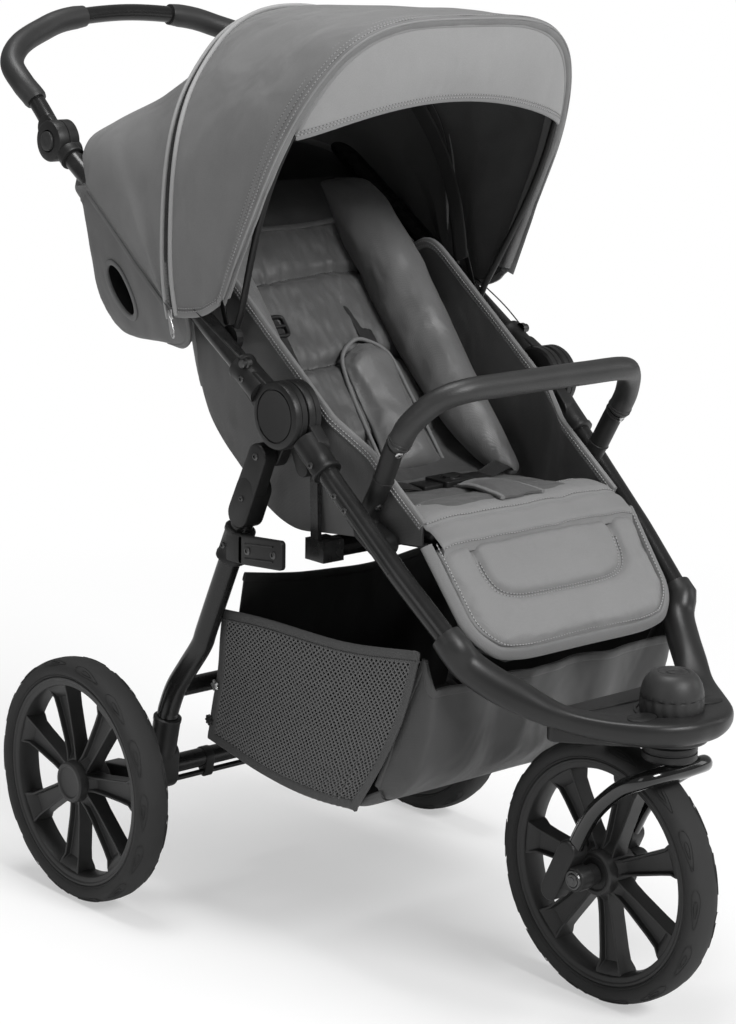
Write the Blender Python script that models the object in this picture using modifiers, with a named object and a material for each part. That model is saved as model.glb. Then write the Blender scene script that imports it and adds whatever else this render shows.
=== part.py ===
"""Three-wheel folding stroller: frame, fold hubs, swivel front wheel, seat, canopy and basket.

Metres, +Z up, +X to the right, -Y to the front. Side-plane points (y, z) are measured from the ground
under the rear axle; at() then moves them so that the origin is the middle of the stroller's floor area.
"""
import math

import bmesh
import bpy
from mathutils import Matrix, Vector

# Gaps and counts of sides
GAP = 0.0003              # between pieces that touch
RUNNING = 0.0004          # round a pin in its bore
WHEEL_STEPS = 36
PIN_SIDES = 12
TUBE_RES = 2              # a curve's bevel resolution: 4 + 2 * 2 = 8 sides

# Wheels
WHEEL_RADIUS = 0.150
TYRE_WIDTH = 0.043
TYRE_DEPTH = 0.0207
TREAD_WIDTH = 0.020
RIM_DEPTH = 0.017
RIM_WIDTH = 0.033
SPOKE_COUNT = 7
REAR_SPOKE_TURN = 20.0    # degrees from straight back to the first spoke
FRONT_SPOKE_TURN = 4.0
SPOKE_OUTER_WIDTH = 0.032
SPOKE_INNER_WIDTH = 0.017
SPOKE_THICKNESS = 0.015
WHEEL_HUB_RADIUS = 0.025
WHEEL_HUB_WIDTH = 0.046
WHEEL_CAP = 0.004         # solid end of a rear wheel's hub
AXLE_RADIUS = 0.005
TRACK = 0.548
WHEELBASE = 0.6155
FRAME_HALF = TRACK / 2 - 0.0671    # half width between the middles of the legs, clear of the wheels

# Fold hubs and the straight tubes that meet there
HUB_Y = -0.292
HUB_Z = 0.636
HUB_RADIUS = 0.0385
HUB_HALF = 0.0190         # thickness of each half of a fold hub
HUB_OUTSIDE = FRAME_HALF + 0.0124  # half width over the two hubs
HUB_PIN_RADIUS = 0.008
TUBE_RADIUS = 0.012
SLEEVE_RADIUS = 0.0165
SLEEVE_START = 0.051
SLEEVE_END = 0.087
FRONT_TUBE_X = FRAME_HALF - 0.0103
FRONT_TUBE_ANGLE = 220.2  # degrees from straight back, turning over the top
FRONT_TUBE_REACH = 0.3190 # hub centre to the nose
NOSE_BEND = 0.085         # the front tubes bend inward this far before the nose
NOSE_BEND_X = FRAME_HALF - 0.0179
NOSE_END_X = FRAME_HALF - 0.0274   # half width where they enter the nose
HANDLE_TUBE_X = FRAME_HALF
HANDLE_TUBE_ANGLE = 32.1
HANDLE_REACH = 0.508      # fold hub centre to handle joint centre

# Nose bridge, swivel and fork
NOSE_RADIUS = 0.0185
NOSE_HEIGHT = 0.3465
NOSE_TIP = 0.1230         # nose tip's centre line ahead of the front axle
PLATFORM_TOP = NOSE_HEIGHT + 0.0065
PLATFORM_THICKNESS = 0.0305
TRAIL = 0.0838            # swivel axis ahead of the front axle
STEM_RADIUS = 0.008
SWIVEL_RADIUS = 0.030
SWIVEL_HEIGHT = 0.0184
FORK_RADIUS = 0.0095
FORK_HALF_WIDTH = 0.045
KNOB_RADIUS = 0.035
KNOB_HEIGHT = 0.045

# Rear legs
LEG_X = FRAME_HALF
LEG_RADIUS = 0.013
LEG_PIVOT_BACK = 0.0303   # behind the fold hub
LEG_PIVOT_DROP = 0.0505   # under the fold hub
LEG_PIN_RADIUS = 0.004
LEG_TAB = 0.008
LEG_KNEE = (-0.146, 0.3394)
LEG_FOOT = (-0.0800, 0.2370)
LEG_CROSS = (-0.0948, 0.2739)
LEG_CROSS_RADIUS = 0.011
HOUSING_HALF = 0.016
BEAM = (-0.0635, 0.1680)
BEAM_RADIUS = 0.0115
BRAKE_ROD_RADIUS = 0.0035
BRACE_LENGTH = 0.098
BRACE_HEIGHT = 0.034
BRACE_RISE = 0.006        # its front end above its root
BRACE_THICKNESS = 0.007
COLLAR_WALL = 0.0032
COLLAR_LENGTH = 0.044
COLLAR_DROP = 0.1225      # from the leg's pivot, along the leg

# Seat and its carrier
SEAT_FRONT = (-0.4680, 0.5080)
SEAT_CREASE = (-0.2430, 0.4900)
SEAT_HALF_WIDTH = FRAME_HALF - 0.0619
SEAT_BOARD = 0.006
SEAT_PAD = 0.030
CARRIER_Y = -0.318
CARRIER_RADIUS = 0.0125
STAY_TOP = (-0.315, 0.578)
STAY_WIDTH = 0.013
STAY_THICKNESS = 0.0055
WALL_THICKNESS = 0.006
WALL_REAR_X = FRAME_HALF - 0.0399
WALL_FRONT_X = FRAME_HALF - 0.0586
BACK_ANGLE = 51.0
BACK_LENGTH = 0.436
BACK_FOOT = 0.0069        # from the crease to the back board's lower edge
BACK_PAD_START = 0.056
BACK_BOARD = 0.005
BACK_PAD = 0.030
BOLSTER = 0.036
FOOT_LENGTH = 0.150
FOOT_ANGLE = 231.5
FOOT_HALF_WIDTH = FRAME_HALF - 0.0449
FOOT_PAD = 0.020
FOOT_BOARD = 0.004

# Bumper bar
BUMPER_X = FRAME_HALF - 0.0369
BUMPER_RADIUS = 0.0135
BUMPER_ARM_RADIUS = 0.0115
BUMPER_FOOT_X = FRAME_HALF - 0.0434  # the arms lean inward to pass the front tubes
BUMPER_FOOT_OUT = FRAME_HALF - 0.0271
BUMPER_JOINT = (-0.443, 0.623)
BUMPER_PIVOT = (-0.457, 0.6135)
BUMPER_FRONT = (-0.4945, 0.6845)

# Handle loop
LOOP_RADIUS = 0.0105
GRIP_RADIUS = 0.0145
GRIP_OVERHANG = 0.0121    # how far the grips reach behind the crossbar's centre line
JOINT_RADIUS = 0.025
JOINT_HALF = 0.0155
LOOP_BACK = 0.1449        # crossbar behind the handle joint
LOOP_RISE = 0.1428        # crossbar above the handle joint
LOOP_HALF_WIDTH = FRAME_HALF + 0.0066
BUTTON_RADIUS = 0.012
BUTTON_PROUD = 0.003
BUTTON_DEPTH = 0.006

# Canopy
CANOPY_FOOT = 0.1321      # fold hub centre to the canopy's pivot, along the handle tube
BOW_RADIUS = 0.004
FRONT_BOW_ANGLE = 116.0
FRONT_BOW_REACH = 0.3980
MID_BOW_ANGLE = 69.5
MID_BOW_REACH = 0.3770
REAR_EDGE_ANGLE = 36.0
REAR_EDGE_REACH = 0.360
BOW_FOOT = FRAME_HALF - 0.0179     # half width of the bows where they start
BOW_BULGE = 0.022
FRONT_SQUARE = 3.8        # how boxy an arch is: 2 for an ellipse, more for squarer shoulders
MID_SQUARE = 2.2
REAR_SQUARE = 6.0
REAR_HALF_WIDTH = FRAME_HALF + 0.0156
COVER_HALF_WIDTH = FRAME_HALF + 0.0133
CLIP_RADIUS = 0.015
CLIP_THICKNESS = 0.009
MID_BOW_FOOT = FRAME_HALF - 0.0164
MID_LUG = (FRAME_HALF - 0.0136, FRAME_HALF - 0.0123)   # the thin plate that carries the middle bow past the front one
FABRIC = 0.002
VISOR_DROP = 0.085

# Basket, each edge from the rear to the front
TRAY_X = FRAME_HALF - 0.0189
TRAY_WALL = 0.004
TRAY_LIP = 0.011
TRAY = [(-0.1450, 0.2220), (-0.1712, 0.2110), (-0.2185, 0.2062), (-0.2722, 0.2040), (-0.3174, 0.2005),
        (-0.3703, 0.2035), (-0.4088, 0.2075), (-0.4480, 0.2250)]
NET_TOP = [(-0.1700, 0.3850), (-0.2517, 0.3908), (-0.3921, 0.3947), (-0.5156, 0.4114)]
NET_LOW = [(-0.1395, 0.2210), (-0.2350, 0.2045), (-0.3174, 0.1985), (-0.4085, 0.2055)]
NET_THICKNESS = 0.002
NET_FLARE = (0.0021, 0.0077)   # how far its top corners lean out, rear and front

# Small parts
BUCKLE_SIZE = (0.046, 0.038, 0.012)
PEDAL_HALF_WIDTH = 0.045
PEDAL_LENGTH = 0.055
PEDAL_THICKNESS = 0.009

SIDES = (("left", -1), ("right", 1))
CROSSBAR_Y = HUB_Y + HANDLE_REACH * math.cos(math.radians(HANDLE_TUBE_ANGLE)) + LOOP_BACK
NOSE_FRONT_Y = -WHEELBASE - NOSE_TIP
SHIFT_Y = -(CROSSBAR_Y + GRIP_OVERHANG - WHEELBASE - WHEEL_RADIUS) / 2


def at(x, y, z):
    return Vector((x, y + SHIFT_Y, z))


def polar(origin, degrees, reach):
    """A side-plane point: 0 degrees is straight back, 90 is up, 180 is straight ahead."""
    a = math.radians(degrees)
    return (origin[0] + reach * math.cos(a), origin[1] + reach * math.sin(a))


def toward(a, b, share):
    return tuple(p + (q - p) * share for p, q in zip(a, b))


HUB = (HUB_Y, HUB_Z)
HANDLE_JOINT = polar(HUB, HANDLE_TUBE_ANGLE, HANDLE_REACH)
FRONT_END = polar(HUB, FRONT_TUBE_ANGLE, FRONT_TUBE_REACH)
LEG_PIVOT = (HUB_Y + LEG_PIVOT_BACK, HUB_Z - LEG_PIVOT_DROP)
CANOPY_PIVOT = polar(HUB, HANDLE_TUBE_ANGLE, CANOPY_FOOT)
LEG_ANGLE = math.degrees(math.atan2(LEG_KNEE[1] - LEG_PIVOT[1], LEG_KNEE[0] - LEG_PIVOT[0]))
COLLAR = polar(LEG_PIVOT, LEG_ANGLE, COLLAR_DROP)
FRONT_AXLE = (-WHEELBASE, WHEEL_RADIUS)
REAR_AXLE = (0.0, WHEEL_RADIUS)
SWIVEL_Y = -WHEELBASE - TRAIL
INNER_HALF = (HUB_OUTSIDE - 2 * HUB_HALF - GAP, HUB_OUTSIDE - HUB_HALF - GAP)
OUTER_HALF = (HUB_OUTSIDE - HUB_HALF, HUB_OUTSIDE)


# Scene and materials


def clear_scene():
    for obj in list(bpy.data.objects):
        bpy.data.objects.remove(obj, do_unlink=True)


def collection(name):
    made = bpy.data.collections.new(name)
    bpy.context.scene.collection.children.link(made)
    return made


def material(name, grey, roughness, metallic=0.0):
    mat = bpy.data.materials.new(name)
    mat.use_nodes = True
    shader = mat.node_tree.nodes["Principled BSDF"]
    shader.inputs["Base Color"].default_value = (grey, grey, grey, 1.0)
    shader.inputs["Roughness"].default_value = roughness
    shader.inputs["Metallic"].default_value = metallic
    mat.diffuse_color = (grey, grey, grey, 1.0)
    return mat


clear_scene()
PARTS = collection("stroller")
HELPERS = collection("cutters")
FINISH = {
    "tube": (0.020, 0.42, 0.3),
    "plastic": (0.030, 0.55, 0.0),
    "tyre": (0.028, 0.75, 0.0),
    "rim": (0.024, 0.45, 0.0),
    "gloss_tube": (0.010, 0.12, 0.2),
    "grip": (0.035, 0.60, 0.0),
    "canopy_fabric": (0.110, 0.85, 0.0),
    "seat_fabric": (0.090, 0.85, 0.0),
    "foot_fabric": (0.220, 0.85, 0.0),
    "dark_fabric": (0.030, 0.90, 0.0),
    "net": (0.045, 0.90, 0.0),
    "steel": (0.450, 0.30, 1.0),
}


# Modelling helpers


def put(name, mesh, finish, pivot=None):
    """A part when it has a finish, or a cutter when it has none."""
    obj = bpy.data.objects.new(name, mesh)
    if finish is None:
        HELPERS.objects.link(obj)
        obj.hide_render = True
        obj.display_type = "WIRE"
        return obj
    PARTS.objects.link(obj)
    mesh.materials.clear()
    mesh.materials.append(material(name, *FINISH[finish]))
    if pivot is not None:
        carry(obj, pivot)
    return obj


def carry(obj, pivot):
    bpy.context.view_layer.update()
    world = obj.matrix_world.copy()
    obj.parent = pivot
    obj.matrix_parent_inverse = pivot.matrix_world.inverted()
    obj.matrix_world = world


def pivot_at(name, x, y, z, parent=None):
    empty = bpy.data.objects.new(name, None)
    empty.empty_display_size = 0.03
    PARTS.objects.link(empty)
    empty.location = at(x, y, z)
    if parent is not None:
        carry(empty, parent)
    bpy.context.view_layer.update()
    return empty


def from_bmesh(name, bm, finish=None, pivot=None):
    bmesh.ops.recalc_face_normals(bm, faces=bm.faces)
    if bm.calc_volume(signed=True) < 0:
        bmesh.ops.reverse_faces(bm, faces=bm.faces)
    mesh = bpy.data.meshes.new(name)
    bm.to_mesh(mesh)
    bm.free()
    return put(name, mesh, finish, pivot)


def hull(name, points, finish=None, pivot=None):
    """The closed solid that a skin stretched over the points makes."""
    bm = bmesh.new()
    for p in points:
        bm.verts.new(p)
    made = bmesh.ops.convex_hull(bm, input=bm.verts)
    spare = [g for g in made["geom_interior"] + made["geom_unused"] if isinstance(g, bmesh.types.BMVert)]
    bmesh.ops.delete(bm, geom=list(set(spare)), context="VERTS")
    bmesh.ops.dissolve_limit(bm, angle_limit=0.001, verts=bm.verts, edges=bm.edges)
    return from_bmesh(name, bm, finish, pivot)


def ring(x, centre, radius, sides=PIN_SIDES):
    turns = [2 * math.pi * (k + 0.5) / sides for k in range(sides)]
    return [at(x, centre[0] + radius * math.cos(t), centre[1] + radius * math.sin(t)) for t in turns]


def plate(name, circles, x0, x1, finish=None, pivot=None, sides=16):
    """A flat plate from x0 to x1, whose outline wraps round the circles (y, z, radius)."""
    points = []
    for y, z, radius in circles:
        points += ring(x0, (y, z), radius, sides) + ring(x1, (y, z), radius, sides)
    return hull(name, points, finish, pivot)


def flat_ring(z, centre, radius, sides=24):
    turns = [2 * math.pi * (k + 0.5) / sides for k in range(sides)]
    return [at(centre[0] + radius * math.cos(t), centre[1] + radius * math.sin(t), z) for t in turns]


def block(name, x, y, z, finish=None, pivot=None):
    """A box from ranges (low, high) along each axis."""
    return hull(name, [at(a, b, c) for a in x for b in y for c in z], finish, pivot)


def cylinder(name, start, end, radius, finish=None, pivot=None, sides=PIN_SIDES):
    axis = end - start
    bm = bmesh.new()
    turn = axis.to_track_quat("Z", "Y").to_matrix().to_4x4() @ Matrix.Rotation(math.pi / sides, 4, "Z")
    place = Matrix.Translation((start + end) / 2) @ turn
    bmesh.ops.create_cone(bm, cap_ends=True, segments=sides, radius1=radius, radius2=radius,
                          depth=axis.length, matrix=place)
    return from_bmesh(name, bm, finish, pivot)


def bore(radius, sides=PIN_SIDES):
    """The corner radius of a faceted bore that clears a pin of this radius."""
    return (radius + RUNNING) / math.cos(math.pi / sides)


def smooth(points, steps=4):
    """Points along a smooth curve through the given ones."""
    ends = [2 * points[0] - points[1]] + list(points) + [2 * points[-1] - points[-2]]
    path = []
    for a, b, c, d in zip(ends, ends[1:], ends[2:], ends[3:]):
        for k in range(steps):
            t = k / steps
            path.append(0.5 * (2 * b + (c - a) * t + (2 * a - 5 * b + 4 * c - d) * t * t
                               + (3 * b - a - 3 * c + d) * t ** 3))
    return path + [points[-1]]


def tube(name, points, radius, finish=None, pivot=None, resolution=TUBE_RES):
    curve = bpy.data.curves.new(name, "CURVE")
    curve.dimensions = "3D"
    curve.bevel_depth = radius
    curve.bevel_resolution = resolution
    curve.use_fill_caps = True
    spline = curve.splines.new("POLY")
    spline.points.add(len(points) - 1)
    for point, place in zip(spline.points, points):
        point.co = (*place, 1.0)
    guide = bpy.data.objects.new(name + "_route", curve)
    HELPERS.objects.link(guide)
    bpy.context.view_layer.update()
    mesh = bpy.data.meshes.new_from_object(guide.evaluated_get(bpy.context.evaluated_depsgraph_get()))
    bpy.data.objects.remove(guide, do_unlink=True)
    bm = bmesh.new()
    bm.from_mesh(mesh)
    bmesh.ops.remove_doubles(bm, verts=bm.verts, dist=0.00005)
    return from_bmesh(name, bm, finish, pivot)


def turned(name, profile, centre, axis, steps, finish=None, pivot=None, ring_shaped=False):
    """A Screw of (radius, height) points, turned about X or Z; a flat faces down on X."""
    mesh = bpy.data.meshes.new(name)
    edges = [(k, k + 1) for k in range(len(profile) - 1)]
    if ring_shaped:
        edges.append((len(profile) - 1, 0))
    mesh.from_pydata([(r, 0, h) for r, h in profile], edges, [])
    obj = put(name, mesh, finish)
    spin = Matrix.Rotation(math.pi / steps, 4, "Z")
    stand = Matrix.Rotation(math.pi / 2, 4, "Y") if axis == "X" else Matrix.Identity(4)
    obj.matrix_world = Matrix.Translation(centre) @ stand @ spin
    screw = obj.modifiers.new("turn", "SCREW")
    screw.steps = screw.render_steps = steps
    screw.use_merge_vertices = True
    screw.merge_threshold = 0.0001
    if pivot is not None:
        carry(obj, pivot)
    return obj


def boolean(obj, other, operation):
    step = obj.modifiers.new(operation.lower(), "BOOLEAN")
    step.operation = operation
    step.object = other
    return obj


def fuse(obj, *others):
    for other in others:
        boolean(obj, other, "UNION")
    return obj


def cut(obj, *others):
    for other in others:
        boolean(obj, other, "DIFFERENCE")
    return obj


def cushion(name, size, cuts, shape, finish, pivot=None):
    """A box of this size, sliced at the cuts (across, along), each corner then moved by shape(u, v, w)."""
    width, length, thickness = size
    bm = bmesh.new()
    bmesh.ops.create_cube(bm, size=1.0)
    for direction, stations in zip((Vector((1, 0, 0)), Vector((0, 1, 0))), cuts):
        for station in stations:
            every = bm.verts[:] + bm.edges[:] + bm.faces[:]
            bmesh.ops.bisect_plane(bm, geom=every, plane_co=direction * station, plane_no=direction)
    for v in bm.verts:
        u, along, up = v.co
        v.co = shape(u * width, along * length, up * thickness)
    return from_bmesh(name, bm, finish, pivot)


def sheet(name, rows, thickness, finish, pivot=None, closed_ends=()):
    """An open skin through rows of points, thickened; closed_ends adds flat side panels."""
    bm = bmesh.new()
    grid = [[bm.verts.new(p) for p in row] for row in rows]
    for low, high in zip(grid, grid[1:]):
        for k in range(len(low) - 1):
            bm.faces.new((low[k], low[k + 1], high[k + 1], high[k]))
    for panel in closed_ends:
        bm.faces.new([bm.verts.new(p) for p in panel])
    bmesh.ops.remove_doubles(bm, verts=bm.verts, dist=0.00005)
    obj = from_bmesh(name, bm, finish, pivot)
    skin = obj.modifiers.new("skin", "SOLIDIFY")
    skin.thickness = thickness
    skin.offset = 0.0
    skin.use_even_offset = True
    return obj


# Pivots, one at each joint

ROOT = pivot_at("frame_origin", 0, -SHIFT_Y, 0)
FRAME_FOLD = pivot_at("frame_fold_axis", 0, *HUB, ROOT)
LEG_FOLD = pivot_at("leg_fold_axis", 0, *LEG_PIVOT, ROOT)
CASTER = pivot_at("caster_axis", 0, SWIVEL_Y, NOSE_HEIGHT, ROOT)
KNOB = pivot_at("knob_axis", 0, SWIVEL_Y, PLATFORM_TOP, ROOT)
FRONT_SPIN = pivot_at("front_wheel_axis", 0, *FRONT_AXLE, CASTER)
REAR_SPIN = {n: pivot_at(f"rear_wheel_{n}_axis", s * TRACK / 2, *REAR_AXLE, LEG_FOLD) for n, s in SIDES}
BUMPER_FOLD = pivot_at("bumper_axis", 0, *BUMPER_PIVOT, ROOT)
FOOTREST = pivot_at("footrest_axis", 0, *SEAT_FRONT, ROOT)
HANDLE_TILT = pivot_at("handle_axis", 0, *HANDLE_JOINT, FRAME_FOLD)
RECLINE = pivot_at("recline_axis", 0, *SEAT_CREASE, FRAME_FOLD)
FRONT_BOW = pivot_at("front_bow_axis", 0, *CANOPY_PIVOT, FRAME_FOLD)
MID_BOW = pivot_at("mid_bow_axis", 0, *CANOPY_PIVOT, FRAME_FOLD)
FRONT_CROWN = polar(CANOPY_PIVOT, FRONT_BOW_ANGLE, FRONT_BOW_REACH)
VISOR = pivot_at("visor_axis", 0, *FRONT_CROWN, FRONT_BOW)


# Wheels


def tyre(name, centre, pivot):
    outer = WHEEL_RADIUS / math.cos(math.pi / WHEEL_STEPS)
    inner = WHEEL_RADIUS - TYRE_DEPTH + GAP
    half = TYRE_WIDTH / 2
    upper = [
        (inner, RIM_WIDTH / 2),
        (inner + 0.25 * TYRE_DEPTH, half),
        (inner + 0.66 * TYRE_DEPTH, half),
        (outer, TREAD_WIDTH / 2),
    ]
    profile = upper + [(r, -h) for r, h in reversed(upper)]
    return turned(name, profile, centre, "X", WHEEL_STEPS, "tyre", pivot, ring_shaped=True)


def rim(name, centre, pivot, cap_side, turn):
    """A rim with trough-wide spokes; cap_side is the side where the bore stays closed, 0 for none."""
    outer = WHEEL_RADIUS - TYRE_DEPTH
    inner = outer - RIM_DEPTH
    half = RIM_WIDTH / 2
    profile = [(inner, half), (outer, half), (outer, -half), (inner, -half)]
    wheel = turned(name, profile, centre, "X", WHEEL_STEPS, "rim", pivot, ring_shaped=True)
    middle = (centre.y - SHIFT_Y, centre.z)
    x = centre.x
    hub = cylinder(name + "_hub", centre - Vector((WHEEL_HUB_WIDTH / 2, 0, 0)),
                   centre + Vector((WHEEL_HUB_WIDTH / 2, 0, 0)), WHEEL_HUB_RADIUS, sides=20)
    fuse(wheel, hub)
    for k in range(SPOKE_COUNT):
        angle = turn + 360 * k / SPOKE_COUNT
        corners = []
        for reach, width in ((WHEEL_HUB_RADIUS - 0.006, SPOKE_INNER_WIDTH), (inner + 0.004, SPOKE_OUTER_WIDTH)):
            for side in (-0.5, 0.5):
                y, z = polar(polar(middle, angle, reach), angle + 90, side * width)
                corners += [at(x - SPOKE_THICKNESS / 2, y, z), at(x + SPOKE_THICKNESS / 2, y, z)]
        fuse(wheel, hull(f"{name}_spoke_{k}", corners))
    reach = WHEEL_HUB_WIDTH / 2 + 0.01
    low = reach if cap_side >= 0 else WHEEL_HUB_WIDTH / 2 - WHEEL_CAP
    high = reach if cap_side <= 0 else WHEEL_HUB_WIDTH / 2 - WHEEL_CAP
    cut(wheel, cylinder(name + "_bore", centre - Vector((low, 0, 0)), centre + Vector((high, 0, 0)),
                        bore(AXLE_RADIUS)))
    return wheel


def wheels():
    front = at(0, *FRONT_AXLE)
    tyre("front_tyre", front, FRONT_SPIN)
    rim("front_rim", front, FRONT_SPIN, 0, FRONT_SPOKE_TURN)
    for name, side in SIDES:
        centre = at(side * TRACK / 2, *REAR_AXLE)
        tyre(f"rear_tyre_{name}", centre, REAR_SPIN[name])
        rim(f"rear_rim_{name}", centre, REAR_SPIN[name], side, REAR_SPOKE_TURN)


# Fold hubs, tubes and the nose


def hub_half(name, side, span, tube_x, angle, extra, pivot=None):
    """Half of a fold hub with the sleeve that holds its tube; extra circles widen its plate."""
    low, high = (side * span[0], side * span[1])
    body = plate(name, [(*HUB, HUB_RADIUS)], low, high, "plastic", pivot or ROOT, sides=20)
    neck = [(*polar(HUB, angle, reach), SLEEVE_RADIUS) for reach in (HUB_RADIUS - SLEEVE_RADIUS, SLEEVE_START)]
    fuse(body, plate(name + "_neck", neck, low, high, sides=12))
    x = side * tube_x
    start, end = polar(HUB, angle, SLEEVE_START), polar(HUB, angle, SLEEVE_END)
    fuse(body, cylinder(name + "_sleeve", at(x, *start), at(x, *end), SLEEVE_RADIUS, sides=PIN_SIDES))
    for k, circles in enumerate(extra):
        fuse(body, plate(f"{name}_lobe_{k}", circles, low, high, sides=12))
    return body


def hubs():
    for name, side in SIDES:
        leg_lobe = [(*HUB, 0.014), (*LEG_PIVOT, 0.014)]
        stay_lug = [(*toward(HUB, STAY_TOP, 0.3), 0.012), (*STAY_TOP, 0.010)]
        inner = hub_half(f"hub_front_{name}", side, INNER_HALF, FRONT_TUBE_X, FRONT_TUBE_ANGLE,
                         [leg_lobe, stay_lug])
        fold_pin = cylinder(f"fold_pin_{name}", at(side * (INNER_HALF[1] - 0.004), *HUB),
                            at(side * (HUB_OUTSIDE - 0.002), *HUB), HUB_PIN_RADIUS)
        leg_pin = cylinder(f"leg_pin_{name}", at(side * (INNER_HALF[1] - 0.004), *LEG_PIVOT),
                           at(side * (OUTER_HALF[0] + LEG_TAB + 0.001), *LEG_PIVOT), LEG_PIN_RADIUS)
        fuse(inner, fold_pin, leg_pin)
        outer = hub_half(f"hub_rear_{name}", side, OUTER_HALF, HANDLE_TUBE_X, HANDLE_TUBE_ANGLE, [],
                         FRAME_FOLD)
        cut(outer, cylinder(f"fold_bore_{name}", at(side * (OUTER_HALF[0] - 0.005), *HUB),
                            at(side * (HUB_OUTSIDE + 0.005), *HUB), bore(HUB_PIN_RADIUS)))


def straight_tubes():
    for name, side in SIDES:
        start = polar(HUB, FRONT_TUBE_ANGLE, SLEEVE_END + GAP)
        bend = polar(HUB, FRONT_TUBE_ANGLE, FRONT_TUBE_REACH - NOSE_BEND)
        clear = polar(HUB, FRONT_TUBE_ANGLE, SLEEVE_END + 0.006)
        route = [at(side * x, *p) for x, p in ((FRONT_TUBE_X, start), (FRONT_TUBE_X, clear),
                                               (NOSE_BEND_X, bend), (NOSE_END_X, FRONT_END))]
        tube(f"front_tube_{name}", route, TUBE_RADIUS, "tube", ROOT)
        low = polar(HUB, HANDLE_TUBE_ANGLE, SLEEVE_END + GAP)
        high = polar(HUB, HANDLE_TUBE_ANGLE, HANDLE_REACH - JOINT_RADIUS - 0.012 - GAP)
        tube(f"handle_tube_{name}", [at(side * HANDLE_TUBE_X, *low), at(side * HANDLE_TUBE_X, *high)],
             TUBE_RADIUS, "tube", FRAME_FOLD)


def nose():
    """The U-shaped bridge that joins the front tubes and holds the swivel."""
    tip = NOSE_FRONT_Y
    wide = NOSE_END_X
    lean = (NOSE_BEND_X - NOSE_END_X) / NOSE_BEND
    start, straight = [(NOSE_END_X - lean * past, polar(HUB, FRONT_TUBE_ANGLE, FRONT_TUBE_REACH + past))
                       for past in (GAP, 0.014)]
    half = [
        at(straight[0], *straight[1]),
        at(0.9164 * wide, tip + 0.1830, NOSE_HEIGHT + 0.0540),
        at(0.8162 * wide, tip + 0.1570, NOSE_HEIGHT + 0.0345),
        at(0.6992 * wide, tip + 0.1265, NOSE_HEIGHT + 0.0195),
        at(0.5571 * wide, tip + 0.0925, NOSE_HEIGHT + 0.0080),
        at(0.4150 * wide, tip + 0.0525, NOSE_HEIGHT + 0.0015),
        at(0.2674 * wide, tip + 0.0175, NOSE_HEIGHT),
        at(0.1170 * wide, tip + 0.0020, NOSE_HEIGHT),
    ]
    mirrored = [Vector((-p.x, p.y, p.z)) for p in reversed(half)]
    route = smooth(half + [at(0, tip, NOSE_HEIGHT)] + mirrored, 2)
    route = [at(start[0], *start[1])] + route + [at(-start[0], *start[1])]
    bridge = tube("nose_bridge", route, NOSE_RADIUS, "plastic", ROOT)
    low = PLATFORM_TOP - PLATFORM_THICKNESS
    rear = SWIVEL_Y + 0.072
    outline = [((0.546 * wide, rear), 0.010), ((-0.546 * wide, rear), 0.010), ((0, SWIVEL_Y - 0.001), 0.036)]
    points = [p for centre, r in outline for z in (low, PLATFORM_TOP) for p in flat_ring(z, centre, r, 16)]
    deck = hull("nose_deck", points)
    boss = cylinder("nose_boss", at(0, SWIVEL_Y, low - 0.003), at(0, SWIVEL_Y, PLATFORM_TOP - 0.004),
                    SWIVEL_RADIUS, sides=24)
    flat = block("nose_flat", (-0.085, 0.085), (tip - 0.03, tip + 0.075), (PLATFORM_TOP + 0.0045, PLATFORM_TOP + 0.04))
    well = cylinder("knob_well", at(0, SWIVEL_Y, PLATFORM_TOP), at(0, SWIVEL_Y, PLATFORM_TOP + 0.03),
                    KNOB_RADIUS + 0.0015, sides=24)
    hole = cylinder("stem_bore", at(0, SWIVEL_Y, low - 0.02), at(0, SWIVEL_Y, PLATFORM_TOP + 0.01),
                    bore(STEM_RADIUS, 16), sides=16)
    cut(fuse(bridge, deck, boss), flat, well, hole)


# Swivel and fork


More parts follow.
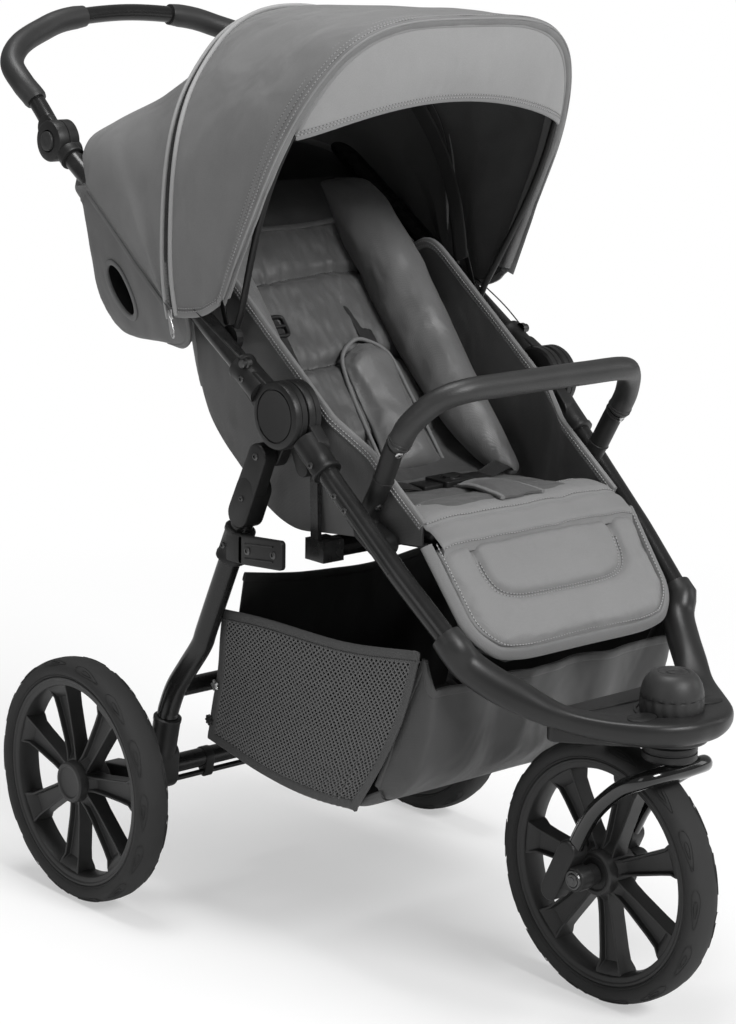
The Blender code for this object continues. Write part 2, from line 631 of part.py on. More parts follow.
def swivel():
    top = PLATFORM_TOP - PLATFORM_THICKNESS - 0.003 - GAP
    bottom = top - SWIVEL_HEIGHT
    housing = cylinder("swivel_stem", at(0, SWIVEL_Y, bottom), at(0, SWIVEL_Y, top), SWIVEL_RADIUS,
                       "plastic", CASTER, sides=24)
    fuse(housing, cylinder("stem_rod", at(0, SWIVEL_Y, bottom + 0.005), at(0, SWIVEL_Y, PLATFORM_TOP - 0.001),
                           STEM_RADIUS, sides=16))
    crown = bottom - GAP - FORK_RADIUS
    y, z = FRONT_AXLE
    half = [
        at(FORK_HALF_WIDTH, y + 0.0100, z + 0.030),
        at(FORK_HALF_WIDTH, y - 0.0060, z + 0.062),
        at(FORK_HALF_WIDTH + 0.001, y - 0.0255, z + 0.089),
        at(FORK_HALF_WIDTH + 0.004, y - 0.0590, z + 0.119),
        at(FORK_HALF_WIDTH + 0.003, y - 0.0890, crown - 0.005),
        at(FORK_HALF_WIDTH - 0.014, y - 0.0990, crown),
    ]
    mirrored = [Vector((-p.x, p.y, p.z)) for p in reversed(half)]
    fork = tube("fork", smooth(half + [at(0, y - 0.1005, crown)] + mirrored, 2), FORK_RADIUS, "gloss_tube", CASTER)
    for name, side in SIDES:
        inside, outside = side * (FORK_HALF_WIDTH - 0.0095), side * (FORK_HALF_WIDTH + 0.0110)
        arm = [(y + 0.0115, z + 0.030, 0.0125), (y + 0.036, z - 0.021, 0.0125)]
        lug = [(y, z, 0.014), (y + 0.028, z - 0.004, 0.013)]
        fuse(fork, plate(f"fork_socket_{name}", arm, inside, outside, sides=12),
             plate(f"fork_lug_{name}", lug, inside, outside, sides=12),
             cylinder(f"fork_boss_{name}", at(side * (WHEEL_HUB_WIDTH / 2 + GAP), y, z), at(outside, y, z), 0.012))
    reach = WHEEL_HUB_WIDTH / 2
    cylinder("front_axle", at(-reach, y, z), at(reach, y, z), AXLE_RADIUS, "steel", CASTER)


def knob():
    top = KNOB_HEIGHT
    profile = [
        (0, top - 0.0015), (0.0165, top - 0.0015), (0.0180, top), (0.0235, top - 0.002),
        (0.0310, top - 0.012), (KNOB_RADIUS, top - 0.024), (KNOB_RADIUS, 0.006), (0.0335, 0.0), (0, 0.0),
    ]
    turned("swivel_knob", profile, at(0, SWIVEL_Y, PLATFORM_TOP + GAP), "Z", 24, "grip", KNOB)


# Rear legs


def rear_legs():
    frame = None
    for name, side in SIDES:
        x = side * LEG_X
        start = polar(LEG_PIVOT, LEG_ANGLE, 0.024)
        route = smooth([at(x, *start), at(x, *toward(start, LEG_KNEE, 0.9)), at(x, *LEG_KNEE),
                        at(x, -0.1200, 0.3066), at(x, -0.0970, 0.2770),
                        at(x, *toward(LEG_FOOT, BEAM, -0.15))], 3)
        route.append(at(x, *LEG_FOOT))
        finish = "tube" if frame is None else None
        leg = tube("rear_leg_frame" if frame is None else "second_leg", route, LEG_RADIUS, finish,
                   LEG_FOLD if frame is None else None)
        frame = fuse(frame, leg) if frame else leg
        tab = [(*LEG_PIVOT, 0.0125), (*polar(LEG_PIVOT, LEG_ANGLE, 0.040), 0.0125)]
        face = (side * OUTER_HALF[0], side * (OUTER_HALF[0] + LEG_TAB))
        cover = [(*polar(LEG_PIVOT, LEG_ANGLE, 0.044), 0.0165), (*polar(LEG_PIVOT, LEG_ANGLE, 0.082), 0.0165)]
        fuse(frame, plate(f"leg_tab_{name}", tab, *face, sides=12),
             plate(f"leg_cover_{name}", cover, x - 0.0135, x + 0.0135, sides=12))
        cut(frame, cylinder(f"leg_bore_{name}", at(side * (LEG_X - 0.017), *LEG_PIVOT),
                            at(side * (LEG_X + 0.033), *LEG_PIVOT), bore(LEG_PIN_RADIUS)))
    cross = at(LEG_X, *LEG_CROSS)
    fuse(frame, cylinder("leg_cross_tube", Vector((-cross.x, cross.y, cross.z)), cross, LEG_CROSS_RADIUS))


def braces():
    """The collar round each leg and the plate that reaches forward from it."""
    for name, side in SIDES:
        x = side * LEG_X
        ends = [polar(COLLAR, LEG_ANGLE, reach * COLLAR_LENGTH) for reach in (-0.5, 0.5)]
        outer = bore(LEG_RADIUS, 12) + COLLAR_WALL
        collar = cylinder(f"leg_brace_{name}", at(x, *ends[0]), at(x, *ends[1]), outer, "plastic", LEG_FOLD)
        root = (COLLAR[0] - LEG_RADIUS - BRACE_HEIGHT / 2, COLLAR[1])
        tip = (COLLAR[0] - BRACE_LENGTH, COLLAR[1] + BRACE_RISE)
        high = x + side * outer
        corner = 0.004
        tall = BRACE_HEIGHT / 2 - corner
        arm = [(y, z + rise, corner) for y, z in (root, tip) for rise in (-tall, tall)]
        fuse(collar, plate(f"brace_arm_{name}", arm, high - side * BRACE_THICKNESS, high, sides=8),
             block(f"brace_root_{name}", (high - side * BRACE_THICKNESS, high),
                   (COLLAR[0] - 0.030, COLLAR[0] - 0.004),
                   (COLLAR[1] - BRACE_HEIGHT / 2, COLLAR[1] + BRACE_HEIGHT / 2)))
        reach = COLLAR_LENGTH
        way = [polar(COLLAR, LEG_ANGLE, -reach), polar(COLLAR, LEG_ANGLE, reach)]
        cut(collar, cylinder(f"collar_bore_{name}", at(x, *way[0]), at(x, *way[1]), bore(LEG_RADIUS, 12)))


def axle_housings():
    for name, side in SIDES:
        x = side * LEG_X
        low, high = x - side * HOUSING_HALF, x + side * HOUSING_HALF
        top, foot = toward(LEG_FOOT, BEAM, GAP / 0.07), toward(LEG_FOOT, BEAM, 0.75)
        body = cylinder(f"axle_housing_{name}", at(x, *top), at(x, *foot), SLEEVE_RADIUS, "plastic", LEG_FOLD, 16)
        fuse(body, plate(f"axle_column_{name}", [(BEAM[0], BEAM[1] - 0.008, 0.018), (*foot, 0.016)], low, high))
        arm = [(BEAM[0], BEAM[1] - 0.010, 0.016), (*REAR_AXLE, 0.015)]
        plate_out = side * (TRACK / 2 - WHEEL_HUB_WIDTH / 2 - GAP)
        fuse(body, plate(f"axle_arm_{name}", arm, high - side * 0.006, plate_out - side * 0.008, sides=12),
             cylinder(f"axle_boss_{name}", at(high, *REAR_AXLE), at(plate_out, *REAR_AXLE), 0.012),
             cylinder(f"axle_stub_{name}", at(high, *REAR_AXLE),
                      at(side * (TRACK / 2 + WHEEL_HUB_WIDTH / 2 - WHEEL_CAP - 0.001), *REAR_AXLE), AXLE_RADIUS))
    half = LEG_X - HOUSING_HALF - GAP
    beam = cylinder("rear_beam", at(-half, *BEAM), at(half, *BEAM), BEAM_RADIUS, "tube", LEG_FOLD, sides=16)
    rod = (BEAM[0] - 0.003, BEAM[1] - BEAM_RADIUS - 0.0065)
    fuse(beam, cylinder("brake_rod", at(-half, *rod), at(half, *rod), BRAKE_ROD_RADIUS, sides=8))
    for k in (-1, 1):
        clip = [(*BEAM, BEAM_RADIUS * 0.8), (*rod, BRAKE_ROD_RADIUS + 0.002)]
        fuse(beam, plate(f"rod_clip_{k + 2}", clip, k * 0.138 - 0.006, k * 0.138 + 0.006, sides=12))


def brake():
    axis = (BEAM[0] + BEAM_RADIUS * math.cos(math.pi / 16) + GAP + 0.008, BEAM[1])
    z = axis[1]
    pivot = pivot_at("brake_axis", 0, *axis, LEG_FOLD)
    tread = [(*axis, 0.008), (axis[0] + PEDAL_LENGTH, z + 0.012, PEDAL_THICKNESS / 2)]
    plate("brake_pedal", tread, -PEDAL_HALF_WIDTH, PEDAL_HALF_WIDTH, "plastic", pivot, sides=12)


# Seat, backrest and footrest


def seat_frame(y):
    """Height of the seat board's underside at y."""
    share = (y - SEAT_CREASE[0]) / (SEAT_FRONT[0] - SEAT_CREASE[0])
    return SEAT_CREASE[1] + share * (SEAT_FRONT[1] - SEAT_CREASE[1])


def carrier():
    """The tube under the seat, hung from the fold hubs by two flat stays."""
    z = seat_frame(CARRIER_Y) - CARRIER_RADIUS * math.cos(math.pi / PIN_SIDES) - GAP - 0.0002
    inner = INNER_HALF[0] - GAP
    ends = at(inner - STAY_THICKNESS / 2, CARRIER_Y, z)
    body = cylinder("seat_carrier", Vector((-ends.x, ends.y, ends.z)), ends, CARRIER_RADIUS, "tube", ROOT)
    for name, side in SIDES:
        stay = [(*STAY_TOP, STAY_WIDTH / 2), (CARRIER_Y, z, STAY_WIDTH / 2)]
        fuse(body, plate(f"stay_{name}", stay, side * inner, side * (inner - STAY_THICKNESS), sides=12),
             block(f"carrier_end_{name}", (side * (inner - 0.030), side * inner),
                   (CARRIER_Y - 0.016, CARRIER_Y + 0.016), (z - 0.013, z + 0.0115)))


def pad_profile(share, channels):
    """1 on the crown of a padded cloth, dipping at each sewn channel."""
    dip = 0.0
    for line in channels:
        dip = max(dip, 1.0 - abs(share - line) / 0.04)
    return 1.0 - 0.45 * max(0.0, dip)


def stations(count, extra=()):
    return sorted({round(-0.5 + k / count, 4) for k in range(1, count)} | set(extra))


def seat():
    slope = math.degrees(math.atan2(SEAT_FRONT[1] - SEAT_CREASE[1], SEAT_FRONT[0] - SEAT_CREASE[0]))
    length = math.dist(SEAT_FRONT, SEAT_CREASE) - 2 * GAP
    rear = SEAT_CREASE[0] - GAP

    def place(x, along, up):
        y, z = polar((rear, SEAT_CREASE[1]), slope, along)
        y, z = polar((y, z), slope - 90, up)
        return at(x, y, z)

    corners = [place(x, a, u) for x in (-SEAT_HALF_WIDTH, SEAT_HALF_WIDTH) for a in (0.0, length)
               for u in (0.0, SEAT_BOARD)]
    hull("seat_board", corners, "plastic", ROOT)

    def shape(x, along, up):
        u, v = x / (2 * SEAT_HALF_WIDTH), along / length
        edge = (1 - (2 * abs(u)) ** 4) * (1 - (2 * abs(v)) ** 6)
        crown = 0.62 + 0.38 * edge * pad_profile(v, (0.18,))
        top = SEAT_BOARD + GAP + SEAT_PAD * (crown if up > 0 else 0.0)
        pulled = 1.0 - 0.02 * (1 - (2 * abs(v)) ** 2)
        return place(x * pulled, along + length / 2, top)

    cushion("seat_pad", (2 * SEAT_HALF_WIDTH, length, SEAT_PAD),
            (stations(6), stations(8, (0.14, 0.18, 0.22))), shape, "seat_fabric", ROOT)


def backrest():
    base = polar(SEAT_CREASE, BACK_ANGLE, BACK_FOOT)

    def place(x, along, up):
        y, z = polar(base, BACK_ANGLE, along)
        y, z = polar((y, z), BACK_ANGLE + 90, up)
        return at(x, y, z)

    corners = [place(x, a, u) for x in (-SEAT_HALF_WIDTH, SEAT_HALF_WIDTH) for a in (0.0, BACK_LENGTH)
               for u in (0.0, BACK_BOARD)]
    hull("back_board", corners, "plastic", RECLINE)
    pad_start = BACK_PAD_START

    def shape(x, along, up):
        u, v = x / (2 * SEAT_HALF_WIDTH), along / (BACK_LENGTH - pad_start)
        edge = 1 - (2 * abs(v)) ** 6
        wing = BOLSTER * max(0.0, (2 * abs(u) - 0.66) / 0.34) * (1 - 0.35 * (2 * abs(u)) ** 8)
        crown = BACK_PAD * (0.60 + 0.40 * edge * pad_profile(v, (-0.12, 0.12))) + wing * (0.45 + 0.55 * edge)
        top = BACK_BOARD + GAP + (crown if up > 0 else 0.0)
        return place(x, along + pad_start + (BACK_LENGTH - pad_start) / 2, top)

    cushion("back_pad", (2 * SEAT_HALF_WIDTH, BACK_LENGTH - pad_start, BACK_PAD),
            (stations(12), stations(8, (-0.16, -0.12, -0.08, 0.08, 0.12, 0.16))), shape, "seat_fabric", RECLINE)


def side_walls():
    """The cloth wing on each side of the seat, from the board up to the bound edge."""
    top_rear, top_front = (-0.124, 0.792), (-0.470, 0.532)
    line = [(-0.071, 0.644), (-0.102, 0.608), (-0.136, 0.578), (-0.172, 0.552), (-0.218, 0.516),
            (-0.270, 0.498), (-0.330, 0.503),
            (-0.375, 0.504), (-0.420, 0.507), (-0.462, 0.511)]
    for name, side in SIDES:
        rows = []
        for y, low in line:
            blend = min(1.0, max(0.0, (-0.33 - y) / 0.045))
            x = side * (WALL_REAR_X + (WALL_FRONT_X - WALL_REAR_X) * blend)
            high = top_rear[1] + (top_front[1] - top_rear[1]) * (y - top_rear[0]) / (top_front[0] - top_rear[0])
            rows.append([at(x, y, low + (high - low) * k / 3) for k in range(4)])
        sheet(f"side_wall_{name}", rows, WALL_THICKNESS, "seat_fabric", ROOT)


def footrest():
    down = FOOT_ANGLE

    def place(x, along, up):
        y, z = polar(polar(SEAT_FRONT, down, along), down - 90, up)
        return at(x, y, z)

    start = 0.0005
    wide = FOOT_HALF_WIDTH - 0.012
    corners = []
    for along, half in ((start, wide), (FOOT_LENGTH - 0.030, wide), (FOOT_LENGTH - 0.006, 0.75 * wide)):
        corners += [place(x, along, u) for x in (-half, half) for u in (0.0, FOOT_BOARD)]
    hull("footrest_board", corners, "plastic", FOOTREST)
    length = FOOT_LENGTH - 0.004

    def shape(x, along, up):
        u, v = x / (2 * FOOT_HALF_WIDTH), along / length + 0.5
        corner = max(0.0, (v - 0.62) / 0.38)
        wide = x * (1.0 - 0.035 * v - 0.25 * corner ** 2.2)
        inner = max(abs(u) / 0.29, (v - 0.42) / 0.36)
        channel = max(0.0, 1.0 - abs(inner - 1.0) / 0.14)
        edge = (1 - (2 * abs(u)) ** 4) * (1 - (2 * abs(v - 0.5)) ** 6)
        crown = 0.45 + 0.55 * edge * (1.0 - 0.4 * channel)
        rise = FOOT_BOARD + GAP + (FOOT_PAD * crown if up > 0 else 0.0)
        return place(wide, along + start + length / 2, rise)

    cushion("footrest_pad", (2 * FOOT_HALF_WIDTH, length, FOOT_PAD),
            (stations(14), stations(10)), shape, "foot_fabric", FOOTREST)


def harness():
    width, depth, height = BUCKLE_SIZE
    y = -0.345
    z = seat_frame(y) + SEAT_BOARD + SEAT_PAD + 0.0022
    buckle = block("harness_buckle", (-width / 2, width / 2), (y - depth / 2, y + depth / 2), (z, z + height),
                   "plastic", ROOT)
    recess = z + height - 0.005
    cut(buckle, cylinder("buckle_recess", at(0, y, recess), at(0, y, z + height + 0.01), bore(0.010), sides=PIN_SIDES))
    pivot = pivot_at("buckle_button_axis", 0, y, z + height, ROOT)
    cylinder("buckle_button", at(0, y, z + height - 0.0015), at(0, y, z + height + 0.0020), 0.010, "steel", pivot)


# Bumper bar


def bumper():
    x = BUMPER_X
    joint, front = BUMPER_JOINT, BUMPER_FRONT
    rise = (front[0] - joint[0], front[1] - joint[1])
    half = [
        at(x, *toward(joint, front, 0.09)),
        at(x - 0.003, joint[0] + 0.32 * rise[0], joint[1] + 0.40 * rise[1]),
        at(x - 0.021, joint[0] + 0.70 * rise[0], joint[1] + 0.80 * rise[1]),
        at(x - 0.050, joint[0] + 1.00 * rise[0], joint[1] + 0.985 * rise[1]),
        at(x - 0.110, joint[0] + 1.06 * rise[0], joint[1] + 1.01 * rise[1]),
    ]
    mirrored = [Vector((-p.x, p.y, p.z)) for p in reversed(half)]
    route = smooth(half + [at(0, front[0] - 0.004, front[1] + 0.001)] + mirrored, 2)
    ends = [at(side * x, *toward(joint, front, GAP / 0.08)) for side in (1, -1)]
    route = [ends[0]] + route + [ends[1]]
    tube("bumper_bar", route, BUMPER_RADIUS, "grip", BUMPER_FOLD)
    for name, side in SIDES:
        s = side * x
        low = side * BUMPER_FOOT_X
        arm_route = smooth([at(s, *toward(joint, front, -0.08)), at((s + low) / 2, joint[0] + 0.029, joint[1] - 0.050),
                            at(low, joint[0] + 0.052, joint[1] - 0.086), at(low, joint[0] + 0.050, joint[1] - 0.105)], 2)
        arm_route = [at(s, *joint)] + arm_route
        arm = tube(f"bumper_arm_{name}", arm_route, BUMPER_ARM_RADIUS, "plastic", ROOT)
        foot = [(joint[0] + 0.050, joint[1] - 0.105, 0.011), (joint[0] + 0.026, joint[1] - 0.116, 0.013)]
        fuse(arm, plate(f"bumper_foot_{name}", foot, side * (BUMPER_FOOT_X - 0.0105), side * BUMPER_FOOT_OUT,
                        sides=12))


# Handle


def loop_points():
    y, z = HANDLE_JOINT
    share = [(0.0, 0.0, FRAME_HALF), (0.170, 0.165, FRAME_HALF - 0.0014), (0.325, 0.330, FRAME_HALF + 0.0011),
             (0.445, 0.450, LOOP_HALF_WIDTH), (0.640, 0.605, FRAME_HALF + 0.0031),
             (0.800, 0.745, FRAME_HALF - 0.0229), (0.925, 0.860, 0.1400), (0.985, 0.955, 0.0900)]
    half = [at(x, y + LOOP_BACK * a, z + LOOP_RISE * b) for a, b, x in share]
    mirrored = [Vector((-p.x, p.y, p.z)) for p in reversed(half)]
    return smooth(half + [at(0, y + LOOP_BACK, z + LOOP_RISE)] + mirrored, 2)


def handle():
    points = loop_points()
    rise = math.degrees(math.atan2(LOOP_RISE, LOOP_BACK))
    near = polar(HANDLE_JOINT, rise, JOINT_RADIUS + 0.001)
    far = [p for p in points if (p - at(p.x, *HANDLE_JOINT)).length > JOINT_RADIUS + 0.006]
    trimmed = [at(far[0].x, *near)] + far + [at(far[-1].x, *near)]
    loop = tube("handle_loop", trimmed, LOOP_RADIUS, "tube", HANDLE_TILT)
    inner = (HANDLE_TUBE_X - JOINT_HALF, HANDLE_TUBE_X - GAP)
    outer = (HANDLE_TUBE_X, HANDLE_TUBE_X + JOINT_HALF)
    for name, side in SIDES:
        span = (side * outer[0], side * outer[1])
        knuckle = [(*HANDLE_JOINT, JOINT_RADIUS), (*polar(HANDLE_JOINT, rise, 0.018), 0.018)]
        fuse(loop, plate(f"knuckle_{name}", knuckle, *span, sides=24))
        face = outer[1]
        cut(loop, cylinder(f"button_bore_{name}", at(side * (face - BUTTON_DEPTH), *HANDLE_JOINT),
                           at(side * (face + 0.02), *HANDLE_JOINT), bore(BUTTON_RADIUS, 16), sides=16))
        pivot = pivot_at(f"button_axis_{name}", side * face, *HANDLE_JOINT, HANDLE_TILT)
        cylinder(f"handle_button_{name}", at(side * (face - BUTTON_DEPTH + BUTTON_PROUD + 0.0005), *HANDLE_JOINT),
                 at(side * (face + BUTTON_PROUD), *HANDLE_JOINT), BUTTON_RADIUS, "plastic", pivot, sides=16)
        low = polar(HANDLE_JOINT, HANDLE_TUBE_ANGLE + 180, JOINT_RADIUS + 0.012)
        joint = plate(f"handle_joint_{name}", [(*HANDLE_JOINT, JOINT_RADIUS)], side * inner[0], side * inner[1],
                      "plastic", FRAME_FOLD, sides=24)
        near = polar(HANDLE_JOINT, HANDLE_TUBE_ANGLE + 180, JOINT_RADIUS + 0.002)
        waist = polar(HANDLE_JOINT, HANDLE_TUBE_ANGLE + 180, JOINT_RADIUS - 0.003)
        fuse(joint, plate(f"joint_neck_{name}", [(*polar(HANDLE_JOINT, HANDLE_TUBE_ANGLE + 180, 0.012), 0.0135),
                                                 (*waist, 0.0135)], side * inner[0], side * inner[1], sides=12),
             cylinder(f"joint_sleeve_{name}", at(side * HANDLE_TUBE_X, *near), at(side * HANDLE_TUBE_X, *low),
                      0.0150))
    for name, side in SIDES:
        part = [p for p in points if p.x * side > 0.064
                and (p - at(p.x, *HANDLE_JOINT)).length > 0.062]
        grip = tube(f"grip_{name}", part, GRIP_RADIUS, "grip", HANDLE_TILT)
        ordered = part if part[0].x * side < part[-1].x * side else part[::-1]
        way = [ordered[0] + (ordered[0] - ordered[1]) * 0.3] + ordered + [ordered[-1] + (ordered[-1] - ordered[-2]) * 0.3]
        cut(grip, tube(f"grip_bore_{name}", way, LOOP_RADIUS + RUNNING + 0.0006))


# Canopy


def arch(angle, reach, bulge, square, out=0.0, count=14, foot=BOW_FOOT, start=0.09):
    """A bow from foot to foot: plane through the canopy's pivot, reach to the crown, rounded shoulders."""
    points = []
    for k in range(count + 1):
        s = math.pi * k / count
        rise = math.sin(s) ** (2 / square)
        wide = abs(math.cos(s)) ** (2 / square)
        swell = math.sin(min(1.0, rise / 0.55) * math.pi / 2)
        x = -math.copysign(1, math.cos(s)) * wide * (foot + 1.3 * out + bulge * swell)
        r = reach * (start + (1 - start) * rise) + out
        points.append(at(x, *polar(CANOPY_PIVOT, angle, r)))
    return points


def canopy():
    front = arch(FRONT_BOW_ANGLE, FRONT_BOW_REACH, BOW_BULGE, FRONT_SQUARE)
    rim = polar(CANOPY_PIVOT, FRONT_BOW_ANGLE, CLIP_RADIUS + GAP)
    front = [at(-BOW_FOOT, *rim)] + front + [at(BOW_FOOT, *rim)]
    tube("canopy_bow_front", front, BOW_RADIUS, "plastic", FRONT_BOW)
    mid = arch(MID_BOW_ANGLE, MID_BOW_REACH, BOW_BULGE, MID_SQUARE, foot=MID_BOW_FOOT, start=0.18)
    bow = tube("canopy_bow_mid", mid, BOW_RADIUS, "plastic", MID_BOW)
    lug = [(*polar(CANOPY_PIVOT, MID_BOW_ANGLE, reach), BOW_RADIUS) for reach in
           (CLIP_RADIUS + BOW_RADIUS + GAP, 0.18 * MID_BOW_REACH + 0.006)]
    fuse(bow, *[plate(f"bow_lug_{name}", lug, side * MID_LUG[0], side * MID_LUG[1], sides=12) for name, side in SIDES])
    over = 1.15 * BOW_RADIUS + FABRIC / 2 + GAP
    rows = []
    for k in range(5):
        share = k / 4
        angle = MID_BOW_ANGLE + 0.5 + (FRONT_BOW_ANGLE - MID_BOW_ANGLE - 0.5) * share
        reach = MID_BOW_REACH + (FRONT_BOW_REACH - MID_BOW_REACH) * share - 0.025 * math.sin(math.pi * share)
        square = MID_SQUARE + (FRONT_SQUARE - MID_SQUARE) * share
        rows.append(arch(angle, reach, BOW_BULGE, square, over, start=0.18 - 0.09 * share))
    sheet("canopy_front_panel", rows, FABRIC, "canopy_fabric", FRONT_BOW)
    rows = []
    for k in range(5):
        share = k / 4
        angle = MID_BOW_ANGLE + (REAR_EDGE_ANGLE - MID_BOW_ANGLE) * share
        reach = MID_BOW_REACH + (REAR_EDGE_REACH - MID_BOW_REACH) * share - 0.030 * math.sin(math.pi * share)
        rear_out = (REAR_HALF_WIDTH - BOW_FOOT - over) * min(1.0, 1.4 * share)
        square = MID_SQUARE + (REAR_SQUARE - MID_SQUARE) * share ** 2
        rows.append(arch(angle, reach, BOW_BULGE * (1 - share), square, over,
                         foot=BOW_FOOT + rear_out, start=0.18 - 0.02 * share))
    sheet("canopy_rear_panel", rows, FABRIC, "canopy_fabric", FRAME_FOLD)


def visor():
    """The brim that hangs from the front bow, bulging a little forward."""
    edge = arch(FRONT_BOW_ANGLE, FRONT_BOW_REACH, BOW_BULGE, FRONT_SQUARE, count=24)
    ahead_y, ahead_z = polar((0.0, 0.0), FRONT_BOW_ANGLE + 90, BOW_RADIUS + FABRIC / 2 + 2 * GAP)
    crown = FRONT_CROWN
    shown = [p for p in edge if p.z > crown[1] - 0.118]
    rows = []
    for k in range(4):
        share = k / 3
        row = []
        for p in shown:
            side = p.x / abs(shown[0].x)
            floor = crown[1] - 0.122 + (0.122 - VISOR_DROP) * (1 - side * side)
            z = p.z + (min(floor, p.z - 0.003) - p.z) * share
            ahead = 0.010 * math.sin(math.pi * share) * (1 - side * side)
            lean = (p.z - z) / math.tan(math.radians(180 - FRONT_BOW_ANGLE)) * 0.55
            row.append(Vector((p.x, p.y + ahead_y + lean - ahead, z + ahead_z)))
        rows.append(row)
    sheet("visor", rows, FABRIC, "canopy_fabric", VISOR)


def canopy_clips():
    for name, side in SIDES:
        x = side * (HANDLE_TUBE_X - TUBE_RADIUS - GAP)
        plate(f"canopy_clip_{name}", [(*CANOPY_PIVOT, CLIP_RADIUS)], x, x - side * CLIP_THICKNESS, "plastic",
              FRAME_FOLD, sides=16)


def back_cover():
    """The cloth that closes the head end: two sides below the handle tubes, a floor and a back."""
    floor = 0.684
    outline = [(-0.060, floor), (0.015, floor - 0.002), (0.052, 0.694), (0.072, 0.728), (0.0775, 0.775),
               (0.0765, 0.812), (0.0735, 0.840)]
    across = [-1.0, -0.5, 0.0, 0.5, 1.0]
    rows = []
    for y, z in outline:
        lift = min(1.0, max(0.0, (z - floor) / 0.17))
        half = SEAT_HALF_WIDTH + 0.041 + (COVER_HALF_WIDTH - SEAT_HALF_WIDTH - 0.041) * lift
        rows.append([at(half * a, y + 0.006 * (1 - a * a), z) for a in across])
    sides = []
    for side in (-1, 1):
        column = 0 if side < 0 else len(across) - 1
        edge = [row[column] for row in rows]
        line = [polar(HUB, HANDLE_TUBE_ANGLE, reach) for reach in (0.420, 0.360, 0.300, 0.240)]
        sides.append((edge, [at(side * COVER_HALF_WIDTH, *p) for p in line]))
    bm = bmesh.new()
    grid = [[bm.verts.new(p) for p in row] for row in rows]
    for low, high in zip(grid, grid[1:]):
        for k in range(len(across) - 1):
            bm.faces.new((low[k], low[k + 1], high[k + 1], high[k]))
    for side, (edge, line) in zip((-1, 1), sides):
        column = 0 if side < 0 else len(across) - 1
        rim_points = [row[column] for row in grid]
        top = [bm.verts.new(p) for p in line]
        bm.faces.new((rim_points[6], top[0], rim_points[5]))
        bm.faces.new((rim_points[5], top[0], top[1], rim_points[4]))
        bm.faces.new((rim_points[4], top[1], rim_points[3]))
        bm.faces.new((rim_points[3], top[1], top[2], rim_points[2]))
        bm.faces.new((rim_points[2], top[2], rim_points[1]))
        bm.faces.new((rim_points[1], top[2], top[3], rim_points[0]))
    cover = from_bmesh("back_cover", bm, "seat_fabric", FRAME_FOLD)
    skin = cover.modifiers.new("skin", "SOLIDIFY")
    skin.thickness = FABRIC
    skin.offset = 0.0


# Basket


def basket():
    columns = [(-TRAY_X, TRAY_LIP), (-TRAY_X, 0.0), (TRAY_X, 0.0), (TRAY_X, TRAY_LIP)]
    rows = [[at(x, y, z + rise) for x, rise in columns] for y, z in TRAY]
    sheet("basket_base", rows, TRAY_WALL, "dark_fabric", ROOT)
    basket_front()
    rear = [(-0.1500, 0.2228), (-0.1720, 0.3200), (-0.1940, 0.4320)]
    width = TRAY_X - 0.007
    rows = [[at(x, y, z - 0.016 * (1 - (x / width) ** 2) * (z - 0.2228) / 0.209) for x in
             (-width, -width / 2, 0, width / 2, width)] for y, z in rear]
    sheet("basket_rear", rows, FABRIC, "dark_fabric", ROOT)
    inside = TRAY_X + (TRAY_WALL + NET_THICKNESS) / 2 + GAP
    for name, side in SIDES:
        rows = []
        for k in range(5):
            share = k / 4
            row = []
            for column, (low, top) in enumerate(zip(NET_LOW, NET_TOP)):
                ahead = column / 3
                y, z = toward(low, top, share)
                bow = (-0.002 - 0.012 * ahead) * 4 * share * (1 - share)
                flare = (NET_FLARE[0] + (NET_FLARE[1] - NET_FLARE[0]) * ahead) * share
                row.append(at(side * (inside + flare), y + bow, z))
            rows.append(row)
        sheet(f"basket_net_{name}", rows, NET_THICKNESS, "net", ROOT)


def basket_front():
    """The solid front cloth, with hanging folds and a flap that turns back at each side."""
    heading = math.atan2(TRAY[-1][1] - TRAY[-2][1], TRAY[-1][0] - TRAY[-2][0])
    start = polar(TRAY[-1], math.degrees(heading), 0.0009)
    front = [start, polar(start, math.degrees(heading), 0.020), (-0.4990, 0.2660), (-0.5200, 0.3150), (-0.5300, 0.3700)]
    half = TRAY_X + 0.001
    across = [k / 5 for k in range(-5, 6)]
    bm = bmesh.new()
    grid = []
    for step, (y, z) in enumerate(front):
        fold = 0.0035 * math.sin(math.pi * step / 4) if step > 1 else 0.0
        grid.append([bm.verts.new(at(half * a, y + fold * math.cos(7 * a + 0.5 * step) * (1 - a ** 4), z)) for a in across])
    for low, high in zip(grid, grid[1:]):
        for k in range(len(across) - 1):
            bm.faces.new((low[k], low[k + 1], high[k + 1], high[k]))
    for column, side in ((0, -1), (-1, 1)):
        edge = [row[column] for row in grid]
        low, mid, corner = [bm.verts.new(at(side * half, y, z)) for y, z in
                            ((-0.4400, 0.2425), (-0.4700, 0.3200), (-0.5140, 0.4040))]
        bm.faces.new((edge[1], edge[2], mid, low))
        bm.faces.new((edge[2], edge[3], mid))
        bm.faces.new((edge[3], edge[4], corner, mid))
    cloth = from_bmesh("basket_front", bm, "dark_fabric", ROOT)
    skin = cloth.modifiers.new("skin", "SOLIDIFY")
    skin.thickness = FABRIC
    skin.offset = 0.0


def main():
    wheels()
    hubs()
    straight_tubes()
    nose()
    swivel()
    knob()
    rear_legs()
    braces()
    axle_housings()
    brake()
    carrier()
    seat()
    backrest()
    side_walls()
    footrest()
    harness()
    bumper()
    handle()
    canopy()
    visor()
    canopy_clips()
    back_cover()
    basket()


main()
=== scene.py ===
"""Looks of the three-wheel pushchair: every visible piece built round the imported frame, in metres."""

import math

import bmesh
import bpy
import numpy as np
from mathutils import Matrix, Vector, noise


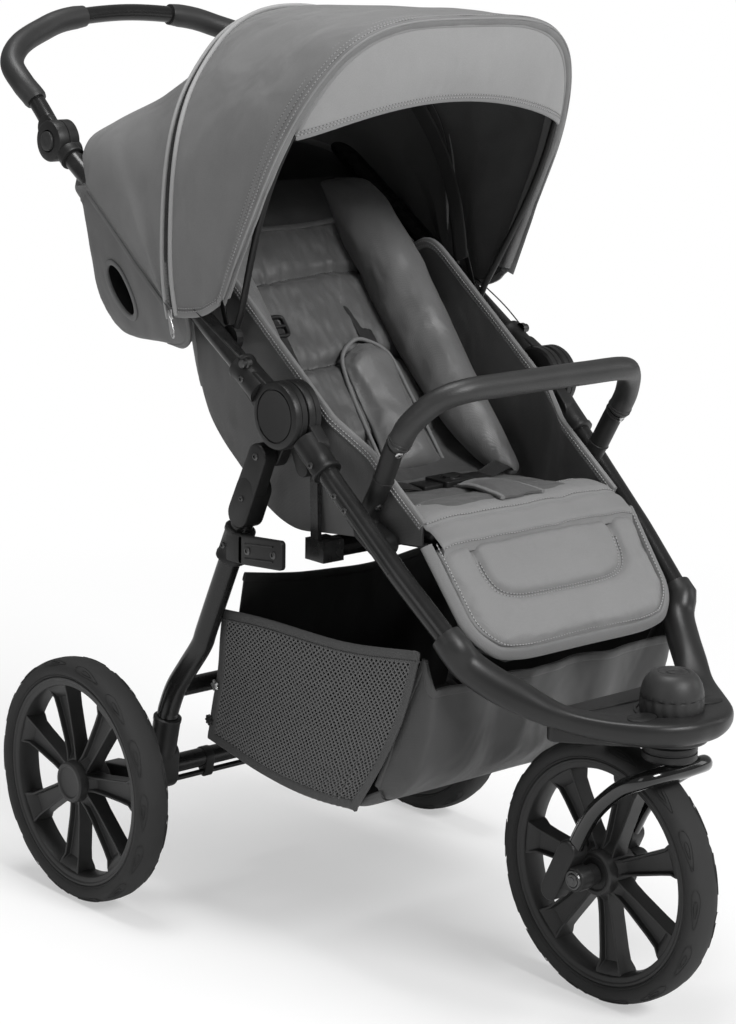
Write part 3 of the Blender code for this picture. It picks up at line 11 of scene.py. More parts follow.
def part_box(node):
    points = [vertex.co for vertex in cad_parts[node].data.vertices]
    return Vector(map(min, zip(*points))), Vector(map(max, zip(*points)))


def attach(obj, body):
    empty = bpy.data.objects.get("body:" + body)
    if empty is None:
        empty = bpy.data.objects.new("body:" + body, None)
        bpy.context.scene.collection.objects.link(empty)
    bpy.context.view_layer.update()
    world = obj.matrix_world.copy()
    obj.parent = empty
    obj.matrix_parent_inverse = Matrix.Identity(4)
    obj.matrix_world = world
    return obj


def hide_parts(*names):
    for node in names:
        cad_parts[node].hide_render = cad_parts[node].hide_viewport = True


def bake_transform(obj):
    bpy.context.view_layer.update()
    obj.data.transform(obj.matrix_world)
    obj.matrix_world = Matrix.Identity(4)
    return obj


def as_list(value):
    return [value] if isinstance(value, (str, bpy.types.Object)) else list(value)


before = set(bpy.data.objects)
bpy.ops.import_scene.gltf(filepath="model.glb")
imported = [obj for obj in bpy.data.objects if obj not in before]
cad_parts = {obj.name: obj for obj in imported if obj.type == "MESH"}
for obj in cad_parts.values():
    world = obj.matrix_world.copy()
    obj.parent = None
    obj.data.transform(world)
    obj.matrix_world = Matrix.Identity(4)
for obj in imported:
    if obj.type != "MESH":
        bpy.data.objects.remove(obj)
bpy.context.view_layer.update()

STITCH = 0.0006

# Sizes repeated from the part's own source, in metres and degrees
SHIFT = 0.235081
HUB = (-0.292, 0.636)
HANDLE_ANGLE = 32.1
FRONT_ANGLE = 220.2
LEG_X = 0.2069
FRONT_X = 0.1966
HUB_OUT = 0.2193
HUB_HALF = 0.0190
WHEEL_R = 0.150
WHEELBASE = 0.6155
TRACK = 0.548
SWIVEL_Y = -WHEELBASE - 0.0838
TIP = -WHEELBASE - 0.1230
PLATFORM = 0.353
SEAT_FRONT = (-0.4680, 0.5080)
SEAT_CREASE = (-0.2430, 0.4900)
SEAT_HALF = 0.145
BACK_ANGLE = 51.0
FOOT_ANGLE = 231.5
SIDES = (("left", -1), ("right", 1))


def at(x, y, z):
    return Vector((x, y + SHIFT, z))


def polar(origin, degrees, reach):
    a = math.radians(degrees)
    return (origin[0] + reach * math.cos(a), origin[1] + reach * math.sin(a))


def toward(a, b, share):
    return tuple(p + (q - p) * share for p, q in zip(a, b))


def lerp(a, b, t):
    return a + (b - a) * t


def step(low, high, value):
    t = min(1.0, max(0.0, (value - low) / (high - low)))
    return t * t * (3 - 2 * t)


HANDLE_JOINT = polar(HUB, HANDLE_ANGLE, 0.508)
LEG_PIVOT = (HUB[0] + 0.0303, HUB[1] - 0.0505)
CANOPY_PIVOT = polar(HUB, HANDLE_ANGLE, 0.1321)
LEG_KNEE, LEG_FOOT, LEG_CROSS, BEAM = (-0.146, 0.3394), (-0.0800, 0.2370), (-0.0948, 0.2739), (-0.0635, 0.1680)
LEG_ANGLE = math.degrees(math.atan2(LEG_KNEE[1] - LEG_PIVOT[1], LEG_KNEE[0] - LEG_PIVOT[0]))
COLLAR = polar(LEG_PIVOT, LEG_ANGLE, 0.1225)
FRONT_AXLE, REAR_AXLE = (-WHEELBASE, WHEEL_R), (0.0, WHEEL_R)

# Camera, fitted to the photograph


def camera():
    az, el, roll = math.radians(40.92), math.radians(12.78), math.radians(0.85)
    ahead = Vector((math.sin(az) * math.cos(el), math.cos(az) * math.cos(el), -math.sin(el)))
    right = Vector((math.cos(az), -math.sin(az), 0.0))
    up = right.cross(ahead)
    x = right * math.cos(roll) + up * math.sin(roll)
    y = up * math.cos(roll) - right * math.sin(roll)
    data = bpy.data.cameras.new("camera")
    data.sensor_width = 36.0
    data.lens = 94.6
    data.shift_x, data.shift_y = 0.0134, -0.0045
    data.clip_end = 60.0
    cam = bpy.data.objects.new("camera", data)
    cam.matrix_world = Matrix(((x.x, y.x, -ahead.x, -2.065), (x.y, y.y, -ahead.y, -2.324),
                               (x.z, y.z, -ahead.z, 1.197), (0, 0, 0, 1)))
    bpy.context.scene.collection.objects.link(cam)
    bpy.context.scene.camera = cam


# Materials


class Nodes:
    """A material's node tree with short calls to add and link nodes."""

    def __init__(self, name):
        self.material = bpy.data.materials.new(name)
        self.material.use_nodes = True
        self.tree = self.material.node_tree
        self.shader = self.tree.nodes["Principled BSDF"]

    def add(self, kind, settings=None, **links):
        node = self.tree.nodes.new("ShaderNode" + kind)
        for key, value in (settings or {}).items():
            setattr(node, key, value)
        for key, value in links.items():
            self.put(node.inputs[key.replace("_", " ")], value)
        return node

    def put(self, socket, value):
        if isinstance(value, bpy.types.NodeSocket):
            self.tree.links.new(value, socket)
        else:
            socket.default_value = value

    def math(self, operation, a, b=0.0, c=None):
        node = self.tree.nodes.new("ShaderNodeMath")
        node.operation = operation
        for k, value in enumerate((a, b, c)):
            if value is not None:
                self.put(node.inputs[k], value)
        return node.outputs[0]

    def grey(self, factor, low, high):
        """A grey between two linear levels; each level may be a number or a colour."""
        mix = self.tree.nodes.new("ShaderNodeMix")
        mix.data_type = "RGBA"
        self.put(mix.inputs[0], factor)
        for k, level in ((6, low), (7, high)):
            colour = level if isinstance(level, tuple) else (level, level, level)
            mix.inputs[k].default_value = (*colour, 1.0)
        return mix.outputs[2]

    def noise(self, vector, scale, detail=2.0, rough=0.5, distort=0.0):
        return self.add("TexNoise", None, Vector=vector, Scale=scale, Detail=detail, Roughness=rough,
                        Distortion=distort).outputs["Fac"]

    def scaled(self, vector, scale, turn=(0, 0, 0)):
        return self.add("Mapping", None, Vector=vector, Scale=scale, Rotation=turn).outputs[0]

    def ramp(self, value, low, high):
        return self.add("MapRange", {"clamp": True}, Value=value, From_Min=low, From_Max=high).outputs[0]

    def bump(self, height, strength, distance, normal=None):
        node = self.add("Bump", None, Strength=strength, Distance=distance, Height=height)
        if normal is not None:
            self.put(node.inputs["Normal"], normal)
        return node.outputs[0]


def finish_with(n, colour, rough, normal, specular=0.5, metallic=0.0, sheen=0.0, coat=0.0):
    n.put(n.shader.inputs["Base Color"], colour)
    n.put(n.shader.inputs["Roughness"], rough)
    n.put(n.shader.inputs["Normal"], normal)
    n.shader.inputs["Specular IOR Level"].default_value = specular
    n.shader.inputs["Metallic"].default_value = metallic
    if sheen:
        n.shader.inputs["Sheen Weight"].default_value = sheen
        n.shader.inputs["Sheen Roughness"].default_value = 0.45
    if coat:
        n.shader.inputs["Coat Weight"].default_value = coat
        n.shader.inputs["Coat Roughness"].default_value = 0.08
    return n.material


def fabric(name, level, contrast=0.12, thread=0.0011, crease=0.5, rough=0.62, sheen=0.15, turn=(0.5, 0.3, 0.8)):
    """Woven cloth: crossed threads, uneven yarn, soft creases, and large blotches in the colour that are partly melange
    and partly painted sheen and fold shading.
    """
    n = Nodes(name)
    place = n.add("TexCoord").outputs["Object"]
    turned = n.scaled(place, (1, 1, 1), turn)
    per_metre = 2 * math.pi / (20 * thread)
    warp = n.add("TexWave", {"bands_direction": "X"}, Vector=turned, Scale=per_metre, Distortion=0.6,
                 Detail=1.0).outputs["Fac"]
    weft = n.add("TexWave", {"bands_direction": "Y"}, Vector=turned, Scale=per_metre, Distortion=0.6,
                 Detail=1.0).outputs["Fac"]
    weave = n.math("MULTIPLY", warp, weft)
    yarn = n.noise(n.scaled(turned, (900, 140, 900)), 1.0, 2.0)
    # Large blotches: painted sheen and fold shading, mixed with the yarn's melange
    painted_sheen_cloud = n.noise(place, 7.0, 3.0, 0.55)
    folds = n.noise(n.scaled(place, (17, 13, 9), (0.3, 0.5, 0.2)), 1.0, 2.0, 0.45, 0.35)
    melange_and_painted_sheen = n.math("ADD", n.math("MULTIPLY", yarn, 0.45), n.math("MULTIPLY", painted_sheen_cloud, 0.55))
    colour = n.grey(n.ramp(melange_and_painted_sheen, 0.25, 0.75), level * (1 - contrast), level * (1 + contrast))
    normal = n.bump(folds, crease, 0.011)
    normal = n.bump(n.math("ADD", weave, n.math("MULTIPLY", yarn, 0.6)), 0.35, 0.0004, normal)
    roughness = n.add("MapRange", None, Value=yarn, To_Min=rough - 0.08, To_Max=rough + 0.10).outputs[0]
    return finish_with(n, colour, roughness, normal, 0.35, 0.0, sheen)


def moulded(name, level, rough=0.45, grain=2600.0, depth=0.00012, wear=0.05, specular=0.5, metallic=0.0, coat=0.0):
    """Moulded or powder-coated surface: fine grain, faint smudges and lighter worn edges."""
    n = Nodes(name)
    place = n.add("TexCoord").outputs["Object"]
    fine = n.noise(place, grain, 2.0)
    smudge = n.noise(place, 22.0, 4.0, 0.6)
    edge = n.ramp(n.add("NewGeometry").outputs["Pointiness"], 0.52, 0.60)
    worn = n.math("MULTIPLY", edge, n.ramp(n.noise(place, 90.0, 3.0), 0.35, 0.75))
    tone = n.math("ADD", n.math("MULTIPLY", smudge, 0.5), n.math("MULTIPLY", worn, 1.0))
    colour = n.grey(n.ramp(tone, 0.1, 1.2), level * 0.88, level * 1.25 + wear)
    roughness = n.add("MapRange", None, Value=smudge, To_Min=rough - 0.08, To_Max=rough + 0.10).outputs[0]
    return finish_with(n, colour, roughness, n.bump(fine, 0.5, depth), specular, metallic, 0.0, coat)


def leather(name, level):
    """Pebbled leatherette of the grips and the bumper bar."""
    n = Nodes(name)
    place = n.add("TexCoord").outputs["Object"]
    cells = n.add("TexVoronoi", {"feature": "SMOOTH_F1"}, Vector=place, Scale=620.0, Smoothness=0.6).outputs["Distance"]
    pores = n.noise(place, 1500.0, 2.0)
    stretch = n.noise(n.scaled(place, (30, 30, 60)), 1.0, 3.0)
    height = n.math("ADD", n.math("MULTIPLY", cells, -0.8), n.math("MULTIPLY", pores, 0.25))
    colour = n.grey(n.ramp(stretch, 0.3, 0.8), level * 0.85, level * 1.3)
    roughness = n.add("MapRange", None, Value=cells, To_Min=0.38, To_Max=0.54).outputs[0]
    normal = n.bump(height, 0.45, 0.0004, n.bump(stretch, 0.2, 0.002))
    return finish_with(n, colour, roughness, normal, 0.45)


def rubber(name, level):
    n = Nodes(name)
    place = n.add("TexCoord").outputs["Object"]
    fine = n.noise(place, 1900.0, 3.0, 0.6)
    dust = n.noise(place, 14.0, 5.0, 0.65)
    colour = n.grey(n.ramp(dust, 0.35, 0.75), level * 0.85, level * 1.35)
    roughness = n.add("MapRange", None, Value=dust, To_Min=0.66, To_Max=0.86).outputs[0]
    return finish_with(n, colour, roughness, n.bump(fine, 0.5, 0.00025), 0.4)


def webbing(name, level):
    """Flat woven strap: ribs across its width that follow the strap's own length."""
    n = Nodes(name)
    uv = n.add("TexCoord").outputs["UV"]
    ribs = n.add("TexWave", {"bands_direction": "X"}, Vector=uv, Scale=2 * math.pi / (20 * 0.0016), Distortion=0.3,
                 Detail=1.0).outputs["Fac"]
    lines = n.add("TexWave", {"bands_direction": "Y"}, Vector=uv, Scale=2 * math.pi / (20 * 0.0030)).outputs["Fac"]
    tone = n.noise(uv, 60.0, 3.0)
    colour = n.grey(n.ramp(tone, 0.3, 0.7), level * 0.8, level * 1.3)
    height = n.math("ADD", ribs, n.math("MULTIPLY", lines, 0.6))
    rough = n.add("MapRange", None, Value=ribs, To_Min=0.55, To_Max=0.75).outputs[0]
    return finish_with(n, colour, rough, n.bump(height, 0.6, 0.0006), 0.35, 0.0, 0.1)


def open_mesh(name, level):
    """Basket net: small diagonal holes, transparent between dark threads."""
    n = Nodes(name)
    uv = n.add("TexCoord").outputs["UV"]
    turned = n.scaled(uv, (1, 1, 1), (0, 0, math.radians(45)))
    pitch = 0.0050
    period = 2 * math.pi / (20 * pitch)
    one = n.add("TexWave", {"bands_direction": "X"}, Vector=turned, Scale=period, Distortion=0.25, Detail=1.0)
    two = n.add("TexWave", {"bands_direction": "Y"}, Vector=turned, Scale=period, Distortion=0.25, Detail=1.0)
    hole = n.math("MULTIPLY", n.ramp(one.outputs["Fac"], 0.30, 0.42), n.ramp(two.outputs["Fac"], 0.30, 0.42))
    thread = n.math("SUBTRACT", 1.0, n.math("MULTIPLY", hole, 0.97))
    yarn = n.noise(n.scaled(uv, (1500, 500, 1)), 1.0, 2.0)
    colour = n.grey(yarn, level * 0.8, level * 1.25)
    n.put(n.shader.inputs["Alpha"], thread)
    rough = n.add("MapRange", None, Value=yarn, To_Min=0.55, To_Max=0.75).outputs[0]
    return finish_with(n, colour, rough, n.bump(thread, 0.7, 0.0008), 0.35, 0.0, 0.1)


def stitches(name, level, across="UV"):
    """Sewing thread: short raised dashes along the line."""
    n = Nodes(name)
    uv = n.add("TexCoord").outputs[across]
    dash = n.add("TexWave", {"bands_direction": "X"}, Vector=uv, Scale=2 * math.pi / (20 * 0.0042)).outputs["Fac"]
    on = n.ramp(dash, 0.25, 0.45)
    colour = n.grey(on, level * 0.35, level * 1.15)
    rough = n.add("MapRange", None, Value=dash, To_Min=0.5, To_Max=0.7).outputs[0]
    return finish_with(n, colour, rough, n.bump(on, 0.8, 0.0006), 0.35, 0.0, 0.1)


MAT = {}


def materials():
    # Canopy cloth; its contrast of 0.20 makes the painted sheen and fold blotches stronger
    MAT["canopy"] = fabric("canopy_cloth", 0.150, 0.20, crease=0.80)
    # The visor is the canopy's fabric at a higher level: painted light for the highlight on its front
    MAT["visor"] = fabric("visor_cloth", 0.250, 0.12, crease=0.55)
    MAT["binding"] = fabric("grey_binding", 0.200, 0.12, 0.0007, crease=0.15)
    MAT["lining"] = fabric("canopy_lining", 0.075, 0.20, crease=1.0, sheen=0.05)
    MAT["seat"] = fabric("seat_cloth", 0.080, 0.18, crease=0.95, rough=0.46)
    # Bolster cloth set lighter than the seat cloth: painted sheen for the lit satin rolls
    MAT["roll"] = fabric("bolster_cloth_painted_sheen", 0.125, 0.16, crease=1.0, rough=0.34)
    MAT["piping"] = fabric("grey_piping", 0.300, 0.10, 0.0007, crease=0.10)
    MAT["wall"] = fabric("side_wall_cloth", 0.068, 0.16, crease=0.8, rough=0.46)
    MAT["wall_binding"] = fabric("side_binding", 0.165, 0.15, 0.0007, crease=0.2)
    MAT["dark"] = fabric("dark_cloth", 0.026, 0.20, crease=0.7, sheen=0.05)
    MAT["cover"] = fabric("back_cover_cloth", 0.100, 0.20, crease=0.95)
    MAT["foot"] = fabric("footrest_cloth", 0.178, 0.10, crease=0.50)
    MAT["foot_binding"] = fabric("footrest_binding", 0.150, 0.10, 0.0007, crease=0.15)
    MAT["basket"] = fabric("basket_cloth", 0.043, 0.16, crease=0.7, rough=0.50)
    MAT["basket_dark"] = fabric("basket_rear_cloth", 0.018, 0.2, crease=0.7, sheen=0.03)
    MAT["net"] = open_mesh("basket_net", 0.105)
    MAT["thread"] = stitches("light_thread", 0.26)
    MAT["dark_thread"] = stitches("dark_thread", 0.045)
    MAT["webbing"] = webbing("black_webbing", 0.014)
    MAT["plastic"] = moulded("black_plastic", 0.009, 0.42, wear=0.012, specular=0.30)
    MAT["nose"] = moulded("nose_plastic", 0.012, 0.38, 1800.0, wear=0.015, specular=0.32)
    MAT["hub"] = moulded("hub_plastic", 0.009, 0.40, wear=0.012, specular=0.30)
    MAT["tube"] = moulded("coated_tube", 0.010, 0.24, 1200.0, 0.00006, 0.012, 0.35)
    MAT["gloss"] = moulded("gloss_tube", 0.003, 0.14, 300.0, 0.00002, 0.003, 0.40, 0.0, 0.35)
    MAT["rim"] = moulded("wheel_plastic", 0.020, 0.44, wear=0.015, specular=0.32)
    MAT["knob"] = moulded("knob_plastic", 0.026, 0.46, 2200.0, wear=0.012, specular=0.32)
    MAT["steel"] = moulded("bright_steel", 0.42, 0.28, 800.0, 0.00004, 0.1, 0.5, 1.0)
    MAT["screw"] = moulded("dark_screw", 0.07, 0.32, 800.0, 0.00004, 0.05, 0.5, 0.9)
    MAT["tyre"] = rubber("tyre_rubber", 0.017)
    MAT["grip"] = leather("leatherette", 0.018)


# Mesh helpers


class Shape:
    """Collects rings and grids of points into one mesh, with UVs in metres."""

    def __init__(self):
        self.verts, self.faces, self.uvs = [], [], []

    def grid(self, rows, close=False, uv=None):
        """A skin through rows of equal length; close joins each row's ends. UVs are lengths along and across."""
        count = len(rows[0])
        base = len(self.verts)
        for row in rows:
            self.verts += [tuple(p) for p in row]
        if uv is None:
            mid = len(rows) // 2
            across = [0.0]
            for a, b in zip(rows[mid], list(rows[mid][1:]) + [rows[mid][0]]):
                across.append(across[-1] + (Vector(b) - Vector(a)).length)
            half = count // 2
            along = [0.0]
            for a, b in zip(rows, rows[1:]):
                along.append(along[-1] + (Vector(b[half]) - Vector(a[half])).length)
            uv = (along, across)
        last = count if close else count - 1
        for i in range(len(rows) - 1):
            for j in range(last):
                k = (j + 1) % count
                self.faces.append((base + i * count + j, base + i * count + k,
                                   base + (i + 1) * count + k, base + (i + 1) * count + j))
                self.uvs.append(((uv[0][i], uv[1][j]), (uv[0][i], uv[1][j + 1]),
                                 (uv[0][i + 1], uv[1][j + 1]), (uv[0][i + 1], uv[1][j])))
        return base

    def cap(self, base, count, start, flip):
        """A fan that closes one ring of points."""
        middle = sum((Vector(self.verts[base + start + k]) for k in range(count)), Vector()) / count
        self.verts.append(tuple(middle))
        tip = len(self.verts) - 1
        for k in range(count):
            a, b = base + start + k, base + start + (k + 1) % count
            self.faces.append((b, a, tip) if flip else (a, b, tip))
            self.uvs.append(((0.0, 0.0),) * 3)

    def tube(self, path, radius, sides=24, flat=1.0, side_axis=None, caps=True, closed=False, turn=0.0):
        """A round or flattened tube along the path; radius is one number or one for each point."""
        path = [Vector(p) for p in path]
        count = len(path)
        radii = radius if isinstance(radius, (list, tuple)) else [radius] * count
        rings = []
        normal = None
        for k, p in enumerate(path):
            before = path[k - 1] if k > 0 else (path[-1] if closed else None)
            after = path[k + 1] if k < count - 1 else (path[0] if closed else None)
            tangent = ((after or p) - (before or p)).normalized()
            if normal is None:
                seed = Vector(side_axis) if side_axis else Vector((0, 0, 1))
                if abs(seed.normalized().dot(tangent)) > 0.95:
                    seed = Vector((0, 1, 0))
                normal = seed
            if side_axis:
                normal = Vector(side_axis)
            normal = (normal - tangent * normal.dot(tangent)).normalized()
            side = tangent.cross(normal)
            rings.append([p + (normal * math.cos(a) + side * math.sin(a) * flat) * radii[k]
                          for a in (2 * math.pi * (j / sides) + turn for j in range(sides))])
        if closed:
            rings.append(rings[0])
        base = self.grid(rings, close=True)
        if caps and not closed:
            self.cap(base, sides, 0, False)
            self.cap(base, sides, (count - 1) * sides, True)
        return self

    def lathe(self, profile, centre, axis="X", steps=64, wobble=None, turn=0.0):
        """(radius, height) points turned about an axis; wobble(k, j, r, h) may change a point."""
        rows = []
        for j in range(steps):
            angle = 2 * math.pi * j / steps + turn
            row = []
            for k, (r, h) in enumerate(profile):
                if wobble:
                    r, h = wobble(k, j, r, h)
                c, s = math.cos(angle) * r, math.sin(angle) * r
                offset = Vector((h, c, s)) if axis == "X" else (Vector((c, s, h)) if axis == "Z" else Vector((c, h, s)))
                row.append(Vector(centre) + offset)
            rows.append(row)
        rows.append(rows[0])
        base = len(self.verts)
        self.grid(rows)
        return base

    def piece(self, name, mat, body, slot=None, sharp=38.0, weld=0.00002):
        mesh = bpy.data.meshes.new(name)
        mesh.from_pydata(self.verts, [], self.faces)
        layer = mesh.uv_layers.new(name="UVMap")
        loop = 0
        for face in self.uvs:
            for u in face:
                layer.data[loop].uv = u
                loop += 1
        bm = bmesh.new()
        bm.from_mesh(mesh)
        bmesh.ops.remove_doubles(bm, verts=bm.verts, dist=weld)
        bmesh.ops.dissolve_degenerate(bm, edges=bm.edges, dist=weld / 4)
        bmesh.ops.recalc_face_normals(bm, faces=bm.faces)
        bm.to_mesh(mesh)
        bm.free()
        return place_piece(name, mesh, mat, body, slot, sharp)


def place_piece(name, mesh, mat, body, slot=None, sharp=38.0):
    obj = bpy.data.objects.new(name, mesh)
    bpy.context.scene.collection.objects.link(obj)
    mesh.materials.clear()
    mesh.materials.append(MAT[mat] if isinstance(mat, str) else mat)
    mesh.polygons.foreach_set("use_smooth", [True] * len(mesh.polygons))
    if sharp:
        mesh.set_sharp_from_angle(angle=math.radians(sharp))
    if body:
        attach(obj, body)
    return obj


def modify(obj, kind, **settings):
    mod = obj.modifiers.new(kind.lower(), kind)
    for key, value in settings.items():
        setattr(mod, key, value)
    return mod


def apply_all(obj):
    """Turns the modified shape into the mesh itself."""
    bpy.context.view_layer.update()
    graph = bpy.context.evaluated_depsgraph_get()
    mesh = bpy.data.meshes.new_from_object(obj.evaluated_get(graph))
    obj.modifiers.clear()
    obj.data = mesh
    return obj


def smooth_path(points, steps=6):
    points = [Vector(p) for p in points]
    ends = [2 * points[0] - points[1]] + points + [2 * points[-1] - points[-2]]
    path = []
    for a, b, c, d in zip(ends, ends[1:], ends[2:], ends[3:]):
        for k in range(steps):
            t = k / steps
            path.append(0.5 * (2 * b + (c - a) * t + (2 * a - 5 * b + 4 * c - d) * t * t
                               + (3 * b - a - 3 * c + d) * t ** 3))
    return path + [points[-1]]


def mirror_path(half, middle=None):
    other = [Vector((-p.x, p.y, p.z)) for p in reversed(half)]
    return list(half) + ([middle] if middle is not None else []) + other


def hull_piece(name, outlines, mat, body, slot=None, bevel=0.0015, segments=3, sharp=30.0):
    """One solid of hulls stretched over point sets, joined and with rounded edges."""
    bm = bmesh.new()
    for points in outlines:
        verts = [bm.verts.new(p) for p in points]
        made = bmesh.ops.convex_hull(bm, input=verts)
        spare = list({g for g in made["geom_interior"] + made["geom_unused"] if isinstance(g, bmesh.types.BMVert)})
        bmesh.ops.delete(bm, geom=spare, context="VERTS")
    bmesh.ops.dissolve_limit(bm, angle_limit=math.radians(1.0), verts=bm.verts, edges=bm.edges)
    if bevel:
        edges = [e for e in bm.edges if len(e.link_faces) == 2 and e.calc_face_angle(0) > math.radians(sharp)]
        bmesh.ops.bevel(bm, geom=edges, offset=bevel, segments=segments, profile=0.5, affect="EDGES",
                        clamp_overlap=True)
    bmesh.ops.recalc_face_normals(bm, faces=bm.faces)
    mesh = bpy.data.meshes.new(name)
    bm.to_mesh(mesh)
    bm.free()
    return place_piece(name, mesh, mat, body, slot, 50.0)


def circle_x(x, centre, radius, sides=28):
    return [at(x, centre[0] + radius * math.cos(2 * math.pi * k / sides),
               centre[1] + radius * math.sin(2 * math.pi * k / sides)) for k in range(sides)]


def plate_points(circles, x0, x1, sides=28):
    points = []
    for y, z, radius in circles:
        points += circle_x(x0, (y, z), radius, sides) + circle_x(x1, (y, z), radius, sides)
    return points


def screw(name, centre, axis, body, radius=0.0042, mat="screw"):
    """A button-head screw with a socket, its head outward along axis."""
    axis = Vector(axis).normalized()
    profile = [(0, 0.0006), (radius * 0.42, 0.0006), (radius * 0.46, 0.0017), (radius * 0.75, 0.0016),
               (radius, 0.0006), (radius, -0.0012)]
    shape = Shape()
    shape.lathe(profile, (0, 0, 0), "Z", 20)
    turn = axis.to_track_quat("Z", "Y").to_matrix()
    shape.verts = [tuple(Vector(centre) + turn @ Vector(v)) for v in shape.verts]
    return shape.piece(name, mat, body, "steel")


def fbm(p, scale, octaves=3):
    return noise.fractal(Vector(p) * scale, 1.0, 2.0, octaves)


# Wheels


def tyre(name, node, centre, body):
    """Rubber ring with a bead line, a round shoulder with notches and leaf-shaped lines on the tread."""
    inner = WHEEL_R - 0.0207
    side = [(-0.0015, 0.0150), (0.0, 0.0178), (0.0012, 0.0190), (0.0020, 0.0186), (0.0028, 0.0194), (0.0055, 0.0210),
            (0.0085, 0.0215), (0.0115, 0.0211), (0.0145, 0.0196), (0.0170, 0.0170), (0.0188, 0.0136),
            (0.0200, 0.0092), (0.0206, 0.0045)]
    profile = [(inner + r, h) for r, h in side] + [(WHEEL_R, 0.0)]
    profile += [(inner + r, -h) for r, h in reversed(side)]
    profile.append(profile[0])
    steps = 168

    def notch(k, j, r, h):
        shoulder = 0.0136 < abs(h) < 0.0200 and r > inner + 0.012
        return (r - 0.0011, h) if shoulder and j % 8 == (0 if h > 0 else 4) else (r, h)

    shape = Shape()
    shape.lathe(profile, centre, "X", steps, notch)
    obj = shape.piece(name, "tyre", body, "tyre", 45.0)
    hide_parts(node)
    leaves = Shape()
    for k in range(14):
        for side_sign in (-1, 1):
            start = 2 * math.pi * (k + (0.5 if side_sign > 0 else 0.0)) / 14
            for size in (1.0, 0.42):
                path = []
                for m in range(18):
                    t = 2 * math.pi * m / 18
                    along = start + 0.155 * size * math.cos(t)
                    lift = 0.44 + 0.20 * size * math.sin(t) * (1 - 0.55 * math.cos(t))
                    angle = lift * math.pi / 2
                    h = side_sign * 0.0213 * math.cos(angle) ** 0.75
                    r = inner + 0.0088 + 0.0118 * math.sin(angle) ** 0.8
                    path.append(Vector(centre) + Vector((h, r * math.cos(along), r * math.sin(along))))
                leaves.tube(path, 0.00042, 5, closed=True)
    leaf = leaves.piece(name + "_lines", "tyre", body, "tyre", 60.0)
    return obj, leaf


def rim(name, node, centre, body, turn):
    """Moulded wheel: a stepped ring, seven trough spokes and a dished hub."""
    outer = WHEEL_R - 0.0210
    ring = [(outer, 0.0160), (outer - 0.0015, 0.0176), (outer - 0.0040, 0.0172), (outer - 0.0050, 0.0160),
            (outer - 0.0095, 0.0155), (outer - 0.0110, 0.0148), (outer - 0.0128, 0.0100), (outer - 0.0135, 0.0030)]
    profile = ring + [(r, -h) for r, h in reversed(ring)]
    profile.append(profile[0])
    shape = Shape()
    shape.lathe(profile, centre, "X", 112)
    hub = [(0, 0.0205), (0.0150, 0.0208), (0.0185, 0.0212), (0.0196, 0.0228), (0.0232, 0.0230), (0.0250, 0.0212),
           (0.0258, 0.0120), (0.0262, 0.0)]
    hub_profile = hub + [(r, -h) for r, h in reversed(hub)]
    shape.lathe(hub_profile, centre, "X", 56)
    middle = Vector(centre)
    for k in range(7):
        angle = math.radians(turn + 360 * k / 7)
        out = Vector((0, math.cos(angle), math.sin(angle)))
        across = Vector((0, -math.sin(angle), math.cos(angle)))
        rows = []
        for t in (0.0, 0.06, 0.14, 0.3, 0.5, 0.7, 0.85, 0.94, 1.0):
            reach = lerp(0.0215, outer - 0.0115, t)
            flare = 0.004 * step(0.82, 1.0, t) + 0.0015 * step(0.16, 0.0, t)
            half = lerp(0.0085, 0.0158, t) + flare
            thick = lerp(0.0122, 0.0098, step(0.0, 0.25, t)) + 0.0038 * step(0.80, 1.0, t)
            lip = 0.0026
            deep = thick - 0.0060 if 0.08 < t < 0.93 else thick - 0.0006
            floor = [(half - lip * 1.5, deep), (0.0, deep - 0.0006), (-half + lip * 1.5, deep)]
            points = [(half, -thick), (half, thick), (half - lip, thick)] + floor
            points += [(-half + lip, thick), (-half, thick), (-half, -thick), (-half + lip, -thick)]
            points += [(a, -b) for a, b in reversed(floor)] + [(half - lip, -thick)]
            rows.append([middle + out * reach + across * a + Vector((b, 0, 0)) for a, b in points])
        shape.grid(rows, close=True)
    obj = shape.piece(name, "rim", body, "wheel", 34.0)
    modify(obj, "BEVEL", width=0.0009, segments=2, limit_method="ANGLE", angle_limit=math.radians(40))
    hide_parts(node)
    return obj


def wheels():
    front = at(0, *FRONT_AXLE)
    tyre("front_tyre_rubber", "front_tyre", front, "front_wheel")
    rim("front_wheel_rim", "front_rim", front, "front_wheel", 4.0)
    for name, side in SIDES:
        centre = at(side * TRACK / 2, *REAR_AXLE)
        body = f"rear_wheel_{name}"
        tyre(f"rear_tyre_rubber_{name}", f"rear_tyre_{name}", centre, body)
        rim(f"rear_wheel_rim_{name}", f"rear_rim_{name}", centre, body, 20.0)


# Hubs, tubes and the nose


def hub_disc(name, side, low, high, centre, radius, body, mat="hub", face=None, slot="plastic"):
    """A turned hub body with a ring groove and a dished cover on its outer face."""
    span = high - low
    profile = [(0, low), (radius - 0.0025, low), (radius, low + 0.0022), (radius, low + span * 0.46),
               (radius - 0.0009, low + span * 0.50), (radius, low + span * 0.54), (radius, high - 0.0035),
               (radius - 0.0012, high - 0.0012), (radius - 0.0040, high)]
    if face:
        profile += [(radius * 0.80, high), (radius * 0.785, high - 0.0016), (radius * 0.76, high - 0.0016),
                    (radius * 0.745, high - 0.0003), (radius * 0.45, high - 0.0008), (0, high - 0.0010)]
    else:
        profile += [(0, high)]
    shape = Shape()
    shape.lathe([(r, h * side) for r, h in profile], at(0, *centre), "X", 72)
    return shape.piece(name, mat, body, slot, 32.0)


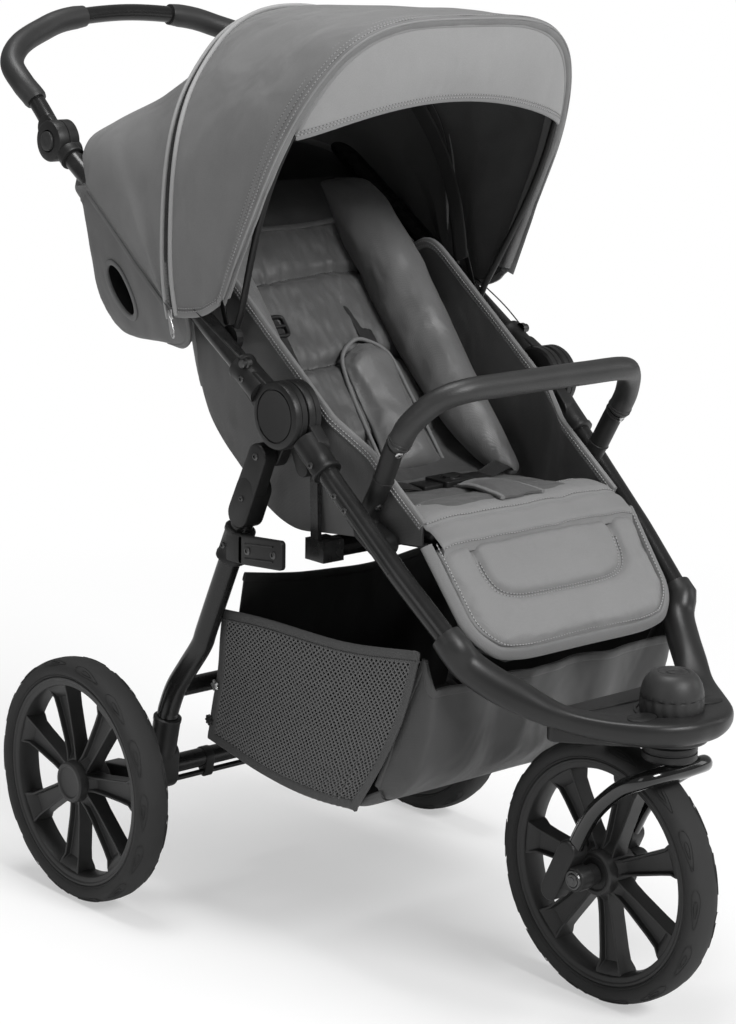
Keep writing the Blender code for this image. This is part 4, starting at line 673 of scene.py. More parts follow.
def sleeve(name, x, origin, angle, start, end, radius, body, neck=0.004):
    """The round sleeve that grips a tube, with a rounded collar at its mouth."""
    a, b = polar(origin, angle, start), polar(origin, angle, end)
    shares = (0.0, 0.30, 0.60, 0.86, 0.90, 0.985, 1.0, 1.0)
    radii = (radius + neck, radius + neck * 0.35, radius, radius - 0.0002, radius + 0.0012, radius + 0.0012, radius,
             0.0125)
    path = [at(x, *toward(a, b, s + (0.0005 * k if s == 1.0 else 0))) for k, s in enumerate(shares)]
    shape = Shape()
    shape.tube(path, list(radii), 32)
    return shape.piece(name, "hub", body, "plastic", 40.0)


def hubs():
    inner = (HUB_OUT - 2 * HUB_HALF - 0.0003, HUB_OUT - HUB_HALF - 0.0003)
    outer = (HUB_OUT - HUB_HALF, HUB_OUT)
    stay_top = (-0.315, 0.578)
    for name, side in SIDES:
        disc = hub_disc(f"fold_hub_inner_{name}", side, *inner, HUB, 0.0385, "front_frame")
        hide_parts(f"hub_front_{name}")
        cover = hub_disc(f"fold_hub_cover_{name}", side, *outer, HUB, 0.0385, "handle_frame", face=True)
        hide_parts(f"hub_rear_{name}")
        span = (side * (inner[0] + 0.002), side * (inner[1] - 0.001))
        neck = [(*polar(HUB, FRONT_ANGLE, 0.020), 0.0195), (*polar(HUB, FRONT_ANGLE, 0.050), 0.0172)]
        lobe = [(*HUB, 0.014), (*LEG_PIVOT, 0.014)]
        lug = [(*toward(HUB, stay_top, 0.3), 0.012), (*stay_top, 0.010)]
        hull_piece(f"fold_hub_lugs_{name}", [plate_points(c, *span) for c in (neck, lobe, lug)], "hub",
                   "front_frame", "plastic", 0.0018)
        span = (side * (outer[0] + 0.001), side * (outer[1] - 0.0025))
        neck = [(*polar(HUB, HANDLE_ANGLE, 0.020), 0.0195), (*polar(HUB, HANDLE_ANGLE, 0.050), 0.0172)]
        hull_piece(f"fold_hub_neck_{name}", [plate_points(neck, *span)], "hub", "handle_frame", "plastic", 0.0025)
        sleeve(f"front_tube_sleeve_{name}", side * FRONT_X, HUB, FRONT_ANGLE, 0.040, 0.087, 0.0160, "front_frame",
               0.001)
        sleeve(f"handle_tube_sleeve_{name}", side * LEG_X, HUB, HANDLE_ANGLE, 0.040, 0.087, 0.0160, "handle_frame",
               0.001)
        for k, (angle, reach, px, body) in enumerate(((FRONT_ANGLE, 0.073, side * (FRONT_X + 0.0160), "front_frame"),
                                                      (HANDLE_ANGLE, 0.064, side * (LEG_X + 0.0160), "handle_frame"))):
            screw(f"sleeve_screw_{k}_{name}", at(px, *polar(HUB, angle, reach)), (side, 0, 0), body, 0.0038)
        stud = polar(polar(HUB, HANDLE_ANGLE, 0.074), HANDLE_ANGLE + 90, 0.014)
        lock = Shape()
        lock.lathe([(0, 0.0075), (0.0042, 0.0072), (0.0052, 0.0060), (0.0052, 0.0020), (0.0068, 0.0012),
                    (0.0070, -0.004)],
                   at(side * (LEG_X + 0.0085), *stud), "X", 28)
        if side < 0:
            lock.verts = [(2 * side * (LEG_X + 0.0085) - v[0], v[1], v[2]) for v in lock.verts]
        lock.piece(f"lock_stud_{name}", "screw", "handle_frame", "steel")
        cable = Shape()
        low = at(side * (LEG_X + 0.0100), *stud)
        top = polar(HUB, HANDLE_ANGLE, 0.205)
        high = at(side * (LEG_X + 0.0105), top[0] - 0.004, top[1] + 0.006)
        cable.tube(smooth_path([low, low.lerp(high, 0.35) + Vector((side * 0.0035, 0, 0.002)),
                                low.lerp(high, 0.75) + Vector((side * 0.0030, 0, 0.001)), high], 6), 0.0008, 8)
        cable.piece(f"release_cable_{name}", "plastic", "handle_frame", "steel")


def tubes():
    for name, side in SIDES:
        route = [at(side * FRONT_X, *polar(HUB, FRONT_ANGLE, 0.080)),
                 at(side * FRONT_X, *polar(HUB, FRONT_ANGLE, 0.093)),
                 at(side * 0.1965, *polar(HUB, FRONT_ANGLE, 0.105))]
        for t in (0.25, 0.5, 0.75, 1.0):
            route.append(at(side * lerp(0.1962, 0.1890, t), *polar(HUB, FRONT_ANGLE, lerp(0.105, 0.234, t))))
        route += [at(side * 0.1845, *polar(HUB, FRONT_ANGLE, 0.276)),
                  at(side * 0.1785, *polar(HUB, FRONT_ANGLE, 0.328))]
        shape = Shape()
        shape.tube(smooth_path(route, 4), 0.012, 32)
        obj = shape.piece(f"front_frame_tube_{name}", "tube", "front_frame", "tube")
        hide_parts(f"front_tube_{name}")
        groove = Shape()
        line = [at(side * (lerp(0.1962, 0.1893, t) + 0.0119), *polar(HUB, FRONT_ANGLE, lerp(0.094, 0.228, t)))
                for t in (0, 0.25, 0.5, 0.75, 1)]
        groove.tube(line, 0.0021, 8, flat=0.5, side_axis=polar_axis(FRONT_ANGLE + 90))
        groove.piece(f"front_tube_channel_{name}", "plastic", "front_frame", "tube")
        for k, reach in enumerate((0.118, 0.139)):
            screw(f"front_tube_screw_{k}_{name}", at(side * (lerp(0.1962, 0.1893, (reach - 0.094) / 0.134) + 0.0122),
                                                     *polar(HUB, FRONT_ANGLE, reach)), (side, 0,
                                                             0), "front_frame", 0.0036)
        shape = Shape()
        shape.tube([at(side * LEG_X, *polar(HUB, HANDLE_ANGLE, r)) for r in (0.080, 0.2, 0.32, 0.4720)], 0.012, 32)
        obj = shape.piece(f"handle_side_tube_{name}", "tube", "handle_frame", "tube")
        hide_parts(f"handle_tube_{name}")


def polar_axis(degrees):
    y, z = polar((0.0, 0.0), degrees, 1.0)
    return (0.0, y, z)


def nose():
    """The moulded bridge: a swept U whose top runs flat into the deck that holds the swivel."""
    lean = 0.0095 / 0.085
    straight = polar(HUB, FRONT_ANGLE, 0.333)
    tip, high = TIP, 0.3465
    half = [at(0.1795 - lean * 0.014, *straight), at(0.1645, tip + 0.1830, high + 0.0540),
            at(0.1465, tip + 0.1570, high + 0.0345), at(0.1255, tip + 0.1265, high + 0.0195),
            at(0.1000, tip + 0.0925, high + 0.0080), at(0.0745, tip + 0.0525, high + 0.0015),
            at(0.0480, tip + 0.0175, high), at(0.0210, tip + 0.0020, high)]
    path = smooth_path(mirror_path(half, at(0, tip, high)), 5)
    first = at(0.1795, *polar(HUB, FRONT_ANGLE, 0.3193))
    path = [first] + path + [Vector((-first.x, first.y, first.z))]
    radii = [0.0185] * len(path)
    for k, r in ((0, 0.0172), (1, 0.0185)):
        radii[k] = radii[-1 - k] = r
    shape = Shape()
    shape.tube(path, radii, 40)
    level = PLATFORM + 0.0045
    flat = []
    for x, y, z in shape.verts:
        share = step(0.150, 0.075, abs(x)) * step(tip + 0.150 + SHIFT, tip + 0.085 + SHIFT, y)
        over = z - level
        if over > -0.006:
            squeezed = level - 0.006 + 0.006 * math.tanh((over + 0.006) / 0.0075) * 1.0
            z = lerp(z, min(z, squeezed), share)
        flat.append((x, y, z))
    shape.verts = flat
    bridge = shape.piece("nose_bridge_shell", "nose", "front_frame", "plastic", 60.0)
    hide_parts("nose_bridge")
    low = PLATFORM - 0.0305
    rear = SWIVEL_Y + 0.072
    outline = [((0.098, rear), 0.012), ((-0.098, rear), 0.012), ((0, SWIVEL_Y - 0.001), 0.040)]
    points = []
    for (cx, cy), r in outline:
        for z in (low, PLATFORM + 0.0010):
            points += [at(cx + r * math.cos(2 * math.pi * k / 40), cy + r * math.sin(2 * math.pi * k / 40),
                          z) for k in range(40)]
    hull_piece("nose_deck", [points], "nose", "front_frame", "plastic", 0.0030, 4)
    boss = Shape()
    z = PLATFORM
    boss.lathe([(0.0, low - 0.003), (0.0275, low - 0.003), (0.0300, low - 0.0010), (0.0300, low + 0.004),
                (0.0300, z - 0.002), (0.0, z - 0.002)], at(0, SWIVEL_Y, 0), "Z", 56)
    boss.piece("nose_boss", "nose", "front_frame", "plastic")
    well = Shape()
    well.lathe([(0.0368, z + 0.0008), (0.0375, z + 0.0026), (0.0392, z + 0.0030), (0.0408, z + 0.0022),
                (0.0412, z + 0.0006)], at(0, SWIVEL_Y, 0), "Z", 64)
    well.piece("knob_seat_ring", "nose", "front_frame", "plastic")
    slot = Shape()
    path = [at(x, SWIVEL_Y + 0.058 - 0.010 * (1 - (x / 0.088) ** 2), z + 0.0010) for x in
            [0.088 * (2 * k / 24 - 1) for k in range(25)]]
    slot.tube(path, 0.0016, 10, flat=0.8)
    slot.piece("deck_slot_bead", "plastic", "front_frame", "plastic")
    for k, side in enumerate((-1, 1)):
        pad = Shape()
        pad.lathe([(0, level + 0.0014), (0.0165, level + 0.0012), (0.0182, level + 0.0004), (0.0186, level - 0.0015)],
                  at(0, 0, 0), "Z", 48)
        cx, cy = side * 0.052, TIP + 0.0335 + SHIFT
        pad.verts = [(cx + v[0] * 1.0, cy + (v[1] - SHIFT) * 0.72, v[2]) for v in pad.verts]
        pad.piece(f"nose_tab_pad_{k}", "plastic", "front_frame", "plastic")


# Swivel, fork and knob


def swivel():
    top = PLATFORM - 0.0305 - 0.0033
    bottom = top - 0.0184
    ring = Shape()
    ring.lathe([(0.0, top), (0.0285, top), (0.0300, top - 0.0015), (0.0300, top - 0.0070), (0.0288, top - 0.0078),
                (0.0288, top - 0.0090), (0.0300, top - 0.0098), (0.0300, bottom + 0.0020), (0.0280, bottom), (0.0,
                        bottom)],
               at(0, SWIVEL_Y, 0), "Z", 64)
    obj = ring.piece("swivel_housing", "plastic", "caster", "plastic")
    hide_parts("swivel_stem")
    crown = bottom - 0.0003 - 0.0095
    y, z = FRONT_AXLE
    wide = 0.045
    half = [at(wide, y + 0.0120, z + 0.026), at(wide, y + 0.0100, z + 0.030), at(wide, y - 0.0060, z + 0.062),
            at(wide + 0.001, y - 0.0255, z + 0.089), at(wide + 0.004, y - 0.0590, z + 0.119),
            at(wide + 0.003, y - 0.0890, crown - 0.005), at(wide - 0.014, y - 0.0990, crown)]
    shape = Shape()
    shape.tube(smooth_path(mirror_path(half, at(0, y - 0.1005, crown)), 6), 0.0095, 36)
    obj = shape.piece("fork_tube", "gloss", "caster", "gloss_tube")
    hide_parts("fork")
    for name, side in SIDES:
        inside, outside = side * (wide - 0.0105), side * (wide + 0.0125)
        arm = [(y + 0.0115, z + 0.030, 0.0128), (y + 0.036, z - 0.021, 0.0128)]
        lug = [(y, z, 0.0142), (y + 0.028, z - 0.004, 0.013)]
        hull_piece(f"fork_socket_cover_{name}", [plate_points(arm, inside, outside)], "plastic", "caster", "plastic",
                   0.0030, 4)
        hull_piece(f"fork_axle_lug_{name}", [plate_points(lug, side * (wide - 0.009), side * (wide + 0.0095))],
                   "plastic",
                   "caster", "plastic", 0.0020)
        boss = Shape()
        edge = side * (wide + 0.0095)
        profile = [(0, 0.0036), (0.0036, 0.0036), (0.0042, 0.0030), (0.0066, 0.0030), (0.0076, 0.0022), (0.0078, 0.0)]
        boss.lathe([(r, h * side) for r, h in profile], at(edge, y, z), "X", 36)
        boss.piece(f"axle_bolt_{name}", "screw", "caster", "steel")
        collar = Shape()
        profile = [(0.0080, 0.0), (0.0080, 0.0016), (0.0088, 0.0022), (0.0106, 0.0018), (0.0112, 0.0)]
        collar.lathe([(r, h * side) for r, h in profile], at(edge, y, z), "X", 40)
        collar.piece(f"axle_washer_{name}", "screw", "caster", "steel")
        spacer = Shape()
        a, b = side * 0.0233, side * (wide - 0.008)
        spacer.tube([at(a, y, z), at(b, y, z)], 0.0118, 32)
        spacer.piece(f"axle_spacer_{name}", "plastic", "caster", "plastic")
    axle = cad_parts["front_axle"]
    axle.data.materials.clear()
    axle.data.materials.append(MAT["steel"])


def knob():
    base = PLATFORM + 0.0003
    profile = [(0.0, 0.0436), (0.0100, 0.0436), (0.0108, 0.0444), (0.0150, 0.0446), (0.0164, 0.0438), (0.0176, 0.0448),
               (0.0196, 0.0448), (0.0235, 0.0432), (0.0280, 0.0385), (0.0318, 0.0318), (0.0340, 0.0235),
               (0.0347, 0.0190), (0.0341, 0.0172), (0.0349, 0.0155), (0.0350, 0.0060), (0.0344, 0.0012), (0.0330,
                       0.0), (0.0,
                               0.0)]

    def ribs(k, j, r, h):
        if 0.003 < h < 0.019 and r > 0.030:
            return (r - 0.0009 * (1 if j % 6 < 3 else 0), h)
        return (r, h)

    shape = Shape()
    shape.lathe([(r, base + h) for r, h in profile], at(0, SWIVEL_Y, 0), "Z", 108,
                lambda k, j, r, h: (lambda q: (q[0], base + q[1]))(ribs(k, j, r, h - base)))
    obj = shape.piece("swivel_lock_knob", "knob", "swivel_lock", "knob", 48.0)
    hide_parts("swivel_knob")
    bead = Shape()
    bead.tube([at(0.0065 * math.cos(t), SWIVEL_Y + 0.0065 * math.sin(t), base + 0.0438) for t in
               [math.pi * (0.15 + 1.2 * k / 14) for k in range(15)]], 0.0006, 8)
    bead.piece("knob_top_mark", "knob", "swivel_lock", "knob")


# Rear legs, housings and brake


def rear_legs():
    for name, side in SIDES:
        x = side * LEG_X
        start = polar(LEG_PIVOT, LEG_ANGLE, 0.060)
        route = smooth_path([at(x, *start), at(x, *toward(start, LEG_KNEE, 0.5)), at(x, *toward(start, LEG_KNEE, 0.88)),
                             at(x, *LEG_KNEE), at(x, -0.1200, 0.3066), at(x, -0.0970, 0.2770),
                             at(x, *toward(LEG_FOOT, BEAM, -0.15)), at(x, *LEG_FOOT)], 5)
        shape = Shape()
        shape.tube(route, 0.013, 32)
        leg = shape.piece(f"rear_leg_{name}", "tube", "legs", "tube")
        if side < 0:
            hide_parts("rear_leg_frame")
        outer = HUB_OUT - HUB_HALF
        tab = [(*LEG_PIVOT, 0.0125), (*polar(LEG_PIVOT, LEG_ANGLE, 0.046), 0.0128)]
        hull_piece(f"leg_tab_plate_{name}", [plate_points(tab, side * outer, side * (outer + 0.008))], "hub", "legs",
                   "plastic", 0.0012)
        cover = [(*polar(LEG_PIVOT, LEG_ANGLE, 0.046), 0.0165), (*polar(LEG_PIVOT, LEG_ANGLE, 0.079), 0.0172)]
        plate = [(*LEG_PIVOT, 0.0150), (*polar(LEG_PIVOT, LEG_ANGLE, 0.050), 0.0165)]
        hull_piece(f"leg_top_cover_{name}", [plate_points(cover, x - 0.0140, x + 0.0140),
                                             plate_points(plate, side * (outer + 0.0004),
                                                          x + side * 0.0138)], "hub", "legs",
                   "plastic", 0.0030, 3)
        screw(f"leg_pivot_rivet_{name}", at(x + side * 0.0140, *LEG_PIVOT), (side, 0, 0), "legs", 0.0044)
        screw(f"leg_cover_screw_{name}", at(x + side * 0.0142, *polar(LEG_PIVOT, LEG_ANGLE, 0.058)), (side, 0, 0),
              "legs", 0.0034)
        brace(name, side, x)
        housing(name, side, x)
    shape = Shape()
    y, z = LEG_CROSS
    shape.tube([at(px, y, z) for px in (-LEG_X, -0.1, 0.0, 0.1, LEG_X)], 0.011, 28)
    shape.piece("leg_cross_bar", "tube", "legs", "tube")


def brace(name, side, x):
    """The collar round the leg and the flat stay that reaches forward from it."""
    ends = [polar(COLLAR, LEG_ANGLE, reach * 0.044) for reach in (-0.5, 0.5)]
    outer = 0.0138 + 0.0032
    shape = Shape()
    path = [at(x, *toward(*ends, t)) for t in (0.0, 0.0, 0.04, 0.12, 0.16, 0.84, 0.88, 0.96, 1.0, 1.0)]
    radii = [0.0132, outer - 0.0008, outer + 0.0012, outer + 0.0012, outer, outer, outer + 0.0012, outer + 0.0012,
             outer - 0.0008, 0.0132]
    path[0] = path[1] + (path[2] - path[1]) * 0.01
    path[-1] = path[-2] - (path[-2] - path[-3]) * 0.01
    shape.tube(path, radii, 36)
    collar = shape.piece(f"leg_collar_{name}", "plastic", "legs", "plastic")
    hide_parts(f"leg_brace_{name}")
    root = (COLLAR[0] - 0.013 - 0.017, COLLAR[1])
    tip = (COLLAR[0] - 0.098, COLLAR[1] + 0.006)
    high = x + side * outer
    low = high - side * 0.0070
    corner = 0.005
    arm = [(y, z + rise, corner) for y, z in (root, tip) for rise in (-0.017 + corner, 0.017 - corner)]
    near = [(COLLAR[0] - 0.030, COLLAR[1] + rise, 0.003) for rise in (-0.014, 0.014)]
    near += [(COLLAR[0] - 0.006, COLLAR[1] + rise, 0.003) for rise in (-0.014, 0.014)]
    hull_piece(f"leg_stay_plate_{name}", [plate_points(arm, low, high), plate_points(near, low, high)], "plastic",
               "legs",
               "plastic", 0.0014)
    lines = Shape()
    for rise in (-0.0085, 0.0085):
        lines.tube([at(high, root[0] - 0.008, root[1] + rise), at(high, tip[0] + 0.010, tip[1] + rise)], 0.0012, 8)
    lines.piece(f"leg_stay_ribs_{name}", "plastic", "legs", "plastic")
    for k, share in enumerate((0.18, 0.86)):
        y, z = toward(root, tip, share)
        screw(f"leg_stay_bolt_{k}_{name}", at(high, y, z), (side, 0, 0), "legs", 0.0048)
    screw(f"leg_collar_screw_{name}", at(x + side * (outer + 0.0002), COLLAR[0] + 0.002, COLLAR[1] - 0.001),
          (side, 0, 0), "legs",
          0.0036)


def housing(name, side, x):
    """Sleeve at the foot of the leg, with the column that takes the beam and the wheel's stub axle."""
    top, foot = toward(LEG_FOOT, BEAM, 0.004), toward(LEG_FOOT, BEAM, 0.75)
    shape = Shape()
    path = [at(x, *toward(top, foot, t)) for t in (0.0, 0.01, 0.03, 0.10, 0.14, 0.5, 1.0)]
    shape.tube(path, [0.0132, 0.0160, 0.0172, 0.0172, 0.0165, 0.0165, 0.0165], 36)
    obj = shape.piece(f"axle_sleeve_{name}", "plastic", "legs", "plastic")
    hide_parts(f"axle_housing_{name}")
    low, high = x - side * 0.016, x + side * 0.016
    column = [(BEAM[0], BEAM[1] - 0.008, 0.018), (*foot, 0.016)]
    arm = [(BEAM[0], BEAM[1] - 0.010, 0.016), (*REAR_AXLE, 0.015)]
    plate_out = side * (TRACK / 2 - 0.023 - 0.0003)
    hull_piece(f"axle_column_{name}", [plate_points(column, low, high),
                                       plate_points(arm, high - side * 0.006,
                                                    plate_out - side * 0.008)], "plastic", "legs",
               "plastic", 0.0022)
    boss = Shape()
    boss.tube([at(high - side * 0.004, *REAR_AXLE), at(plate_out - side * 0.001, *REAR_AXLE),
               at(plate_out, *REAR_AXLE)],
              [0.0125, 0.0125, 0.0115], 32)
    boss.piece(f"axle_boss_{name}", "plastic", "legs", "plastic")
    screw(f"axle_sleeve_screw_{name}", at(x + side * 0.0168, *toward(top, foot, 0.45)), (side, 0, 0), "legs", 0.0034)


def beam():
    half = LEG_X - 0.016
    shape = Shape()
    shape.tube([at(px, *BEAM) for px in (-half, -0.1, 0.0, 0.1, half)], 0.0115, 32)
    obj = shape.piece("rear_axle_beam", "tube", "legs", "tube")
    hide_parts("rear_beam")
    rod = (BEAM[0] - 0.003, BEAM[1] - 0.018)
    thin = Shape()
    thin.tube([at(px, *rod) for px in (-half, 0.0, half)], 0.0035, 16)
    thin.piece("brake_link_rod", "tube", "legs", "tube")
    for k in (-1, 1):
        clip = [(*BEAM, 0.0128), (*rod, 0.0062)]
        hull_piece(f"rod_clip_{(k + 1) // 2}", [plate_points(clip, k * 0.138 - 0.006, k * 0.138 + 0.006)], "plastic",
                   "legs",
                   "plastic", 0.0010)
    axis = (BEAM[0] + 0.0115 * math.cos(math.pi / 16) + 0.0083, BEAM[1])
    tread = [(*axis, 0.008), (axis[0] + 0.055, axis[1] + 0.012, 0.0045)]
    pedal = hull_piece("brake_foot_pedal", [plate_points(tread, -0.045, 0.045)], "plastic", "brake", "plastic",
                       0.0022, 3)
    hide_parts("brake_pedal")
    ribs = Shape()
    for k in range(5):
        y, z = toward(axis, (axis[0] + 0.055, axis[1] + 0.012), 0.50 + 0.09 * k)
        y2, z2 = polar((y, z), math.degrees(math.atan2(0.012, 0.055)) + 90, 0.0058 - 0.0003 * k)
        ribs.tube([at(-0.038, y2, z2), at(0.038, y2, z2)], 0.0013, 8)
    ribs.piece("brake_pedal_ribs", "grip", "brake", "plastic")


# Seat carrier and boards that stay as the solids are


def carried_over():
    """Solids whose own shape is right keep it and get a finished material."""
    for node, mat in (("seat_board", "plastic"), ("back_board", "plastic"), ("footrest_board", "plastic"),
                      ("seat_carrier", "tube"), ("buckle_button", "screw"), ("canopy_clip_left", "plastic"),
                      ("canopy_clip_right", "plastic")):
        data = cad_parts[node].data
        data.materials.clear()
        data.materials.append(MAT[mat])
    for name, side in SIDES:
        face = side * (LEG_X - 0.012 - 0.0003 - 0.009)
        shape = Shape()
        profile = [(0.0, 0.0022), (0.0068, 0.0022), (0.0080, 0.0012), (0.0118, 0.0010), (0.0130, 0.0)]
        shape.lathe([(r, -side * h) for r, h in profile], at(face, *CANOPY_PIVOT), "X", 36)
        shape.piece(f"canopy_clip_cap_{name}", "plastic", "handle_frame", "plastic")


# Handle


def loop_points():
    y, z = HANDLE_JOINT
    share = [(0.0, 0.0, 0.2069), (0.170, 0.165, 0.2055), (0.325, 0.330, 0.2080), (0.445, 0.450, 0.2135),
             (0.640, 0.605, 0.2100), (0.800, 0.745, 0.1840), (0.925, 0.860, 0.1400), (0.985, 0.955, 0.0900)]
    half = [at(x, y + 0.1449 * a, z + 0.1428 * b) for a, b, x in share]
    return smooth_path(mirror_path(half, at(0, y + 0.1449, z + 0.1428)), 8)


def handle():
    points = loop_points()
    rise = math.degrees(math.atan2(0.1428, 0.1449))
    near = polar(HANDLE_JOINT, rise, 0.020)
    far = [p for p in points if (p - at(p.x, *HANDLE_JOINT)).length > 0.031]
    shape = Shape()
    shape.tube([at(far[0].x, *near)] + far + [at(far[-1].x, *near)], 0.0105, 28)
    loop = shape.piece("handle_bar", "tube", "handle", "tube")
    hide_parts("handle_loop")
    for name, side in SIDES:
        part = [p for p in points if p.x * side > 0.060 and (p - at(p.x, *HANDLE_JOINT)).length > 0.060]
        part = part if part[0].x * side < part[-1].x * side or side < 0 else part
        ordered = part if abs(part[0].x) < abs(part[-1].x) else part[::-1]
        count = len(ordered)
        radii = []
        for k in range(count):
            end = min(k, count - 1 - k)
            radii.append(0.0134 if end == 0 else 0.0145)
        ordered = [ordered[0] + (ordered[0] - ordered[1]) * 0.25] + ordered[1:]
        shape = Shape()
        shape.tube(ordered, radii, 36)
        grip = shape.piece(f"handle_grip_{name}", "grip", "handle", "grip")
        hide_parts(f"grip_{name}")
        seam = Shape()
        below = [p + Vector((0, 0.0030, -0.0141)) for p in ordered[1:-1]]
        seam.tube(below, STITCH, 6)
        seam.piece(f"handle_grip_seam_{name}", "dark_thread", "handle", "grip")
        joint_parts(name, side, rise)


def ring_round(path, index, radius, count=40):
    """A closed ring of points round a path at one of its points."""
    p = path[index]
    tangent = (path[index + 1] - path[index - 1]).normalized()
    a = tangent.orthogonal().normalized()
    b = tangent.cross(a)
    return [p + (a * math.cos(t) + b * math.sin(t)) * radius for t in [2 * math.pi * k / count for k in range(count)]]


def joint_parts(name, side, rise):
    low_x, mid_x, high_x = LEG_X - 0.0155, LEG_X, LEG_X + 0.0155
    shape = Shape()
    profile = [(0, low_x), (0.0225, low_x), (0.0250, low_x + 0.002), (0.0250, mid_x - 0.0009), (0.0242, mid_x - 0.0003),
               (0, mid_x - 0.0003)]
    shape.lathe([(r, h * side) for r, h in profile], at(0, *HANDLE_JOINT), "X", 56)
    inner = shape.piece(f"handle_hinge_inner_{name}", "hub", "handle_frame", "plastic", 32.0)
    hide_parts(f"handle_joint_{name}")
    neck = [(*polar(HANDLE_JOINT, HANDLE_ANGLE + 180, 0.012), 0.0135),
            (*polar(HANDLE_JOINT, HANDLE_ANGLE + 180, 0.022), 0.0135)]
    hull_piece(f"handle_hinge_neck_{name}", [plate_points(neck, side * (low_x + 0.001), side * (mid_x - 0.0006))],
               "hub",
               "handle_frame", "plastic", 0.0015)
    shape = Shape()
    ends = [polar(HANDLE_JOINT, HANDLE_ANGLE + 180, r) for r in (0.024, 0.0372)]
    shape.tube([at(side * LEG_X, *toward(*ends, t)) for t in (0.0, 0.6, 0.7, 0.95, 1.0)],
               [0.0150, 0.0150, 0.0156, 0.0156, 0.0140], 32)
    shape.piece(f"handle_hinge_sleeve_{name}", "hub", "handle_frame", "plastic")
    shape = Shape()
    profile = [(0, mid_x), (0.0242, mid_x), (0.0250, mid_x + 0.0008), (0.0250, high_x - 0.0030),
               (0.0240, high_x - 0.0010),
               (0.0222, high_x), (0.0136, high_x), (0.0128, high_x - 0.0012), (0.0126, high_x - 0.0050), (0,
                       high_x - 0.0050)]
    shape.lathe([(r, h * side) for r, h in profile], at(0, *HANDLE_JOINT), "X", 56)
    shape.piece(f"handle_hinge_outer_{name}", "hub", "handle", "plastic", 32.0)
    knuckle = [(*polar(HANDLE_JOINT, rise, 0.004), 0.0190), (*polar(HANDLE_JOINT, rise, 0.020), 0.0165)]
    hull_piece(f"handle_knuckle_{name}", [plate_points(knuckle, side * (mid_x + 0.0006), side * (high_x - 0.0060))],
               "hub",
               "handle", "plastic", 0.0018)
    shape = Shape()
    face = high_x + 0.0030
    profile = [(0, face - 0.0004), (0.0040, face - 0.0003), (0.0100, face), (0.0116, face - 0.0008),
               (0.0120, face - 0.0024),
               (0.0120, high_x - 0.0024)]
    shape.lathe([(r, h * side) for r, h in profile], at(0, *HANDLE_JOINT), "X", 40)
    obj = shape.piece(f"handle_release_{name}", "knob", f"handle_release_{name}", "plastic")
    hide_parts(f"handle_button_{name}")


# Bumper bar


def bumper():
    x = 0.170
    joint, front = (-0.443, 0.623), (-0.4945, 0.6845)
    rise = (front[0] - joint[0], front[1] - joint[1])
    half = [at(x, *toward(joint, front, 0.004)), at(x, *toward(joint, front, 0.09)),
            at(x - 0.003, joint[0] + 0.32 * rise[0], joint[1] + 0.40 * rise[1]),
            at(x - 0.021, joint[0] + 0.70 * rise[0], joint[1] + 0.80 * rise[1]),
            at(x - 0.050, joint[0] + 1.00 * rise[0], joint[1] + 0.985 * rise[1]),
            at(x - 0.110, joint[0] + 1.06 * rise[0], joint[1] + 1.01 * rise[1])]
    path = smooth_path(mirror_path(half, at(0, front[0] - 0.004, front[1] + 0.001)), 7)
    count = len(path)
    radii = [0.0122 if min(k, count - 1 - k) == 0 else 0.0134 for k in range(count)]
    shape = Shape()
    shape.tube(path, radii, 40)
    bar = shape.piece("bumper_grip", "grip", "bumper", "grip")
    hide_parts("bumper_bar")
    seams = Shape()
    for index in (5, count - 6):
        seams.tube(ring_round(path, index, 0.0135), 0.0008, 8, closed=True)
        seams.tube(ring_round(path, index + (2 if index < 20 else -2), 0.0135), 0.0006, 8, closed=True)
    seams.piece("bumper_grip_seams", "grip", "bumper", "grip")
    for name, side in SIDES:
        s, low = side * x, side * 0.1635
        route = [at(s, *toward(joint, front, -0.02)), at(s, *toward(joint, front, -0.14)),
                 at((s + low) / 2, joint[0] + 0.029, joint[1] - 0.050), at(low, joint[0] + 0.052, joint[1] - 0.086),
                 at(low, joint[0] + 0.050, joint[1] - 0.105)]
        route = smooth_path(route, 6)
        shape = Shape()
        shape.tube(route, [0.0108] + [0.0115] * (len(route) - 1), 32)
        arm = shape.piece(f"bumper_socket_{name}", "plastic", "front_frame", "plastic")
        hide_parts(f"bumper_arm_{name}")
        rings = Shape()
        rings.tube(ring_round(route, 3, 0.0115), 0.0014, 8, closed=True)
        rings.tube(ring_round(route, 11, 0.0115), 0.0010, 8, closed=True)
        rings.piece(f"bumper_socket_rings_{name}", "plastic", "front_frame", "plastic")
        foot = [(joint[0] + 0.050, joint[1] - 0.105, 0.011), (joint[0] + 0.026, joint[1] - 0.116, 0.013)]
        hull_piece(f"bumper_foot_{name}", [plate_points(foot, side * 0.1530, side * 0.1798)], "plastic", "front_frame",
                   "plastic", 0.0022)
        for k, index in enumerate((4, 15)):
            p = route[index]
            tangent = (route[index + 1] - route[index - 1]).normalized()
            out = Vector((0.15 * side, -0.85, -0.25))
            out = (out - tangent * out.dot(tangent)).normalized()
            screw(f"bumper_stud_{k}_{name}", p + out * 0.0116, out, "front_frame", 0.0046,
                  "steel" if k == 0 else "screw")


# Cloth helpers


def resample(points, count):
    """The same line with count + 1 evenly spaced points."""
    points = [Vector(p) for p in points]
    reach = [0.0]
    for a, b in zip(points, points[1:]):
        reach.append(reach[-1] + (b - a).length)
    out, k = [], 0
    for n in range(count + 1):
        goal = reach[-1] * n / count
        while k < len(reach) - 2 and reach[k + 1] < goal:
            k += 1
        span = reach[k + 1] - reach[k]
        out.append(points[k].lerp(points[k + 1], 0 if span < 1e-9 else min(1.0, (goal - reach[k]) / span)))
    return out


